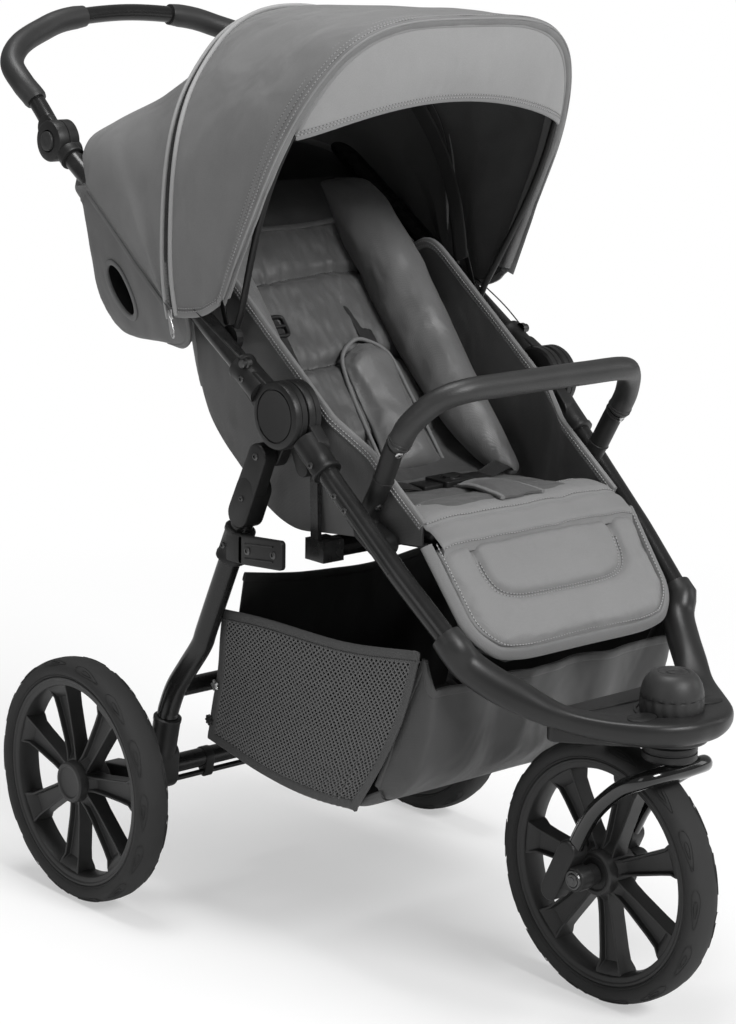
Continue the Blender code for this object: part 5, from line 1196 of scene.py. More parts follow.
def normals_of(rows):
    last, end = len(rows) - 1, len(rows[0]) - 1
    out = []
    for i in range(last + 1):
        line = []
        for j in range(end + 1):
            a = rows[min(i + 1, last)][j] - rows[max(i - 1, 0)][j]
            b = rows[i][min(j + 1, end)] - rows[i][max(j - 1, 0)]
            v = a.cross(b)
            line.append(v.normalized() if v.length > 1e-12 else Vector((0, 0, 1)))
        out.append(line)
    return out


def crumple(rows, height):
    """Moves every point along the cloth's normal by height(i share, j share, point)."""
    last, end = len(rows) - 1, len(rows[0]) - 1
    facing = normals_of(rows)
    return [[p + n * height(i / last, j / end, p) for j, (p, n) in enumerate(zip(row, line))]
            for i, (row, line) in enumerate(zip(rows, facing))]


def cloth(name, rows, thickness, mat, slot, body=None, inner=None, away=None, smooth=1, sharp=55.0):
    """A sheet with an even thickness; away is a point behind it, so that its face looks outward."""
    shape = Shape()
    shape.grid(rows)
    mesh = bpy.data.meshes.new(name)
    mesh.from_pydata(shape.verts, [], shape.faces)
    layer = mesh.uv_layers.new(name="UVMap")
    for loop, u in enumerate(u for face in shape.uvs for u in face):
        layer.data[loop].uv = u
    if away is not None:
        turn = sum((p.normal.dot(p.center - Vector(away)) * p.area for p in mesh.polygons), 0.0)
        if turn < 0:
            mesh.flip_normals()
    obj = place_piece(name, mesh, mat, None, slot, 0)
    if smooth:
        modify(obj, "SUBSURF", levels=smooth, render_levels=smooth)
    skin = modify(obj, "SOLIDIFY", thickness=thickness, offset=0.0, use_even_offset=False)
    if inner:
        mesh.materials.append(MAT[inner])
        skin.material_offset = 1
    apply_all(obj)
    obj.data.polygons.foreach_set("use_smooth", [True] * len(obj.data.polygons))
    obj.data.set_sharp_from_angle(angle=math.radians(sharp))
    if body:
        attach(obj, body)
    return obj


def band(shape, path, wide, half, thick, sides=14, closed=False, box=0.6):
    """A flat ribbon with rounded edges along a path; wide gives the direction of its width at each point."""
    rings, count = [], len(path)
    for k, p in enumerate(path):
        before = path[k - 1] if k > 0 or closed else p
        after = path[(k + 1) % count] if k < count - 1 or closed else p
        tangent = (after - before).normalized()
        a = Vector(wide[k]) - tangent * Vector(wide[k]).dot(tangent)
        a.normalize()
        b = tangent.cross(a)
        ring = []
        for j in range(sides):
            t = 2 * math.pi * j / sides
            c, s = math.cos(t), math.sin(t)
            ring.append(p + a * half * math.copysign(abs(c) ** box, c) + b * thick * math.copysign(abs(s) ** box, s))
        rings.append(ring)
    if closed:
        rings.append(rings[0])
    base = shape.grid(rings, close=True)
    if not closed:
        shape.cap(base, sides, 0, False)
        shape.cap(base, sides, (count - 1) * sides, True)
    return shape


def edge_band(shape, edge, inner, half, thick, closed=False, overlap=0.85):
    """A binding folded over a cloth's edge; inner are the cloth's points just inside it."""
    wide = [(b - a).normalized() for a, b in zip(edge, inner)]
    path = [a + w * half * overlap for a, w in zip(edge, wide)]
    return band(shape, path, wide, half, thick, closed=closed)


def stitch_line(shape, edge, inner, inset, normals, lift, radius=STITCH):
    path = [a + (b - a).normalized() * inset + n * lift for a, b, n in zip(edge, inner, normals)]
    shape.tube(path, radius, 6)
    return shape


def column(rows, j):
    return [row[j] for row in rows]


# Canopy

FRONT_BOW = (116.0, 0.3980, 3.8)
MID_BOW = (69.5, 0.3770, 2.2)
REAR_EDGE = (36.0, 0.360, 6.0)
BOW_FOOT, BOW_BULGE = 0.189, 0.022
OVER = 0.0059
MIDDLE = (0.0, -0.10 + SHIFT, 0.78)


def arch(angle, reach, square, bulge=BOW_BULGE, out=0.0, count=160, foot=BOW_FOOT, start=0.09, even=0):
    points = []
    for k in range(count + 1):
        s = math.pi * (k / count)
        rise = max(0.0, math.sin(s)) ** (2 / square)
        wide = abs(math.cos(s)) ** (2 / square)
        swell = math.sin(min(1.0, rise / 0.55) * math.pi / 2)
        x = -math.copysign(1, math.cos(s)) * wide * (foot + 1.3 * out + bulge * swell)
        r = reach * (start + (1 - start) * rise) + out
        points.append(at(x, *polar(CANOPY_PIVOT, angle, r)))
    return resample(points, even) if even else points


ZIP_FOOT, FRONT_FOOT = (-0.1120, 0.7250), (-0.2020, 0.7480)
CLOTH_SIDE = 0.2228


def hung(points, foot):
    """Lets the lower ends of a cloth line hang outside the handle tubes, ending at foot on both sides."""
    near = points[0]
    shift = (foot[0] + SHIFT - near.y, foot[1] - near.z)
    least = math.dist((near.y - SHIFT, near.z), CANOPY_PIVOT)
    out = []
    for p in points:
        reach = math.dist((p.y - SHIFT, p.z), CANOPY_PIVOT)
        share = step(0.27, least, reach)
        side = step(0.34, least + 0.04, reach)
        x = math.copysign(lerp(abs(p.x), max(abs(p.x), CLOTH_SIDE), side), p.x)
        out.append(Vector((x, p.y + shift[0] * share, p.z + shift[1] * share)))
    return out


def front_rows(steps, across):
    rows = []
    for k in range(steps + 1):
        share = k / steps
        angle = lerp(MID_BOW[0] + 0.5, FRONT_BOW[0], share)
        reach = lerp(MID_BOW[1], FRONT_BOW[1], share) - 0.025 * math.sin(math.pi * share)
        line = arch(angle, reach, lerp(MID_BOW[2], FRONT_BOW[2], share), out=OVER, start=0.18 - 0.09 * share)
        foot = toward(ZIP_FOOT, FRONT_FOOT, share)
        rows.append(resample(hung(line, (foot[0], foot[1] - 0.006 * math.sin(math.pi * share) + 0.012 * share ** 8)),
                             across))
    return rows


def rear_rows(steps, across):
    rows = []
    for k in range(steps + 1):
        share = k / steps
        angle = lerp(MID_BOW[0], REAR_EDGE[0], share)
        reach = lerp(MID_BOW[1], REAR_EDGE[1], share) - 0.030 * math.sin(math.pi * share)
        out = (0.2225 - BOW_FOOT - OVER) * min(1.0, 1.4 * share)
        line = arch(angle, reach, lerp(MID_BOW[2], REAR_EDGE[2], share ** 2), BOW_BULGE * (1 - share), OVER,
                    foot=BOW_FOOT + out, start=0.18 - 0.02 * share)
        rows.append(resample(hung(line, (ZIP_FOOT[0] - 0.0010 * share, ZIP_FOOT[1] + 0.0030 * share)), across))
    for k in range(1, 5):
        drop = 5.5 * k / 4
        line = arch(REAR_EDGE[0] - drop, REAR_EDGE[1], REAR_EDGE[2], 0.0, OVER, foot=0.2225 - OVER, start=0.16)
        rows.append(resample(hung(line, (ZIP_FOOT[0] - 0.0010, ZIP_FOOT[1] + 0.0030 - 0.0012 * k)), across))
    return rows


def front_height(i, j, p):
    edge = math.sin(math.pi * min(1.0, max(0.0, i))) ** 0.6
    side = abs(2 * j - 1)
    pull = 0.0040 * fbm((p.x * 1.0, p.y * 1.6, p.z * 0.7), 7.0) + 0.0016 * fbm((p.x, p.y, p.z * 0.6), 22.0)
    sleeve = 0.0020 * math.exp(-((i - 0.88) / 0.030) ** 2)
    return edge * pull * (0.7 + 0.6 * side) - sleeve


def rear_height(i, j, p):
    edge = math.sin(math.pi * min(1.0, max(0.0, i))) ** 0.7
    side = abs(2 * j - 1)
    slant = p.y * 38.0 - p.z * 30.0 + 4.0 * fbm(p, 5.0)
    fold = 0.0045 * math.sin(slant) * step(0.35, 0.9, side) + 0.0050 * fbm((p.x, p.y, p.z), 8.0)
    return edge * fold


def canopy_blend(obj, rear):
    """Bakes the placement of a piece of canopy cloth, which crosses the joint of two bodies, into its mesh."""
    top = 0.30
    if rear:
        a, b = polar(CANOPY_PIVOT, REAR_EDGE[0], top), polar(CANOPY_PIVOT, MID_BOW[0], top)
        at(0, *a)
        at(0, *b)
        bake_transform(obj)
    else:
        a, b = polar(CANOPY_PIVOT, MID_BOW[0], top), polar(CANOPY_PIVOT, FRONT_BOW[0], top)
        at(0, *a)
        at(0, *b)
        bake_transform(obj)


def canopy():
    steps, across = 26, 110
    rows = crumple(front_rows(steps, across), front_height)
    normals = normals_of(rows)
    sign = 1 if normals[0][across // 2].dot(rows[0][across // 2] - Vector(MIDDLE)) > 0 else -1
    panel = cloth("canopy_front_cloth", rows, 0.0020, "canopy", "canopy_cloth", inner="lining", away=MIDDLE)
    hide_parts("canopy_front_panel")
    canopy_blend(panel, False)
    trims = []
    shape = Shape()
    for j, k in ((0, 1), (across, across - 1)):
        edge_band(shape, column(rows, j), column(rows, k), 0.0042, 0.0019)
    hem = shape.piece("canopy_front_hem", "binding", None, "canopy_cloth")
    trims.append(hem)
    shape = Shape()
    for j, k in ((0, 1), (across, across - 1)):
        out = [line[j] * sign for line in normals]
        stitch_line(shape, column(rows, j), column(rows, k), 0.0066, out, 0.0022)
        stitch_line(shape, column(rows, j), column(rows, k), 0.0105, out, 0.0012)
    for inset in (0.022, 0.0105):
        out = [n * sign for n in normals[steps - 2]]
        line = [a + (b - a).normalized() * inset + n * 0.0014 for a, b, n in zip(rows[steps], rows[steps - 3], out)]
        shape.tube(line[1:-1], STITCH, 6)
    trims.append(shape.piece("canopy_front_stitching", "thread", None, "canopy_cloth"))
    for trim in trims:
        canopy_blend(trim, False)
    front_bow_parts(rows, normals, sign)
    mid_bow_parts()
    return panel, trims, rear_panel(steps, across)


def front_bow_parts(rows, normals, sign):
    edge = arch(*FRONT_BOW, even=150)
    rim = polar(CANOPY_PIVOT, FRONT_BOW[0], 0.0153)
    path = [at(-BOW_FOOT, *rim)] + edge + [at(BOW_FOOT, *rim)]
    shape = Shape()
    shape.tube(path, 0.0040, 16)
    bow = shape.piece("front_bow_rod", "plastic", "canopy_front", "plastic")
    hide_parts("canopy_bow_front")
    ahead_y, ahead_z = polar((0.0, 0.0), FRONT_BOW[0] + 90, 1.0)
    ahead = Vector((0, ahead_y, ahead_z))
    front = rows[-1]
    outward = normals[-2]
    sleeve_path = resample([p - n * sign * 0.0040 for p, n in zip(front, outward)], 150)
    shape = Shape()
    shape.tube(sleeve_path, [0.0066 + 0.0004 * math.sin(k * 0.7) * math.sin(k * 0.23) for k in range(len(sleeve_path))],
               20, side_axis=ahead)
    shape.piece("front_bow_sleeve", "canopy", "canopy_front", "canopy_cloth")
    centre = at(0, *polar(CANOPY_PIVOT, FRONT_BOW[0], 0.16))
    shape = Shape()
    out = [(p - centre).normalized() for p in sleeve_path]
    path = [p + o * 0.0052 + ahead * 0.0044 for p, o in zip(sleeve_path, out)]
    shape.tube(path, 0.0012, 8)
    shape.piece("front_bow_piping", "binding", "canopy_front", "canopy_cloth")
    shape = Shape()
    shape.tube([p + o * 0.0068 - ahead * 0.0008 for p, o in zip(sleeve_path, out)], STITCH, 6)
    shape.piece("front_bow_stitching", "thread", "canopy_front", "canopy_cloth")
    shape = Shape()
    inside = [p - n * sign * 0.0042 for p, n in zip(rows[-2], normals[-2])]
    band(shape, inside, [(b - a).normalized() for a, b in zip(rows[-1], rows[-4])], 0.0140, 0.0012)
    shape.piece("front_hem_inside", "canopy", "canopy_front", "canopy_cloth")


def mid_bow_parts():
    bow = arch(*MID_BOW, foot=0.1905, start=0.18, even=150)
    shape = Shape()
    shape.tube(bow, 0.0040, 16)
    rod = shape.piece("mid_bow_rod", "plastic", "canopy_mid", "plastic")
    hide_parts("canopy_bow_mid")
    for name, side in SIDES:
        lug = [(*polar(CANOPY_PIVOT, MID_BOW[0], reach), 0.004) for reach in (0.0193, 0.0739)]
        hull_piece(f"mid_bow_lug_{name}", [plate_points(lug, side * 0.1933, side * 0.1946)], "plastic", "canopy_mid",
                   "plastic", 0.0003, 2)
    over = resample(hung(arch(MID_BOW[0], MID_BOW[1], MID_BOW[2], out=OVER + 0.0016, start=0.18), ZIP_FOOT), 150)
    centre = at(0, *polar(CANOPY_PIVOT, MID_BOW[0], 0.16))
    axis_y, axis_z = polar((0.0, 0.0), MID_BOW[0] + 90, 1.0)
    axis = Vector((0, axis_y, axis_z))
    out = [(p - centre).normalized() for p in over]
    shape = Shape()
    for offset in (-0.0082, 0.0082):
        shape.tube([p + axis * offset + o * 0.0010 for p, o in zip(over, out)], 0.0030, 14, side_axis=axis)
    shape.piece("zip_piping", "piping", "canopy_mid", "canopy_cloth")
    shape = Shape()
    band(shape, [p - o * 0.0002 for p, o in zip(over, out)], [axis] * len(over), 0.0060, 0.0012)
    shape.piece("zip_tape", "dark", "canopy_mid", "canopy_cloth")
    shape = Shape()
    for k in range(len(over) * 3 - 3):
        p = over[k // 3].lerp(over[k // 3 + 1], (k % 3) / 3)
        o = out[k // 3]
        s = 0.0009 if k % 2 else -0.0009
        shape.tube([p + o * 0.0012 + axis * (s - 0.0018), p + o * 0.0012 + axis * (s + 0.0018)], 0.00055, 5)
    shape.piece("zip_teeth", "plastic", "canopy_mid", "canopy_cloth")
    for index, name in ((0, "left"), (-1, "right")):
        zip_pull(name, over[index], (over[index] - over[1 if index == 0 else -2]).normalized(), out[index], axis)
    shape = Shape()
    inside = arch(MID_BOW[0], MID_BOW[1], MID_BOW[2], out=-0.0046, foot=0.1905, start=0.18, even=120)
    band(shape, inside, [axis] * len(inside), 0.0120, 0.0011)
    shape.piece("mid_bow_tape", "dark", "canopy_mid", "canopy_cloth")


def zip_pull(name, foot, down, out, across):
    """The slider at the foot of the zip and its hanging teardrop tab."""
    shape = Shape()
    band(shape, [foot + out * 0.0020 - down * 0.009, foot + out * 0.0026 - down * 0.006, foot + out * 0.0028,
                 foot + out * 0.0020 + down * 0.002], [across] * 4, 0.0040, 0.0019)
    shape.piece(f"zip_slider_{name}", "steel", "canopy_mid", "steel")
    shape = Shape()
    top = foot + out * 0.0052 - down * 0.002
    ring = []
    for k in range(32):
        t = 2 * math.pi * k / 32
        along = 0.0125 * (1 - math.cos(t)) / 2 * 1.9
        half = 0.0034 * math.sin(t) * (0.45 + 0.55 * (1 - math.cos(t)) / 2)
        ring.append(top + down * along + across * half)
    shape.tube(ring, 0.0011, 8, closed=True)
    middle = [top + down * (0.004 + 0.0022 * k) for k in range(8)]
    band(shape, middle, [across] * 8, 0.0020, 0.0006)
    shape.piece(f"zip_pull_{name}", "steel", "canopy_mid", "steel")


def rear_panel(steps, across):
    rows = crumple(rear_rows(steps, across), rear_height)
    normals = normals_of(rows)
    sign = 1 if normals[steps // 2][across // 2].dot(rows[steps // 2][across // 2] - Vector(MIDDLE)) > 0 else -1
    steps = len(rows) - 1
    panel = cloth("canopy_rear_cloth", rows, 0.0020, "canopy", "canopy_cloth", inner="lining", away=MIDDLE)
    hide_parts("canopy_rear_panel")
    canopy_blend(panel, True)
    shape = Shape()
    edge_band(shape, rows[steps], rows[steps - 2], 0.0048, 0.0021)
    for j, k in ((0, 1), (across, across - 1)):
        edge_band(shape, column(rows, j), column(rows, k), 0.0030, 0.0018)
    hem = shape.piece("canopy_rear_binding", "cover", None, "canopy_cloth")
    canopy_blend(hem, True)
    shape = Shape()
    out = [n * sign for n in normals[steps - 1]]
    stitch_line(shape, rows[steps], rows[steps - 2], 0.0062, out, 0.0024)
    seam = shape.piece("canopy_rear_stitching", "dark_thread", None, "canopy_cloth")
    canopy_blend(seam, True)
    return rows[steps]


def visor_rows(steps, across):
    edge = [p for p in arch(*FRONT_BOW, even=400) if p.z > 1.0639 - 0.118]
    shown = resample(edge, across)
    ahead_y, ahead_z = polar((0.0, 0.0), FRONT_BOW[0] + 90, 0.0056)
    rows = []
    for k in range(steps + 1):
        share = k / steps
        row = []
        for p in shown:
            side = p.x / abs(shown[0].x)
            floor = 1.0639 - 0.122 + (0.122 - 0.085) * (1 - side * side)
            z = p.z + (min(floor, p.z - 0.003) - p.z) * share
            ahead = 0.010 * math.sin(math.pi * share) * (1 - side * side)
            lean = (p.z - z) / math.tan(math.radians(180 - FRONT_BOW[0])) * 0.55
            row.append(Vector((p.x, p.y + ahead_y + lean - ahead, z + ahead_z)))
        rows.append(row)
    return rows


def visor():
    steps, across = 12, 90
    rows = crumple(visor_rows(steps, across), lambda i, j, p: 0.0012 * fbm(p, 11.0) * math.sin(math.pi * i))
    behind = at(0, *polar(CANOPY_PIVOT, 100.0, 0.30))
    normals = normals_of(rows)
    sign = 1 if normals[steps // 2][across // 2].dot(rows[steps // 2][across // 2] - behind) > 0 else -1
    brim = cloth("visor_cloth", rows, 0.0020, "visor", "canopy_cloth", "visor", "lining", behind)
    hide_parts("visor")
    shape = Shape()
    edge_band(shape, rows[steps], rows[steps - 1], 0.0040, 0.0019)
    band(shape, rows[0], [(b - a).normalized() for a, b in zip(rows[0], rows[2])], 0.0030, 0.0020)
    shape.piece("visor_binding", "binding", "visor", "canopy_cloth")
    shape = Shape()
    out = [n * sign for n in normals[steps - 1]]
    stitch_line(shape, rows[steps], rows[steps - 2], 0.0058, out, 0.0018)
    stitch_line(shape, rows[steps], rows[steps - 2], 0.0095, out, 0.0013)
    shape.piece("visor_stitching", "thread", "visor", "canopy_cloth")


# Back cover behind the seat


COVER_FLOOR = 0.684


def back_cover(rear_line):
    floor = COVER_FLOOR
    outline = [(-0.060, floor), (0.015, floor - 0.002), (0.052, 0.694), (0.072, 0.728), (0.0775, 0.775),
               (0.0765, 0.812), (0.0735, 0.840)]
    line = smooth_path([Vector((0, *p)) for p in outline], 8)
    line = resample(line, 34)
    top = [polar(HUB, HANDLE_ANGLE, lerp(0.186, 0.420, (k / 34) ** 0.8)) for k in range(35)]
    rows = []
    for p, t in zip(line, top):
        y, z = p.y, p.z
        lift = min(1.0, max(0.0, (z - floor) / 0.17))
        half = 0.186 + (0.2202 - 0.186) * lift
        left = Vector((-0.2202, t[0] + SHIFT, t[1]))
        points = [left]
        for share in (0.35, 0.7):
            mid = left.lerp(at(-half, y, z), share)
            slack = math.sin(math.pi * share) * max(0.0, (floor + 0.03 - z) / 0.03)
            points.append(mid + Vector((-0.004 * math.sin(math.pi * share), -0.026 * slack, -0.016 * slack)))
        points += [at(half * a, y + 0.006 * (1 - a * a), z) for a in (-1.0, -0.94, -0.5, 0.0, 0.5, 0.94, 1.0)]
        mirror = [Vector((-q.x, q.y, q.z)) for q in reversed(points[:3])]
        rows.append(resample(smooth_path(points + mirror, 6), 96))

    def height(i, j, p):
        side = step(0.30, 0.04, min(j, 1 - j))
        slant = 26.0 * p.y + 34.0 * p.z
        return 0.0052 * fbm(p, 9.0) + 0.0030 * side * math.sin(slant + 3.0 * fbm(p, 6.0))

    rows = crumple(rows, lambda i, j, p: height(i, j, p) * math.sin(math.pi * min(1, max(0, i))) ** 0.5
                   * math.sin(math.pi * j) ** 0.5)
    inside = at(0, -0.05, 0.80)
    cover = cloth("back_cover_cloth", rows, 0.0020, "cover", "seat_cloth", "handle_frame", "dark", inside)
    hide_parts("back_cover")
    centre, tall, deep = (0.0100, 0.7400), 0.0350, 0.0225
    tilt = math.radians(62.0)
    ring = []
    for k in range(48):
        t = 2 * math.pi * k / 48
        a, b = tall * math.cos(t), deep * math.sin(t)
        ring.append((centre[0] + a * math.cos(tilt) - b * math.sin(tilt),
                     centre[1] + a * math.sin(tilt) + b * math.cos(tilt)))
    cutters = []
    for side in (-1, 1):
        shape = Shape()
        loop_a = [at(side * 0.150, *q) for q in ring]
        loop_b = [at(side * 0.260, *q) for q in ring]
        base = shape.grid([loop_a, loop_b], close=True)
        shape.cap(base, 48, 0, False)
        shape.cap(base, 48, 48, True)
        cutters.append(shape.piece(f"opening_cutter_{side}", "dark", None))
    bpy.context.view_layer.update()
    rims = Shape()
    for side in (-1, 1):
        path = []
        for y, z in ring:
            hit, place, _, _ = cover.ray_cast(at(side * 0.30, y, z), Vector((-side, 0, 0)))
            path.append(place if hit else at(side * 0.21, y, z))
        middle = sum(path, Vector()) / len(path)
        band(rims, path, [(p - middle).normalized() for p in path], 0.0036, 0.0020, closed=True)
    for cutter in cutters:
        modify(cover, "BOOLEAN", object=cutter, operation="DIFFERENCE", solver="EXACT")
    apply_all(cover)
    for cutter in cutters:
        bpy.data.objects.remove(cutter)
    cover.data.polygons.foreach_set("use_smooth", [True] * len(cover.data.polygons))
    cover.data.set_sharp_from_angle(angle=math.radians(50))
    rims.piece("cover_opening_rims", "cover", "handle_frame", "seat_cloth")
    shape = Shape()
    for j, k in ((0, 2), (96, 94)):
        edge_band(shape, column(rows, j), column(rows, k), 0.0040, 0.0021)
    edge_band(shape, rows[0], rows[2], 0.0035, 0.0019)
    edge_band(shape, rows[34], rows[32], 0.0035, 0.0019)
    shape.piece("back_cover_binding", "cover", "handle_frame", "seat_cloth")
    closing_panel(rear_line, rows[34])


def closing_panel(rear_line, cover_line):
    """The dark cloth that closes the head end between the canopy's rear edge and the back cover."""
    upper = [p for p in rear_line if math.dist((p.y - SHIFT, p.z), CANOPY_PIVOT) > 0.285]
    upper, lower = resample(upper, 80), resample(cover_line, 80)
    rows = []
    for k in range(13):
        share = k / 12
        rows.append([a.lerp(b, share) + Vector((0, 0.010 * math.sin(math.pi * share), 0)) for a,
                     b in zip(upper, lower)])
    rows = crumple(rows, lambda i, j, p: 0.0040 * fbm(p, 10.0) * math.sin(math.pi * i) * math.sin(math.pi * j) ** 0.5)
    panel = cloth("head_end_cloth", rows, 0.0020, "cover", "seat_cloth", "handle_frame", "dark", at(0, -0.10, 0.85))


# Side walls


def wall_rows(side, across, up):
    line = [(-0.096, 0.640), (-0.112, 0.606), (-0.138, 0.578), (-0.172, 0.552), (-0.218, 0.516), (-0.270, 0.498),
            (-0.330, 0.503), (-0.375, 0.504), (-0.420, 0.507), (-0.462, 0.511)]
    low_line = resample(smooth_path([Vector((0, *p)) for p in line], 8), across)
    rear, front = (-0.124, 0.792), (-0.470, 0.532)
    rows = []
    for p in low_line:
        y, low = p.y, p.z
        x = side * lerp(0.1670, 0.1483, min(1.0, max(0.0, (-0.33 - y) / 0.045)))
        back = y + 0.026 * step(-0.20, -0.096, y)
        high = lerp(rear[1], front[1], (back - rear[0]) / (front[0] - rear[0])) - 0.060 * step(-0.165, -0.094, y) ** 2
        row = []
        for k in range(up + 1):
            share = k / up
            swell = 0.006 * math.sin(math.pi * share) * step(-0.47, -0.36, y)
            row.append(at(x + side * swell, lerp(y, back, share ** 0.8), low + (high - low) * share))
        rows.append(row)
    return rows


def side_walls():
    for name, side in SIDES:
        rows = wall_rows(side, 60, 18)

        def height(i, j, p):
            pull = 0.0035 * fbm((p.x, p.y, p.z), 9.0) + 0.0020 * math.sin(36.0 * (p.y + 0.7 * p.z) + 3.0 * fbm(p, 6.0))
            return pull * math.sin(math.pi * j) ** 0.6 * math.sin(math.pi * min(1.0, i + 0.04)) ** 0.4

        rows = crumple(rows, height)
        wall = cloth(f"side_wall_cloth_{name}", rows, 0.0040, "wall", "seat_cloth", "front_frame",
                     away=(0, rows[30][9].y, rows[30][9].z))
        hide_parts(f"side_wall_{name}")
        shape = Shape()
        top = [row[-1] for row in rows]
        edge_band(shape, top, [row[-3] for row in rows], 0.0062, 0.0036)
        edge_band(shape, rows[0], rows[2], 0.0040, 0.0030)
        shape.piece(f"side_wall_binding_{name}", "wall_binding", "front_frame", "seat_cloth")
        shape = Shape()
        for s in (-1, 1):
            for drop in (0.0035, 0.0085):
                path = [a + (b - a).normalized() * drop + Vector((s * (0.0041 if drop < 0.006 else 0.0037), 0, 0))
                        for a, b in zip(top, [row[-3] for row in rows])]
                shape.tube(path, STITCH, 6)
        shape.piece(f"side_wall_stitching_{name}", "thread", "front_frame", "seat_cloth")


# Seat, backrest and footrest


def seat_place(x, along, up):
    slope = math.degrees(math.atan2(SEAT_FRONT[1] - SEAT_CREASE[1], SEAT_FRONT[0] - SEAT_CREASE[0]))
    y, z = polar((SEAT_CREASE[0] - 0.0003, SEAT_CREASE[1]), slope, along)
    return at(x, *polar((y, z), slope - 90, up))


def back_place(x, along, up):
    y, z = polar(polar(SEAT_CREASE, BACK_ANGLE, 0.0069), BACK_ANGLE, along)
    return at(x, *polar((y, z), BACK_ANGLE + 90, up))


def foot_place(x, along, up):
    y, z = polar(polar(SEAT_FRONT, FOOT_ANGLE, along), FOOT_ANGLE - 90, up)
    return at(x, y, z)


def pad_mesh(name, place, half, length, base, top, mat, slot, trim=None, across=44, along=56, start=0.0, belly=0.0):
    """A closed pad on a flat back: top(u, v) is its thickness and trim(u, v) may pull in x."""
    rows = []
    for i in range(along + 1):
        v = 0.5 - 0.5 * math.cos(math.pi * i / along)
        front, back = [], []
        for j in range(across + 1):
            u = math.sin(math.pi * (j / across - 0.5))
            edge = max(0.0, 1 - abs(u) ** 6) ** 0.5 * max(0.0, 1 - abs(2 * v - 1) ** 12) ** 0.5
            x = half * u * (trim(v) if trim else 1.0)
            front.append(place(x, start + v * length, base + top(u, v) * (0.12 + 0.88 * edge)))
            if 0 < j < across:
                back.append(place(x, start + v * length, base - belly * edge))
        rows.append(front + back[::-1])
    shape = Shape()
    count = len(rows[0])
    first = shape.grid(rows, close=True)
    shape.cap(first, count, 0, False)
    shape.cap(first, count, along * count, True)
    return shape.piece(name, mat, None, slot, sharp=0)


def groove(value, line, width):
    return math.exp(-((value - line) / width) ** 2)


def stuffed(obj, voxel=0.0050, pressure=4.0, cap=0.010, frames=20, seams=None):
    """Remeshes a pad and lets a short cloth simulation puff and wrinkle its cover, then smooths it."""
    modify(obj, "REMESH", mode="VOXEL", voxel_size=voxel, use_smooth_shade=True)
    apply_all(obj)
    before = np.empty(len(obj.data.vertices) * 3)
    obj.data.vertices.foreach_get("co", before)
    mod = modify(obj, "CLOTH")
    settings = mod.settings
    settings.quality = 5
    settings.mass = 0.25
    settings.tension_stiffness = settings.compression_stiffness = 12.0
    settings.shear_stiffness = 4.0
    settings.bending_stiffness = 0.35
    settings.use_pressure = True
    settings.uniform_pressure_force = pressure
    settings.effector_weights.gravity = 0.0
    mod.collision_settings.use_collision = False
    mod.collision_settings.use_self_collision = False
    mod.point_cache.frame_start, mod.point_cache.frame_end = 1, frames
    scene = bpy.context.scene
    for frame_number in range(1, frames + 1):
        scene.frame_set(frame_number)
    apply_all(obj)
    scene.frame_set(1)
    after = np.empty_like(before)
    obj.data.vertices.foreach_get("co", after)
    move = (after - before).reshape(-1, 3)
    size = np.linalg.norm(move, axis=1, keepdims=True)
    move *= np.minimum(1.0, cap / np.maximum(size, 1e-9))
    obj.data.vertices.foreach_set("co", (before.reshape(-1, 3) + move).ravel())
    modify(obj, "SMOOTH", factor=0.4, iterations=2)
    modify(obj, "SUBSURF", levels=1, render_levels=1)
    apply_all(obj)
    if seams:
        for v in obj.data.vertices:
            v.co = seams(v.co.copy())
    obj.data.polygons.foreach_set("use_smooth", [True] * len(obj.data.polygons))
    return obj


def settle(obj, points, down, lift):
    """Drops each point onto the surface of obj."""
    out = []
    for p in points:
        hit, place, _, _ = obj.ray_cast(p, down)
        out.append(place - down * lift if hit else p + down * 0.035)
    return out


def seat():
    length = math.dist(SEAT_FRONT, SEAT_CREASE) - 0.0006

    def top(u, v):
        seam = 0.0050 * groove(v, 0.68, 0.022) + 0.0040 * groove(v, 0.40, 0.022) * (abs(u) < 0.75)
        side = 0.0040 * groove(abs(u), 0.74, 0.05)
        return 0.0290 - seam - side + 0.0010 * fbm((u * 0.14, v * 0.22, 0.3), 20.0)

    pad = pad_mesh("seat_cushion", seat_place, SEAT_HALF - 0.001, length, 0.0066, top, "seat", "seat_cloth")
    stuffed(pad, cap=0.006)
    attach(pad, "front_frame")
    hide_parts("seat_pad")
    shape = Shape()
    for v in (0.68, 0.40):
        across = [SEAT_HALF * 0.72 * (2 * k / 24 - 1) for k in range(25)]
        path = [seat_place(x, v * length, 0.0066 + 0.0262) for x in across]
        shape.tube(path, STITCH, 6)
    shape.piece("seat_stitching", "thread", "front_frame", "seat_cloth")
    thigh_pad(length)


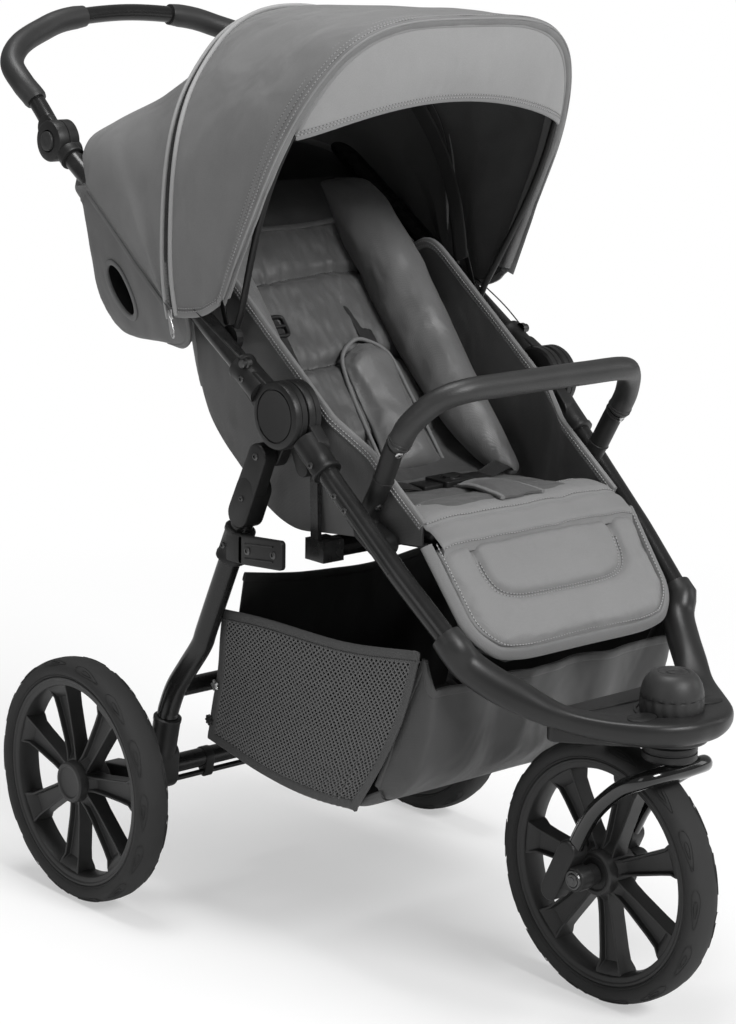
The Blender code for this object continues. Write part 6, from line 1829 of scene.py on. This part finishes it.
def thigh_pad(length):
    """The light cloth that covers the seat's front edge and turns down to the footrest."""
    path = [seat_place(0, length - 0.066, 0.0330), seat_place(0, length - 0.040, 0.0362),
            seat_place(0, length - 0.014, 0.0350),
            seat_place(0, length + 0.002, 0.0290), foot_place(0, 0.004, 0.0262), foot_place(0, 0.011, 0.0222),
            foot_place(0, 0.017, 0.0190)]
    path = resample(smooth_path(path, 6), 30)
    rows = []
    for k in range(45):
        a = math.sin(math.pi * (k / 44 - 0.5))
        edge = max(0.0, 1 - abs(a) ** 8) ** 0.5
        row = []
        for j, p in enumerate(path):
            t = j / 30
            dip = 0.0032 * groove(t, 0.60, 0.05) + 0.0018 * fbm((a * 0.15, t * 0.08, 0.5), 30.0)
            row.append(Vector((0.1465 * a, p.y, p.z - dip - 0.006 * (1 - edge))))
        rows.append(row)
    behind = seat_place(0, length - 0.05, -0.10)
    pad = cloth("seat_front_cloth", rows, 0.0050, "foot", "footrest_cloth", None, away=behind, sharp=80.0)
    shape = Shape()
    facing = normals_of(rows)
    sign = 1 if facing[22][8].z > 0 else -1
    for j, lift in ((2, 0.0029), (17, 0.0031), (27, 0.0029)):
        shape.tube([row[j] + line[j] * sign * lift for row, line in zip(rows, facing)][2:-2], STITCH, 6)
    seam = shape.piece("seat_front_stitching", "thread", None, "footrest_cloth")
    for piece in (pad, seam):
        seat_place(0, length - 0.010, 0.030)
        foot_place(0, 0.008, 0.024)
        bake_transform(piece)


QUILT_LINES = (0.180, 0.300)


def back_top(u, v):
    along = 0.056 + 0.380 * v
    crown = 0.0250 + 0.0030 * math.cos(u * 3.0)
    for line in QUILT_LINES:
        crown -= 0.0060 * groove(along, line, 0.0075) * step(0.80, 0.66, abs(u))
    crown -= 0.0050 * groove(abs(u), 0.70, 0.05)
    crown -= 0.0035 * groove(abs(u), 0.23, 0.035) * step(0.30, 0.27, along)
    crown += 0.0022 * fbm((u * 0.145, along, 0.7), 14.0) + 0.0010 * fbm((u * 0.145, along, 0.2), 36.0)
    return max(0.006, crown)


def back_seams(co):
    """Draws the quilting lines into the puffed cushion, with puckers running off them."""
    origin = back_place(0, 0, 0)
    run, rise = back_place(0, 1, 0) - origin, back_place(0, 0, 1) - origin
    along, high = (co - origin).dot(run), (co - origin).dot(rise)
    if high < 0.016:
        return co
    inside = step(0.125, 0.105, abs(co.x))
    dip = 0.0
    for line in QUILT_LINES:
        gap = along - line - 0.004 * math.sin(co.x * 22.0)
        dip += 0.0055 * groove(gap, 0.0, 0.0055) * inside
        pucker = math.sin(co.x * 210.0 + 5.0 * fbm((co.x, line, 0.3), 20.0))
        dip += 0.0016 * pucker * groove(gap, 0.0, 0.022) * inside
    dip += 0.0040 * groove(abs(co.x), 0.103, 0.0060) * step(0.10, 0.14, along)
    dip += 0.0024 * fbm((co.x * 1.6, along * 0.6, 0.4), 34.0)
    return co - rise * max(-0.002, dip)


def backrest():
    pad = pad_mesh("back_cushion", back_place, SEAT_HALF - 0.001, 0.379, 0.0056, back_top, "seat", "seat_cloth",
                         start=0.0565, across=60, along=110)
    stuffed(pad, cap=0.006, seams=back_seams)
    bpy.context.view_layer.update()
    down = back_place(0, 0, 0) - back_place(0, 0, 1)
    lines = [settle(pad, [back_place(0.105 * (2 * k / 40 - 1),
                                     line + 0.004 * math.sin(0.105 * (2 * k / 40 - 1) * 22.0), 0.07)
                          for k in range(41)], down, 0.0004) for line in QUILT_LINES]
    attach(pad, "backrest")
    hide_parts("back_pad")
    shape = Shape()
    for line in lines:
        shape.tube(line, 0.0007, 6)
    shape.piece("back_stitching", "dark_thread", "backrest", "seat_cloth")
    seat_join()
    bolsters()
    head_flap()
    harness()


def seat_join():
    """The cloth that runs from the back cushion round into the seat."""
    path = [back_place(0, 0.086, 0.0270), back_place(0, 0.064, 0.0285), back_place(0, 0.046, 0.0310),
            seat_place(0, 0.047, 0.0335), seat_place(0, 0.066, 0.0330), seat_place(0, 0.088, 0.0300)]
    path = resample(smooth_path(path, 6), 26)
    rows = []
    for k in range(49):
        a = 2 * k / 48 - 1
        row = []
        for j, p in enumerate(path):
            soft = 0.0024 * fbm((a * 0.15, j * 0.004, 0.6), 24.0) - 0.010 * abs(a) ** 10
            row.append(Vector((0.160 * a, p.y, p.z + soft)))
        rows.append(row)
    sheet = cloth("seat_join_cloth", rows, 0.0030, "seat", "seat_cloth", "backrest", away=back_place(0, 0.0, -0.1))


def bolsters():
    """The thick rolls down both sides of the back, flattened and bound at their upper ends."""
    stations = [(0.430, 0.036, 0.120, 0.0400, 0.0040), (0.422, 0.040, 0.120, 0.0430, 0.0120),
                (0.400, 0.046, 0.119, 0.0430, 0.0220), (0.360, 0.052, 0.118, 0.0430, 0.0310),
                (0.300, 0.056, 0.118, 0.0430, 0.0345), (0.220, 0.058, 0.117, 0.0410, 0.0340),
                (0.140, 0.060, 0.119, 0.0380, 0.0320), (0.070, 0.064, 0.122, 0.0320, 0.0280),
                (0.020, 0.070, 0.126, 0.0240, 0.0220), (-0.010, 0.078, 0.130, 0.0150, 0.0140),
                (-0.022, 0.082, 0.131, 0.0060, 0.0060)]
    fine = []
    keys = [Vector((a, b, c)) for a, b, c, d, e in stations]
    sizes = [Vector((d, e, 0)) for a, b, c, d, e in stations]
    for p, s in zip(smooth_path(keys, 6), smooth_path(sizes, 6)):
        fine.append((p.x, p.y, p.z, s.x, s.y))
    for name, side in SIDES:
        rows = []
        for along, up, x, wide, thick in fine:
            if side < 0:
                slim = step(0.34, 0.29, along)
                wide, x = wide * (1 - 0.46 * slim), x + 0.019 * slim
            ring = []
            for j in range(40):
                t = 2 * math.pi * j / 40
                c, s = math.cos(t), math.sin(t)
                point = back_place(side * x + wide * c, along, up + thick * s)
                swell = 1 + 0.05 * fbm(point, 12.0) + 0.03 * fbm(point, 30.0)
                swell -= 0.07 * fbm((c * 0.11, s * 0.11, along * 0.35), 22.0) * step(0.43, 0.38, along)
                swell -= 0.07 * groove(t, 2.2 if side > 0 else 0.94, 0.16) * step(0.02, 0.12, along) * step(0.43,
                        0.36, along)
                ring.append(back_place(side * x + wide * c * swell, along, up + thick * s * swell))
            rows.append(ring)
        shape = Shape()
        first = shape.grid(rows, close=True)
        shape.cap(first, 40, 0, False)
        shape.cap(first, 40, (len(rows) - 1) * 40, True)
        roll = shape.piece(f"back_bolster_{name}", "roll", None, "seat_cloth", sharp=0)
        stuffed(roll, cap=0.006)
        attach(roll, "backrest")
        shape = Shape()
        path = [back_place(side * 0.120 + 0.040 * (2 * k / 20 - 1), 0.4285 - 0.004 * (2 * k / 20 - 1) ** 2, 0.034)
                for k in range(21)]
        wide = [back_place(0, 1, 0) - back_place(0, 0, 0)] * 21
        band(shape, path, wide, 0.0050, 0.0045)
        shape.piece(f"bolster_binding_{name}", "wall_binding", "backrest", "seat_cloth")


def head_flap():
    rows = []
    for i in range(17):
        v = i / 16
        row = []
        for j in range(41):
            u = 2 * j / 40 - 1
            along = lerp(0.437, 0.372 - 0.010 * (1 - u * u), v)
            lift = 0.0370 + 0.010 * math.sin(math.pi * min(1.0, v * 1.1)) * (1 - 0.4 * u * u) + 0.004 * v
            lift += 0.0020 * fbm((u * 0.1, along, 0.4), 22.0)
            row.append(back_place(0.112 * u, along, lift if v > 0.05 else 0.030))
        rows.append(row)
    behind = back_place(0, 0.40, -0.1)
    flap = cloth("head_flap_cloth", rows, 0.0030, "dark", "seat_cloth", "backrest", away=behind)
    shape = Shape()
    edge_band(shape, rows[16], rows[14], 0.0036, 0.0024)
    shape.piece("head_flap_binding", "seat", "backrest", "seat_cloth")
    shape = Shape()
    lower = [back_place(0.118 * (2 * k / 30 - 1), 0.352 + 0.006 * (1 - (2 * k / 30 - 1) ** 2),
                        0.0335) for k in range(31)]
    shape.tube(lower, 0.0022, 10)
    shape.piece("back_upper_piping", "seat", "backrest", "seat_cloth")


def strap(shape, points, wide, half=0.0125, thick=0.0012):
    path = smooth_path(points, 6)
    axis = [Vector(wide)] * len(path) if not isinstance(wide, list) else wide
    return band(shape, path, axis, half, thick)


def harness():
    for k, (x, low, high) in enumerate(((-0.084, 0.202, 0.254), (0.046, 0.196, 0.262))):
        shape = Shape()
        hole = []
        for j in range(25):
            t = math.pi * j / 24
            hole.append(back_place(x - 0.022 * math.cos(t), lerp(low, high, math.sin(t) ** 0.6), 0.0335))
        shape.tube(hole, 0.0022, 10)
        shape.piece(f"strap_slot_binding_{k}", "roll", "backrest", "seat_cloth")
        shape = Shape()
        middle = [back_place(x, lerp(low - 0.004, high - 0.003, j / 8), 0.0318) for j in range(9)]
        wide = [Vector((1, 0, 0))] * 9
        band(shape, middle, wide, 0.0195, 0.0016)
        shape.piece(f"strap_slot_{k}", "dark", "backrest", "seat_cloth")
        shape = Shape()
        strap(shape, [back_place(x + 0.003, high - 0.006, 0.033), back_place(x + 0.003, high - 0.016, 0.0365),
                      back_place(x + 0.004, 0.215, 0.0375), back_place(x + 0.006, 0.150, 0.0380),
                      back_place(x * 0.8 + 0.008, 0.090, 0.0390), back_place(x * 0.5 + 0.006, 0.045, 0.046)],
              (1, 0, 0), 0.0115, 0.0011)
        shape.piece(f"shoulder_strap_{k}", "webbing", "backrest", "seat_cloth")
    guide = Shape()
    x, high = -0.084, 0.246
    frame_points = [(-0.019, 0.0), (0.019, 0.0), (0.019, -0.026), (-0.019, -0.026)]
    corners = []
    for a, b in frame_points:
        corners.append(back_place(x + a, high + b, 0.0395))
    guide.tube(round_loop(corners, 0.006), 0.0026, 10, closed=True)
    guide.tube([back_place(x - 0.018, high - 0.013, 0.0395), back_place(x + 0.018, high - 0.013, 0.0395)], 0.0022, 10)
    guide.piece("strap_guide", "plastic", "backrest", "plastic")

    def bib(u, v):
        crown = 0.0130 + 0.0035 * math.cos(u * 2.6)
        crown -= 0.0030 * groove(abs(u), 0.80, 0.06) + 0.0030 * groove(v, 0.93, 0.03)
        return crown + 0.0015 * fbm((u * 0.05, v * 0.17, 0.1), 26.0)

    def narrow(v):
        return 1.0 - 0.06 * v if v < 0.76 else 0.954 * max(0.20, 1 - ((v - 0.76) / 0.24) ** 3.4) ** 0.6

    def place(x, along, up):
        return back_place(x + 0.030, along, up + 0.004 * step(0.12, 0.20, along))

    pad = pad_mesh("chest_pad", place, 0.046, 0.176, 0.0345, bib, "roll", "seat_cloth", narrow, 34, 50, 0.022)
    stuffed(pad, 0.0040, cap=0.005)
    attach(pad, "backrest")
    shape = Shape()
    outline = []
    for k in range(45):
        t = k / 44
        v = 0.05 + 0.95 * math.sin(math.pi * t) ** 0.55
        u = -math.cos(math.pi * t)
        x = 0.0465 * (1 if u > 0 else -1) * min(1.0, abs(u) ** 0.35) * (narrow(v) if v < 0.995 else 0.12)
        outline.append(place(x if abs(u) > 0.02 else 0.0, 0.022 + v * 0.1805, 0.0380))
    shape.tube(resample(outline, 60), 0.0026, 10)
    shape.piece("chest_pad_binding", "wall_binding", "backrest", "seat_cloth")
    buckle()


def round_loop(corners, radius, steps=5):
    """A closed polygon with its corners rounded."""
    out, count = [], len(corners)
    for k, p in enumerate(corners):
        a = p + (corners[k - 1] - p).normalized() * radius
        b = p + (corners[(k + 1) % count] - p).normalized() * radius
        for j in range(steps + 1):
            t = j / steps
            out.append(a.lerp(p, t).lerp(p.lerp(b, t), t))
    return out


def buckle():
    y = -0.345
    low, high = frame_box("harness_buckle")
    z = low.z
    tall = high.z - low.z
    body = []
    for dx, dy in ((-0.020, -0.016), (0.020, -0.016), (0.020, 0.016), (-0.020, 0.016)):
        for h in (0.0002, tall):
            for k in range(12):
                t = 2 * math.pi * k / 12
                body.append(at(dx + 0.0035 * math.cos(t), y + dy + 0.0035 * math.sin(t), z + h))
    piece = hull_piece("harness_buckle_body", [body], "plastic", "front_frame", "plastic", 0.0020, 3)
    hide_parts("harness_buckle")
    shape = Shape()
    ring = [at(0.0118 * math.cos(2 * math.pi * k / 40), y + 0.0118 * math.sin(2 * math.pi * k / 40),
               z + tall) for k in range(40)]
    shape.tube(ring, 0.0010, 8, closed=True)
    shape.piece("buckle_ring", "plastic", "front_frame", "plastic")
    for k, side in enumerate((-1, 1)):
        tongue = []
        for dx, dy in ((0.020, -0.010), (0.050, -0.012), (0.050, 0.012), (0.020, 0.010)):
            for h in (0.0030, 0.0095):
                for j in range(10):
                    t = 2 * math.pi * j / 10
                    tongue.append(at(side * (dx + 0.0030 * math.cos(t)), y + dy + 0.0030 * math.sin(t), z + h))
        hull_piece(f"buckle_tongue_{k}", [tongue], "plastic", "front_frame", "plastic", 0.0014, 2)
        shape = Shape()
        strap(shape, [at(side * 0.050, y, z + 0.0060), at(side * 0.075, y + 0.008, z + 0.010),
                      at(side * 0.110, y + 0.028, z + 0.008), at(side * 0.138, y + 0.050, z - 0.004)], (0, 1,
                              0.15), 0.0120)
        shape.piece(f"waist_strap_{k}", "webbing", "front_frame", "seat_cloth")
    shape = Shape()
    strap(shape, [at(0, y - 0.019, z + 0.006), at(0, y - 0.036, z + 0.004), at(0, y - 0.056, z - 0.002),
                  at(0, y - 0.068, z - 0.010)], (1, 0, 0), 0.0140, 0.0014)
    shape.piece("crotch_strap", "webbing", "front_frame", "seat_cloth")
    rows = []
    for i in range(13):
        v = i / 12
        row = []
        for j in range(21):
            u = 2 * j / 20 - 1
            half = 0.034 * (1 - 0.35 * v)
            lift = 0.0020 + 0.012 * math.sin(math.pi * v * 0.8) * (1 - 0.5 * u * u) + 0.0015 * fbm((u * 0.05,
                    v * 0.1, 0), 30.0)
            row.append(seat_place(half * u + 0.01, 0.215 - 0.085 * v, 0.0370 + lift))
        rows.append(row)
    flap = cloth("crotch_flap", rows, 0.0030, "seat", "seat_cloth", "front_frame", away=seat_place(0, 0.17, -0.1))
    shape = Shape()
    edge_band(shape, column(rows, 0), column(rows, 2), 0.0030, 0.0022)
    edge_band(shape, column(rows, 20), column(rows, 18), 0.0030, 0.0022)
    edge_band(shape, rows[12], rows[10], 0.0030, 0.0022)
    shape.piece("crotch_flap_binding", "wall_binding", "front_frame", "seat_cloth")


def frame_box(node):
    low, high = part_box(node)
    return Vector(low), Vector(high)


FOOT_HALF, FOOT_LENGTH, FOOT_GAP = 0.161, 0.146, 0.0008
CHANNEL_HALF, CHANNEL_TOP, CHANNEL_TALL = 0.66, 0.06, 0.50


def foot_channel(u, v):
    """1.0 on the sewn channel of the footrest, less inside it and more outside it."""
    return ((abs(u) / CHANNEL_HALF) ** 5 + (max(0.0, v - CHANNEL_TOP) / CHANNEL_TALL) ** 5) ** 0.2


def foot_trim(v):
    corner = max(0.0, (v - 0.62) / 0.38)
    return 1.0 - 0.035 * v - 0.25 * corner ** 2.2


def footrest():
    def top(u, v):
        channel = groove(foot_channel(u, v), 1.0, 0.055)
        low = 0.0034 * groove(v, 0.955, 0.03) + 0.0030 * groove(abs(u), 0.93, 0.03)
        return 0.0185 - 0.0065 * channel - low + 0.0008 * fbm((u * 0.16, v * 0.15, 0.9), 24.0)

    pad = pad_mesh("footrest_cushion", foot_place, FOOT_HALF, FOOT_LENGTH, 0.0045, top, "foot", "footrest_cloth",
                   foot_trim,
                         64, 56, FOOT_GAP)
    origin = foot_place(0, 0, 0)
    run, rise = foot_place(0, 1, 0) - origin, foot_place(0, 0, 1) - origin

    def seams(co):
        v = ((co - origin).dot(run) - FOOT_GAP) / FOOT_LENGTH
        if (co - origin).dot(rise) < 0.014 or not 0 < v < 1:
            return co
        u = co.x / (FOOT_HALF * foot_trim(v))
        dip = 0.0042 * groove(foot_channel(u, v), 1.0, 0.045) + 0.0012 * fbm((co.x, v * 0.15, 0.2), 30.0)
        return co - rise * max(-0.001, dip)

    stuffed(pad, 0.0045, cap=0.004, seams=seams)
    bpy.context.view_layer.update()
    dropped = []
    for shift in (-0.022, 0.022):
        line = []
        for k in range(111):
            a = math.pi * lerp(0.02, 0.98, k / 110)
            u = -CHANNEL_HALF * (1 + shift) * math.copysign(abs(math.cos(a)) ** 0.4, math.cos(a))
            v = CHANNEL_TOP + (CHANNEL_TALL + shift * 0.5) * math.sin(a) ** 0.4
            line.append(foot_place(FOOT_HALF * u * foot_trim(v), FOOT_GAP + v * FOOT_LENGTH, 0.06))
        dropped.append(settle(pad, resample(line, 110), -rise, 0.0004))
    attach(pad, "footrest")
    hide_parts("footrest_pad")
    outline = []
    for k in range(121):
        t = k / 120
        if t < 0.3:
            u, v = -1.0, lerp(0.0, 0.93, t / 0.3)
        elif t < 0.7:
            u, v = lerp(-1.0, 1.0, (t - 0.3) / 0.4), 0.985 - 0.05 * abs(lerp(-1.0, 1.0, (t - 0.3) / 0.4)) ** 8
        else:
            u, v = 1.0, lerp(0.93, 0.0, (t - 0.7) / 0.3)
        outline.append((u, v))
    points = resample([foot_place(0.160 * u * foot_trim(v), FOOT_GAP + v * FOOT_LENGTH, 0.0125) for u, v in outline],
                      120)
    points = resample(smooth_path(resample(points, 34), 6), 120)
    centre = foot_place(0, 0.05, 0.0125)
    wide = [(centre - p).normalized() for p in points]
    shape = Shape()
    up = (foot_place(0, 0, 1) - foot_place(0, 0, 0)).normalized()
    band(shape, [p + w * 0.0020 for p, w in zip(points, wide)], [w * 0.75 + up * 0.5 for w in wide], 0.0070, 0.0040)
    shape.piece("footrest_binding", "foot_binding", "footrest", "footrest_cloth")
    shape = Shape()
    shape.tube([p + w * 0.0100 + up * 0.0082 for p, w in zip(points, wide)], 0.0007, 6)
    for line in dropped:
        shape.tube(line, 0.0007, 6)
    shape.piece("footrest_stitching", "thread", "footrest", "footrest_cloth")


# Basket

TRAY_X = 0.188
TRAY = [(-0.1450, 0.2220), (-0.1712, 0.2110), (-0.2185, 0.2062), (-0.2722, 0.2040), (-0.3174, 0.2005),
        (-0.3703, 0.2035), (-0.4088, 0.2075), (-0.4480, 0.2250)]
NET_TOP = [(-0.1700, 0.3850), (-0.2517, 0.3908), (-0.3921, 0.3947), (-0.5156, 0.4114)]
NET_LOW = [(-0.1395, 0.2210), (-0.2350, 0.2045), (-0.3174, 0.1985), (-0.4085, 0.2055)]


def basket():
    line = resample(smooth_path([Vector((0, *p)) for p in TRAY], 6), 60)
    section = [(-1.0, 0.0110), (-1.0, 0.0060), (-1.0, 0.0025), (-0.985, 0.0006), (-0.95, 0.0), (-0.5, 0.0), (0.0, 0.0),
               (0.5, 0.0), (0.95, 0.0), (0.985, 0.0006), (1.0, 0.0025), (1.0, 0.0060), (1.0, 0.0110)]
    rows = []
    for p in line:
        rows.append(resample([at(TRAY_X * a, p.y, p.z + b) for a, b in section], 60))
    rows = crumple(rows, lambda i, j, p: 0.0016 * fbm(p, 12.0) * math.sin(math.pi * i) * math.sin(math.pi * j))
    base = cloth("basket_floor", rows, 0.0036, "basket", "basket_cloth", "front_frame", "basket_dark",
                 away=at(0, -0.3, 0.5))
    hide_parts("basket_base")
    shape = Shape()
    for j, k in ((0, 2), (60, 58)):
        edge_band(shape, column(rows, j), column(rows, k), 0.0042, 0.0028)
    shape.piece("basket_floor_binding", "basket", "front_frame", "basket_cloth")
    basket_front()
    basket_rear()
    for name, side in SIDES:
        basket_net(name, side)


def basket_front():
    heading = math.degrees(math.atan2(TRAY[-1][1] - TRAY[-2][1], TRAY[-1][0] - TRAY[-2][0]))
    start = polar(TRAY[-1], heading, 0.0009)
    front = [start, polar(start, heading, 0.020), (-0.4990, 0.2660), (-0.5200, 0.3150), (-0.5300, 0.3700)]
    line = resample(smooth_path([Vector((0, *p)) for p in front], 8), 36)
    flap = [Vector((0, *p)) for p in ((-0.4400, 0.2425), (-0.4560, 0.2800), (-0.4700, 0.3200), (-0.4920, 0.3640),
                                      (-0.5140, 0.4040))]
    flap = resample(smooth_path(flap, 8), 36)
    half = TRAY_X + 0.001
    rows = []
    for k, (p, q) in enumerate(zip(line, flap)):
        share = k / 36
        width = half - 0.004 * (1 - share)
        left = Vector((-half, q.y + SHIFT, max(q.z, p.z + 0.002)))
        turn = Vector((-width, p.y + SHIFT + 0.004, p.z))
        points = [left, left.lerp(turn, 0.5), turn + Vector((0.002, 0.0, 0))]
        points += [at(width * a, p.y, p.z) for a in (-0.93, -0.6, -0.2, 0.2, 0.6, 0.93)]
        points += [Vector((-v.x, v.y, v.z)) for v in (points[2], points[1], points[0])]
        rows.append(resample(smooth_path(points, 5), 80))

    def height(i, j, p):
        drape = 0.0040 * math.sin(62.0 * p.x + 4.0 * fbm((p.x, 0, p.z * 0.4), 5.0)) * step(0.15, 0.7, i)
        return (drape + 0.0035 * fbm((p.x, p.y, p.z * 0.5), 10.0)) * math.sin(math.pi * j) ** 0.5 * step(0.0, 0.2, i)

    rows = crumple(rows, height)
    panel = cloth("basket_front_cloth", rows, 0.0020, "basket", "basket_cloth", "front_frame",
                  away=at(0, -0.35, 0.30))
    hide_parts("basket_front")
    shape = Shape()
    edge_band(shape, rows[36], rows[34], 0.0050, 0.0026)
    for j, k in ((0, 2), (80, 78)):
        edge_band(shape, column(rows, j), column(rows, k), 0.0040, 0.0022)
    shape.piece("basket_front_binding", "basket", "front_frame", "basket_cloth")


def basket_rear():
    rear = [(-0.1500, 0.2228), (-0.1610, 0.2700), (-0.1720, 0.3200), (-0.1830, 0.3760), (-0.1940, 0.4320)]
    line = resample(smooth_path([Vector((0, *p)) for p in rear], 6), 30)
    width = TRAY_X - 0.007
    rows = []
    for p in line:
        rows.append([at(width * a, p.y, p.z - 0.016 * (1 - a * a) * (p.z - 0.2228) / 0.209) for a in
                     [2 * k / 48 - 1 for k in range(49)]])

    def height(i, j, p):
        return 0.0045 * fbm((p.x, p.y, p.z * 0.5), 9.0) * math.sin(math.pi * j) ** 0.5 * step(0.0, 0.2, i)

    rows = crumple(rows, height)
    panel = cloth("basket_rear_cloth", rows, 0.0020, "basket_dark", "basket_cloth", "front_frame",
                  away=at(0, -0.40, 0.30))
    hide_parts("basket_rear")
    shape = Shape()
    edge_band(shape, rows[30], rows[28], 0.0055, 0.0026)
    shape.piece("basket_rear_binding", "basket_dark", "front_frame", "basket_cloth")


def basket_net(name, side):
    low = resample(smooth_path([Vector((0, *p)) for p in NET_LOW], 8), 56)
    top = resample(smooth_path([Vector((0, *p)) for p in NET_TOP], 8), 56)
    inside = TRAY_X + 0.0033
    rows = []
    for j in range(57):
        ahead = j / 56
        a, b = low[j], top[j]
        row = []
        for k in range(25):
            share = k / 24
            bow = (-0.002 - 0.012 * ahead) * 4 * share * (1 - share)
            flare = lerp(0.0021, 0.0077, ahead) * share
            y, z = lerp(a.y, b.y, share), lerp(a.z, b.z, share)
            row.append(at(side * (inside + flare), y + bow, z))
        rows.append(row)

    def height(i, j, p):
        gather = 0.0022 * math.sin(150.0 * i + 2.0) * step(0.45, 0.95, i) * step(0.55, 0.0, j)
        return (gather + 0.0022 * fbm(p, 11.0)) * math.sin(math.pi * min(1, j + 0.05)) ** 0.5

    rows = crumple(rows, height)
    net = cloth(f"basket_net_cloth_{name}", rows, 0.0012, "net", "net", "front_frame", away=(0, rows[28][12].y, 0.3),
                smooth=0)
    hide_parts(f"basket_net_{name}")
    shape = Shape()
    ends = ([row[-1] for row in rows], [row[-3] for row in rows], 0.0068), ([row[0] for row in rows],
            [row[2] for row in rows], 0.0060), \
        (rows[0], rows[2], 0.0060), (rows[56], rows[54], 0.0050)
    for edge, inner, half in ends:
        edge_band(shape, edge, inner, half, 0.0017)
    shape.piece(f"basket_net_hem_{name}", "basket", "front_frame", "basket_cloth")
    # A dark sheet just inside the net: painted shade for the dark seen through the net into the basket
    inward = Vector((-side * 0.0024, 0, 0))
    lining = [[p + inward for p in row] for row in rows]
    cloth(f"basket_net_painted_shade_{name}", lining, 0.0010, "basket_dark", "basket_cloth", "front_frame",
          away=(0, rows[28][12].y, 0.3))
    shape = Shape()
    top_edge, inner = [row[-1] for row in rows], [row[-3] for row in rows]
    path = [a + (b - a).normalized() * 0.0105 + Vector((side * 0.0020, 0, 0)) for a, b in zip(top_edge, inner)]
    shape.tube(path, STITCH, 6)
    shape.piece(f"basket_net_stitching_{name}", "dark_thread", "front_frame", "basket_cloth")
    for k, (y, z) in enumerate(((-0.1560, 0.2900), (-0.1450, 0.2450))):
        shape = Shape()
        points = 5 if k == 0 else 8
        profile = [(0, 0.0022), (0.0045, 0.0020), (0.0058, 0.0008), (0.0058, -0.0010)]

        def star(n, m, r, h, points=points):
            return (r * (1 + 0.22 * math.cos(points * 2 * math.pi * m / 40)), h)

        shape.lathe([(r, h * side) for r, h in profile], at(side * (inside + 0.0034), y, z), "X", 40, star)
        shape.piece(f"basket_toggle_{k}_{name}", "steel" if k == 0 else "plastic", "front_frame", "steel")


# Floor, light and world


def floor_material():
    n = Nodes("studio_floor")
    place = n.add("TexCoord").outputs["Object"]
    far = n.add("SeparateXYZ", None, Vector=place)
    spread = n.math("SQRT", n.math("ADD", n.math("POWER", far.outputs[0], 2.0), n.math("POWER", far.outputs[1], 2.0)))
    fade = n.add("MapRange", None, Value=n.ramp(spread, 0.5, 1.9), To_Min=0.45, To_Max=1.0).outputs[0]
    tone = n.grey(n.noise(place, 0.8, 2.0), 0.83, 0.86)
    n.put(n.shader.inputs["Base Color"], tone)
    n.put(n.shader.inputs["Roughness"], 0.85)
    n.shader.inputs["Specular IOR Level"].default_value = 0.1
    n.put(n.shader.inputs["Normal"], n.bump(n.noise(place, 40.0, 2.0), 0.05, 0.001))
    glow = n.add("Emission", None, Color=(1, 1, 1, 1), Strength=1.0)
    seen = n.add("LightPath").outputs["Is Camera Ray"]
    mix = n.tree.nodes.new("ShaderNodeMixShader")
    n.tree.links.new(n.math("MULTIPLY", fade, seen), mix.inputs[0])
    n.tree.links.new(n.shader.outputs[0], mix.inputs[1])
    n.tree.links.new(glow.outputs[0], mix.inputs[2])
    n.tree.links.new(mix.outputs[0], n.tree.nodes["Material Output"].inputs["Surface"])
    return n.material


def lamp(name, place, aim, size, power, spread=180.0):
    data = bpy.data.lights.new(name, "AREA")
    data.shape = "RECTANGLE"
    data.size, data.size_y = size
    data.energy = power
    data.spread = math.radians(spread)
    obj = bpy.data.objects.new(name, data)
    obj.location = place
    obj.rotation_euler = (Vector(aim) - Vector(place)).to_track_quat("-Z", "Y").to_euler()
    bpy.context.scene.collection.objects.link(obj)
    return obj


def studio():
    mesh = bpy.data.meshes.new("floor")
    size = 9.0
    mesh.from_pydata([(-size, -size, 0), (size, -size, 0), (size, size, 0), (-size, size, 0)], [], [(0, 1, 2, 3)])
    floor = bpy.data.objects.new("floor", mesh)
    mesh.materials.append(floor_material())
    bpy.context.scene.collection.objects.link(floor)
    world = bpy.data.worlds.new("studio")
    world.use_nodes = True
    tree = world.node_tree
    back = tree.nodes["Background"]
    back.inputs["Color"].default_value = (1.0, 1.0, 1.0, 1.0)
    path = tree.nodes.new("ShaderNodeLightPath")
    level = tree.nodes.new("ShaderNodeMapRange")
    level.inputs["To Min"].default_value = 0.27
    level.inputs["To Max"].default_value = 1.0
    tree.links.new(path.outputs["Is Camera Ray"], level.inputs["Value"])
    tree.links.new(level.outputs[0], back.inputs["Strength"])
    bpy.context.scene.world = world
    bpy.context.scene.view_settings.view_transform = "Standard"
    lamp("key", (0.2, -5.2, 4.4), (0.0, -0.1, 0.6), (2.2, 1.8), 330.0)
    lamp("top", (-0.2, 0.4, 6.0), (0.0, 0.0, 0.5), (2.2, 2.2), 200.0)
    lamp("left", (-5.0, -0.6, 2.4), (0.0, 0.0, 0.5), (2.0, 2.4), 24.0)
    lamp("right", (4.6, -2.6, 2.2), (0.1, -0.2, 0.6), (1.8, 2.4), 30.0)


def main():
    materials()
    camera()
    wheels()
    hubs()
    tubes()
    nose()
    swivel()
    knob()
    rear_legs()
    beam()
    carried_over()
    handle()
    bumper()
    canopy_panel, canopy_trims, rear_line = canopy()
    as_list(canopy_trims)
    visor()
    back_cover(rear_line)
    side_walls()
    seat()
    backrest()
    footrest()
    basket()
    studio()


main()
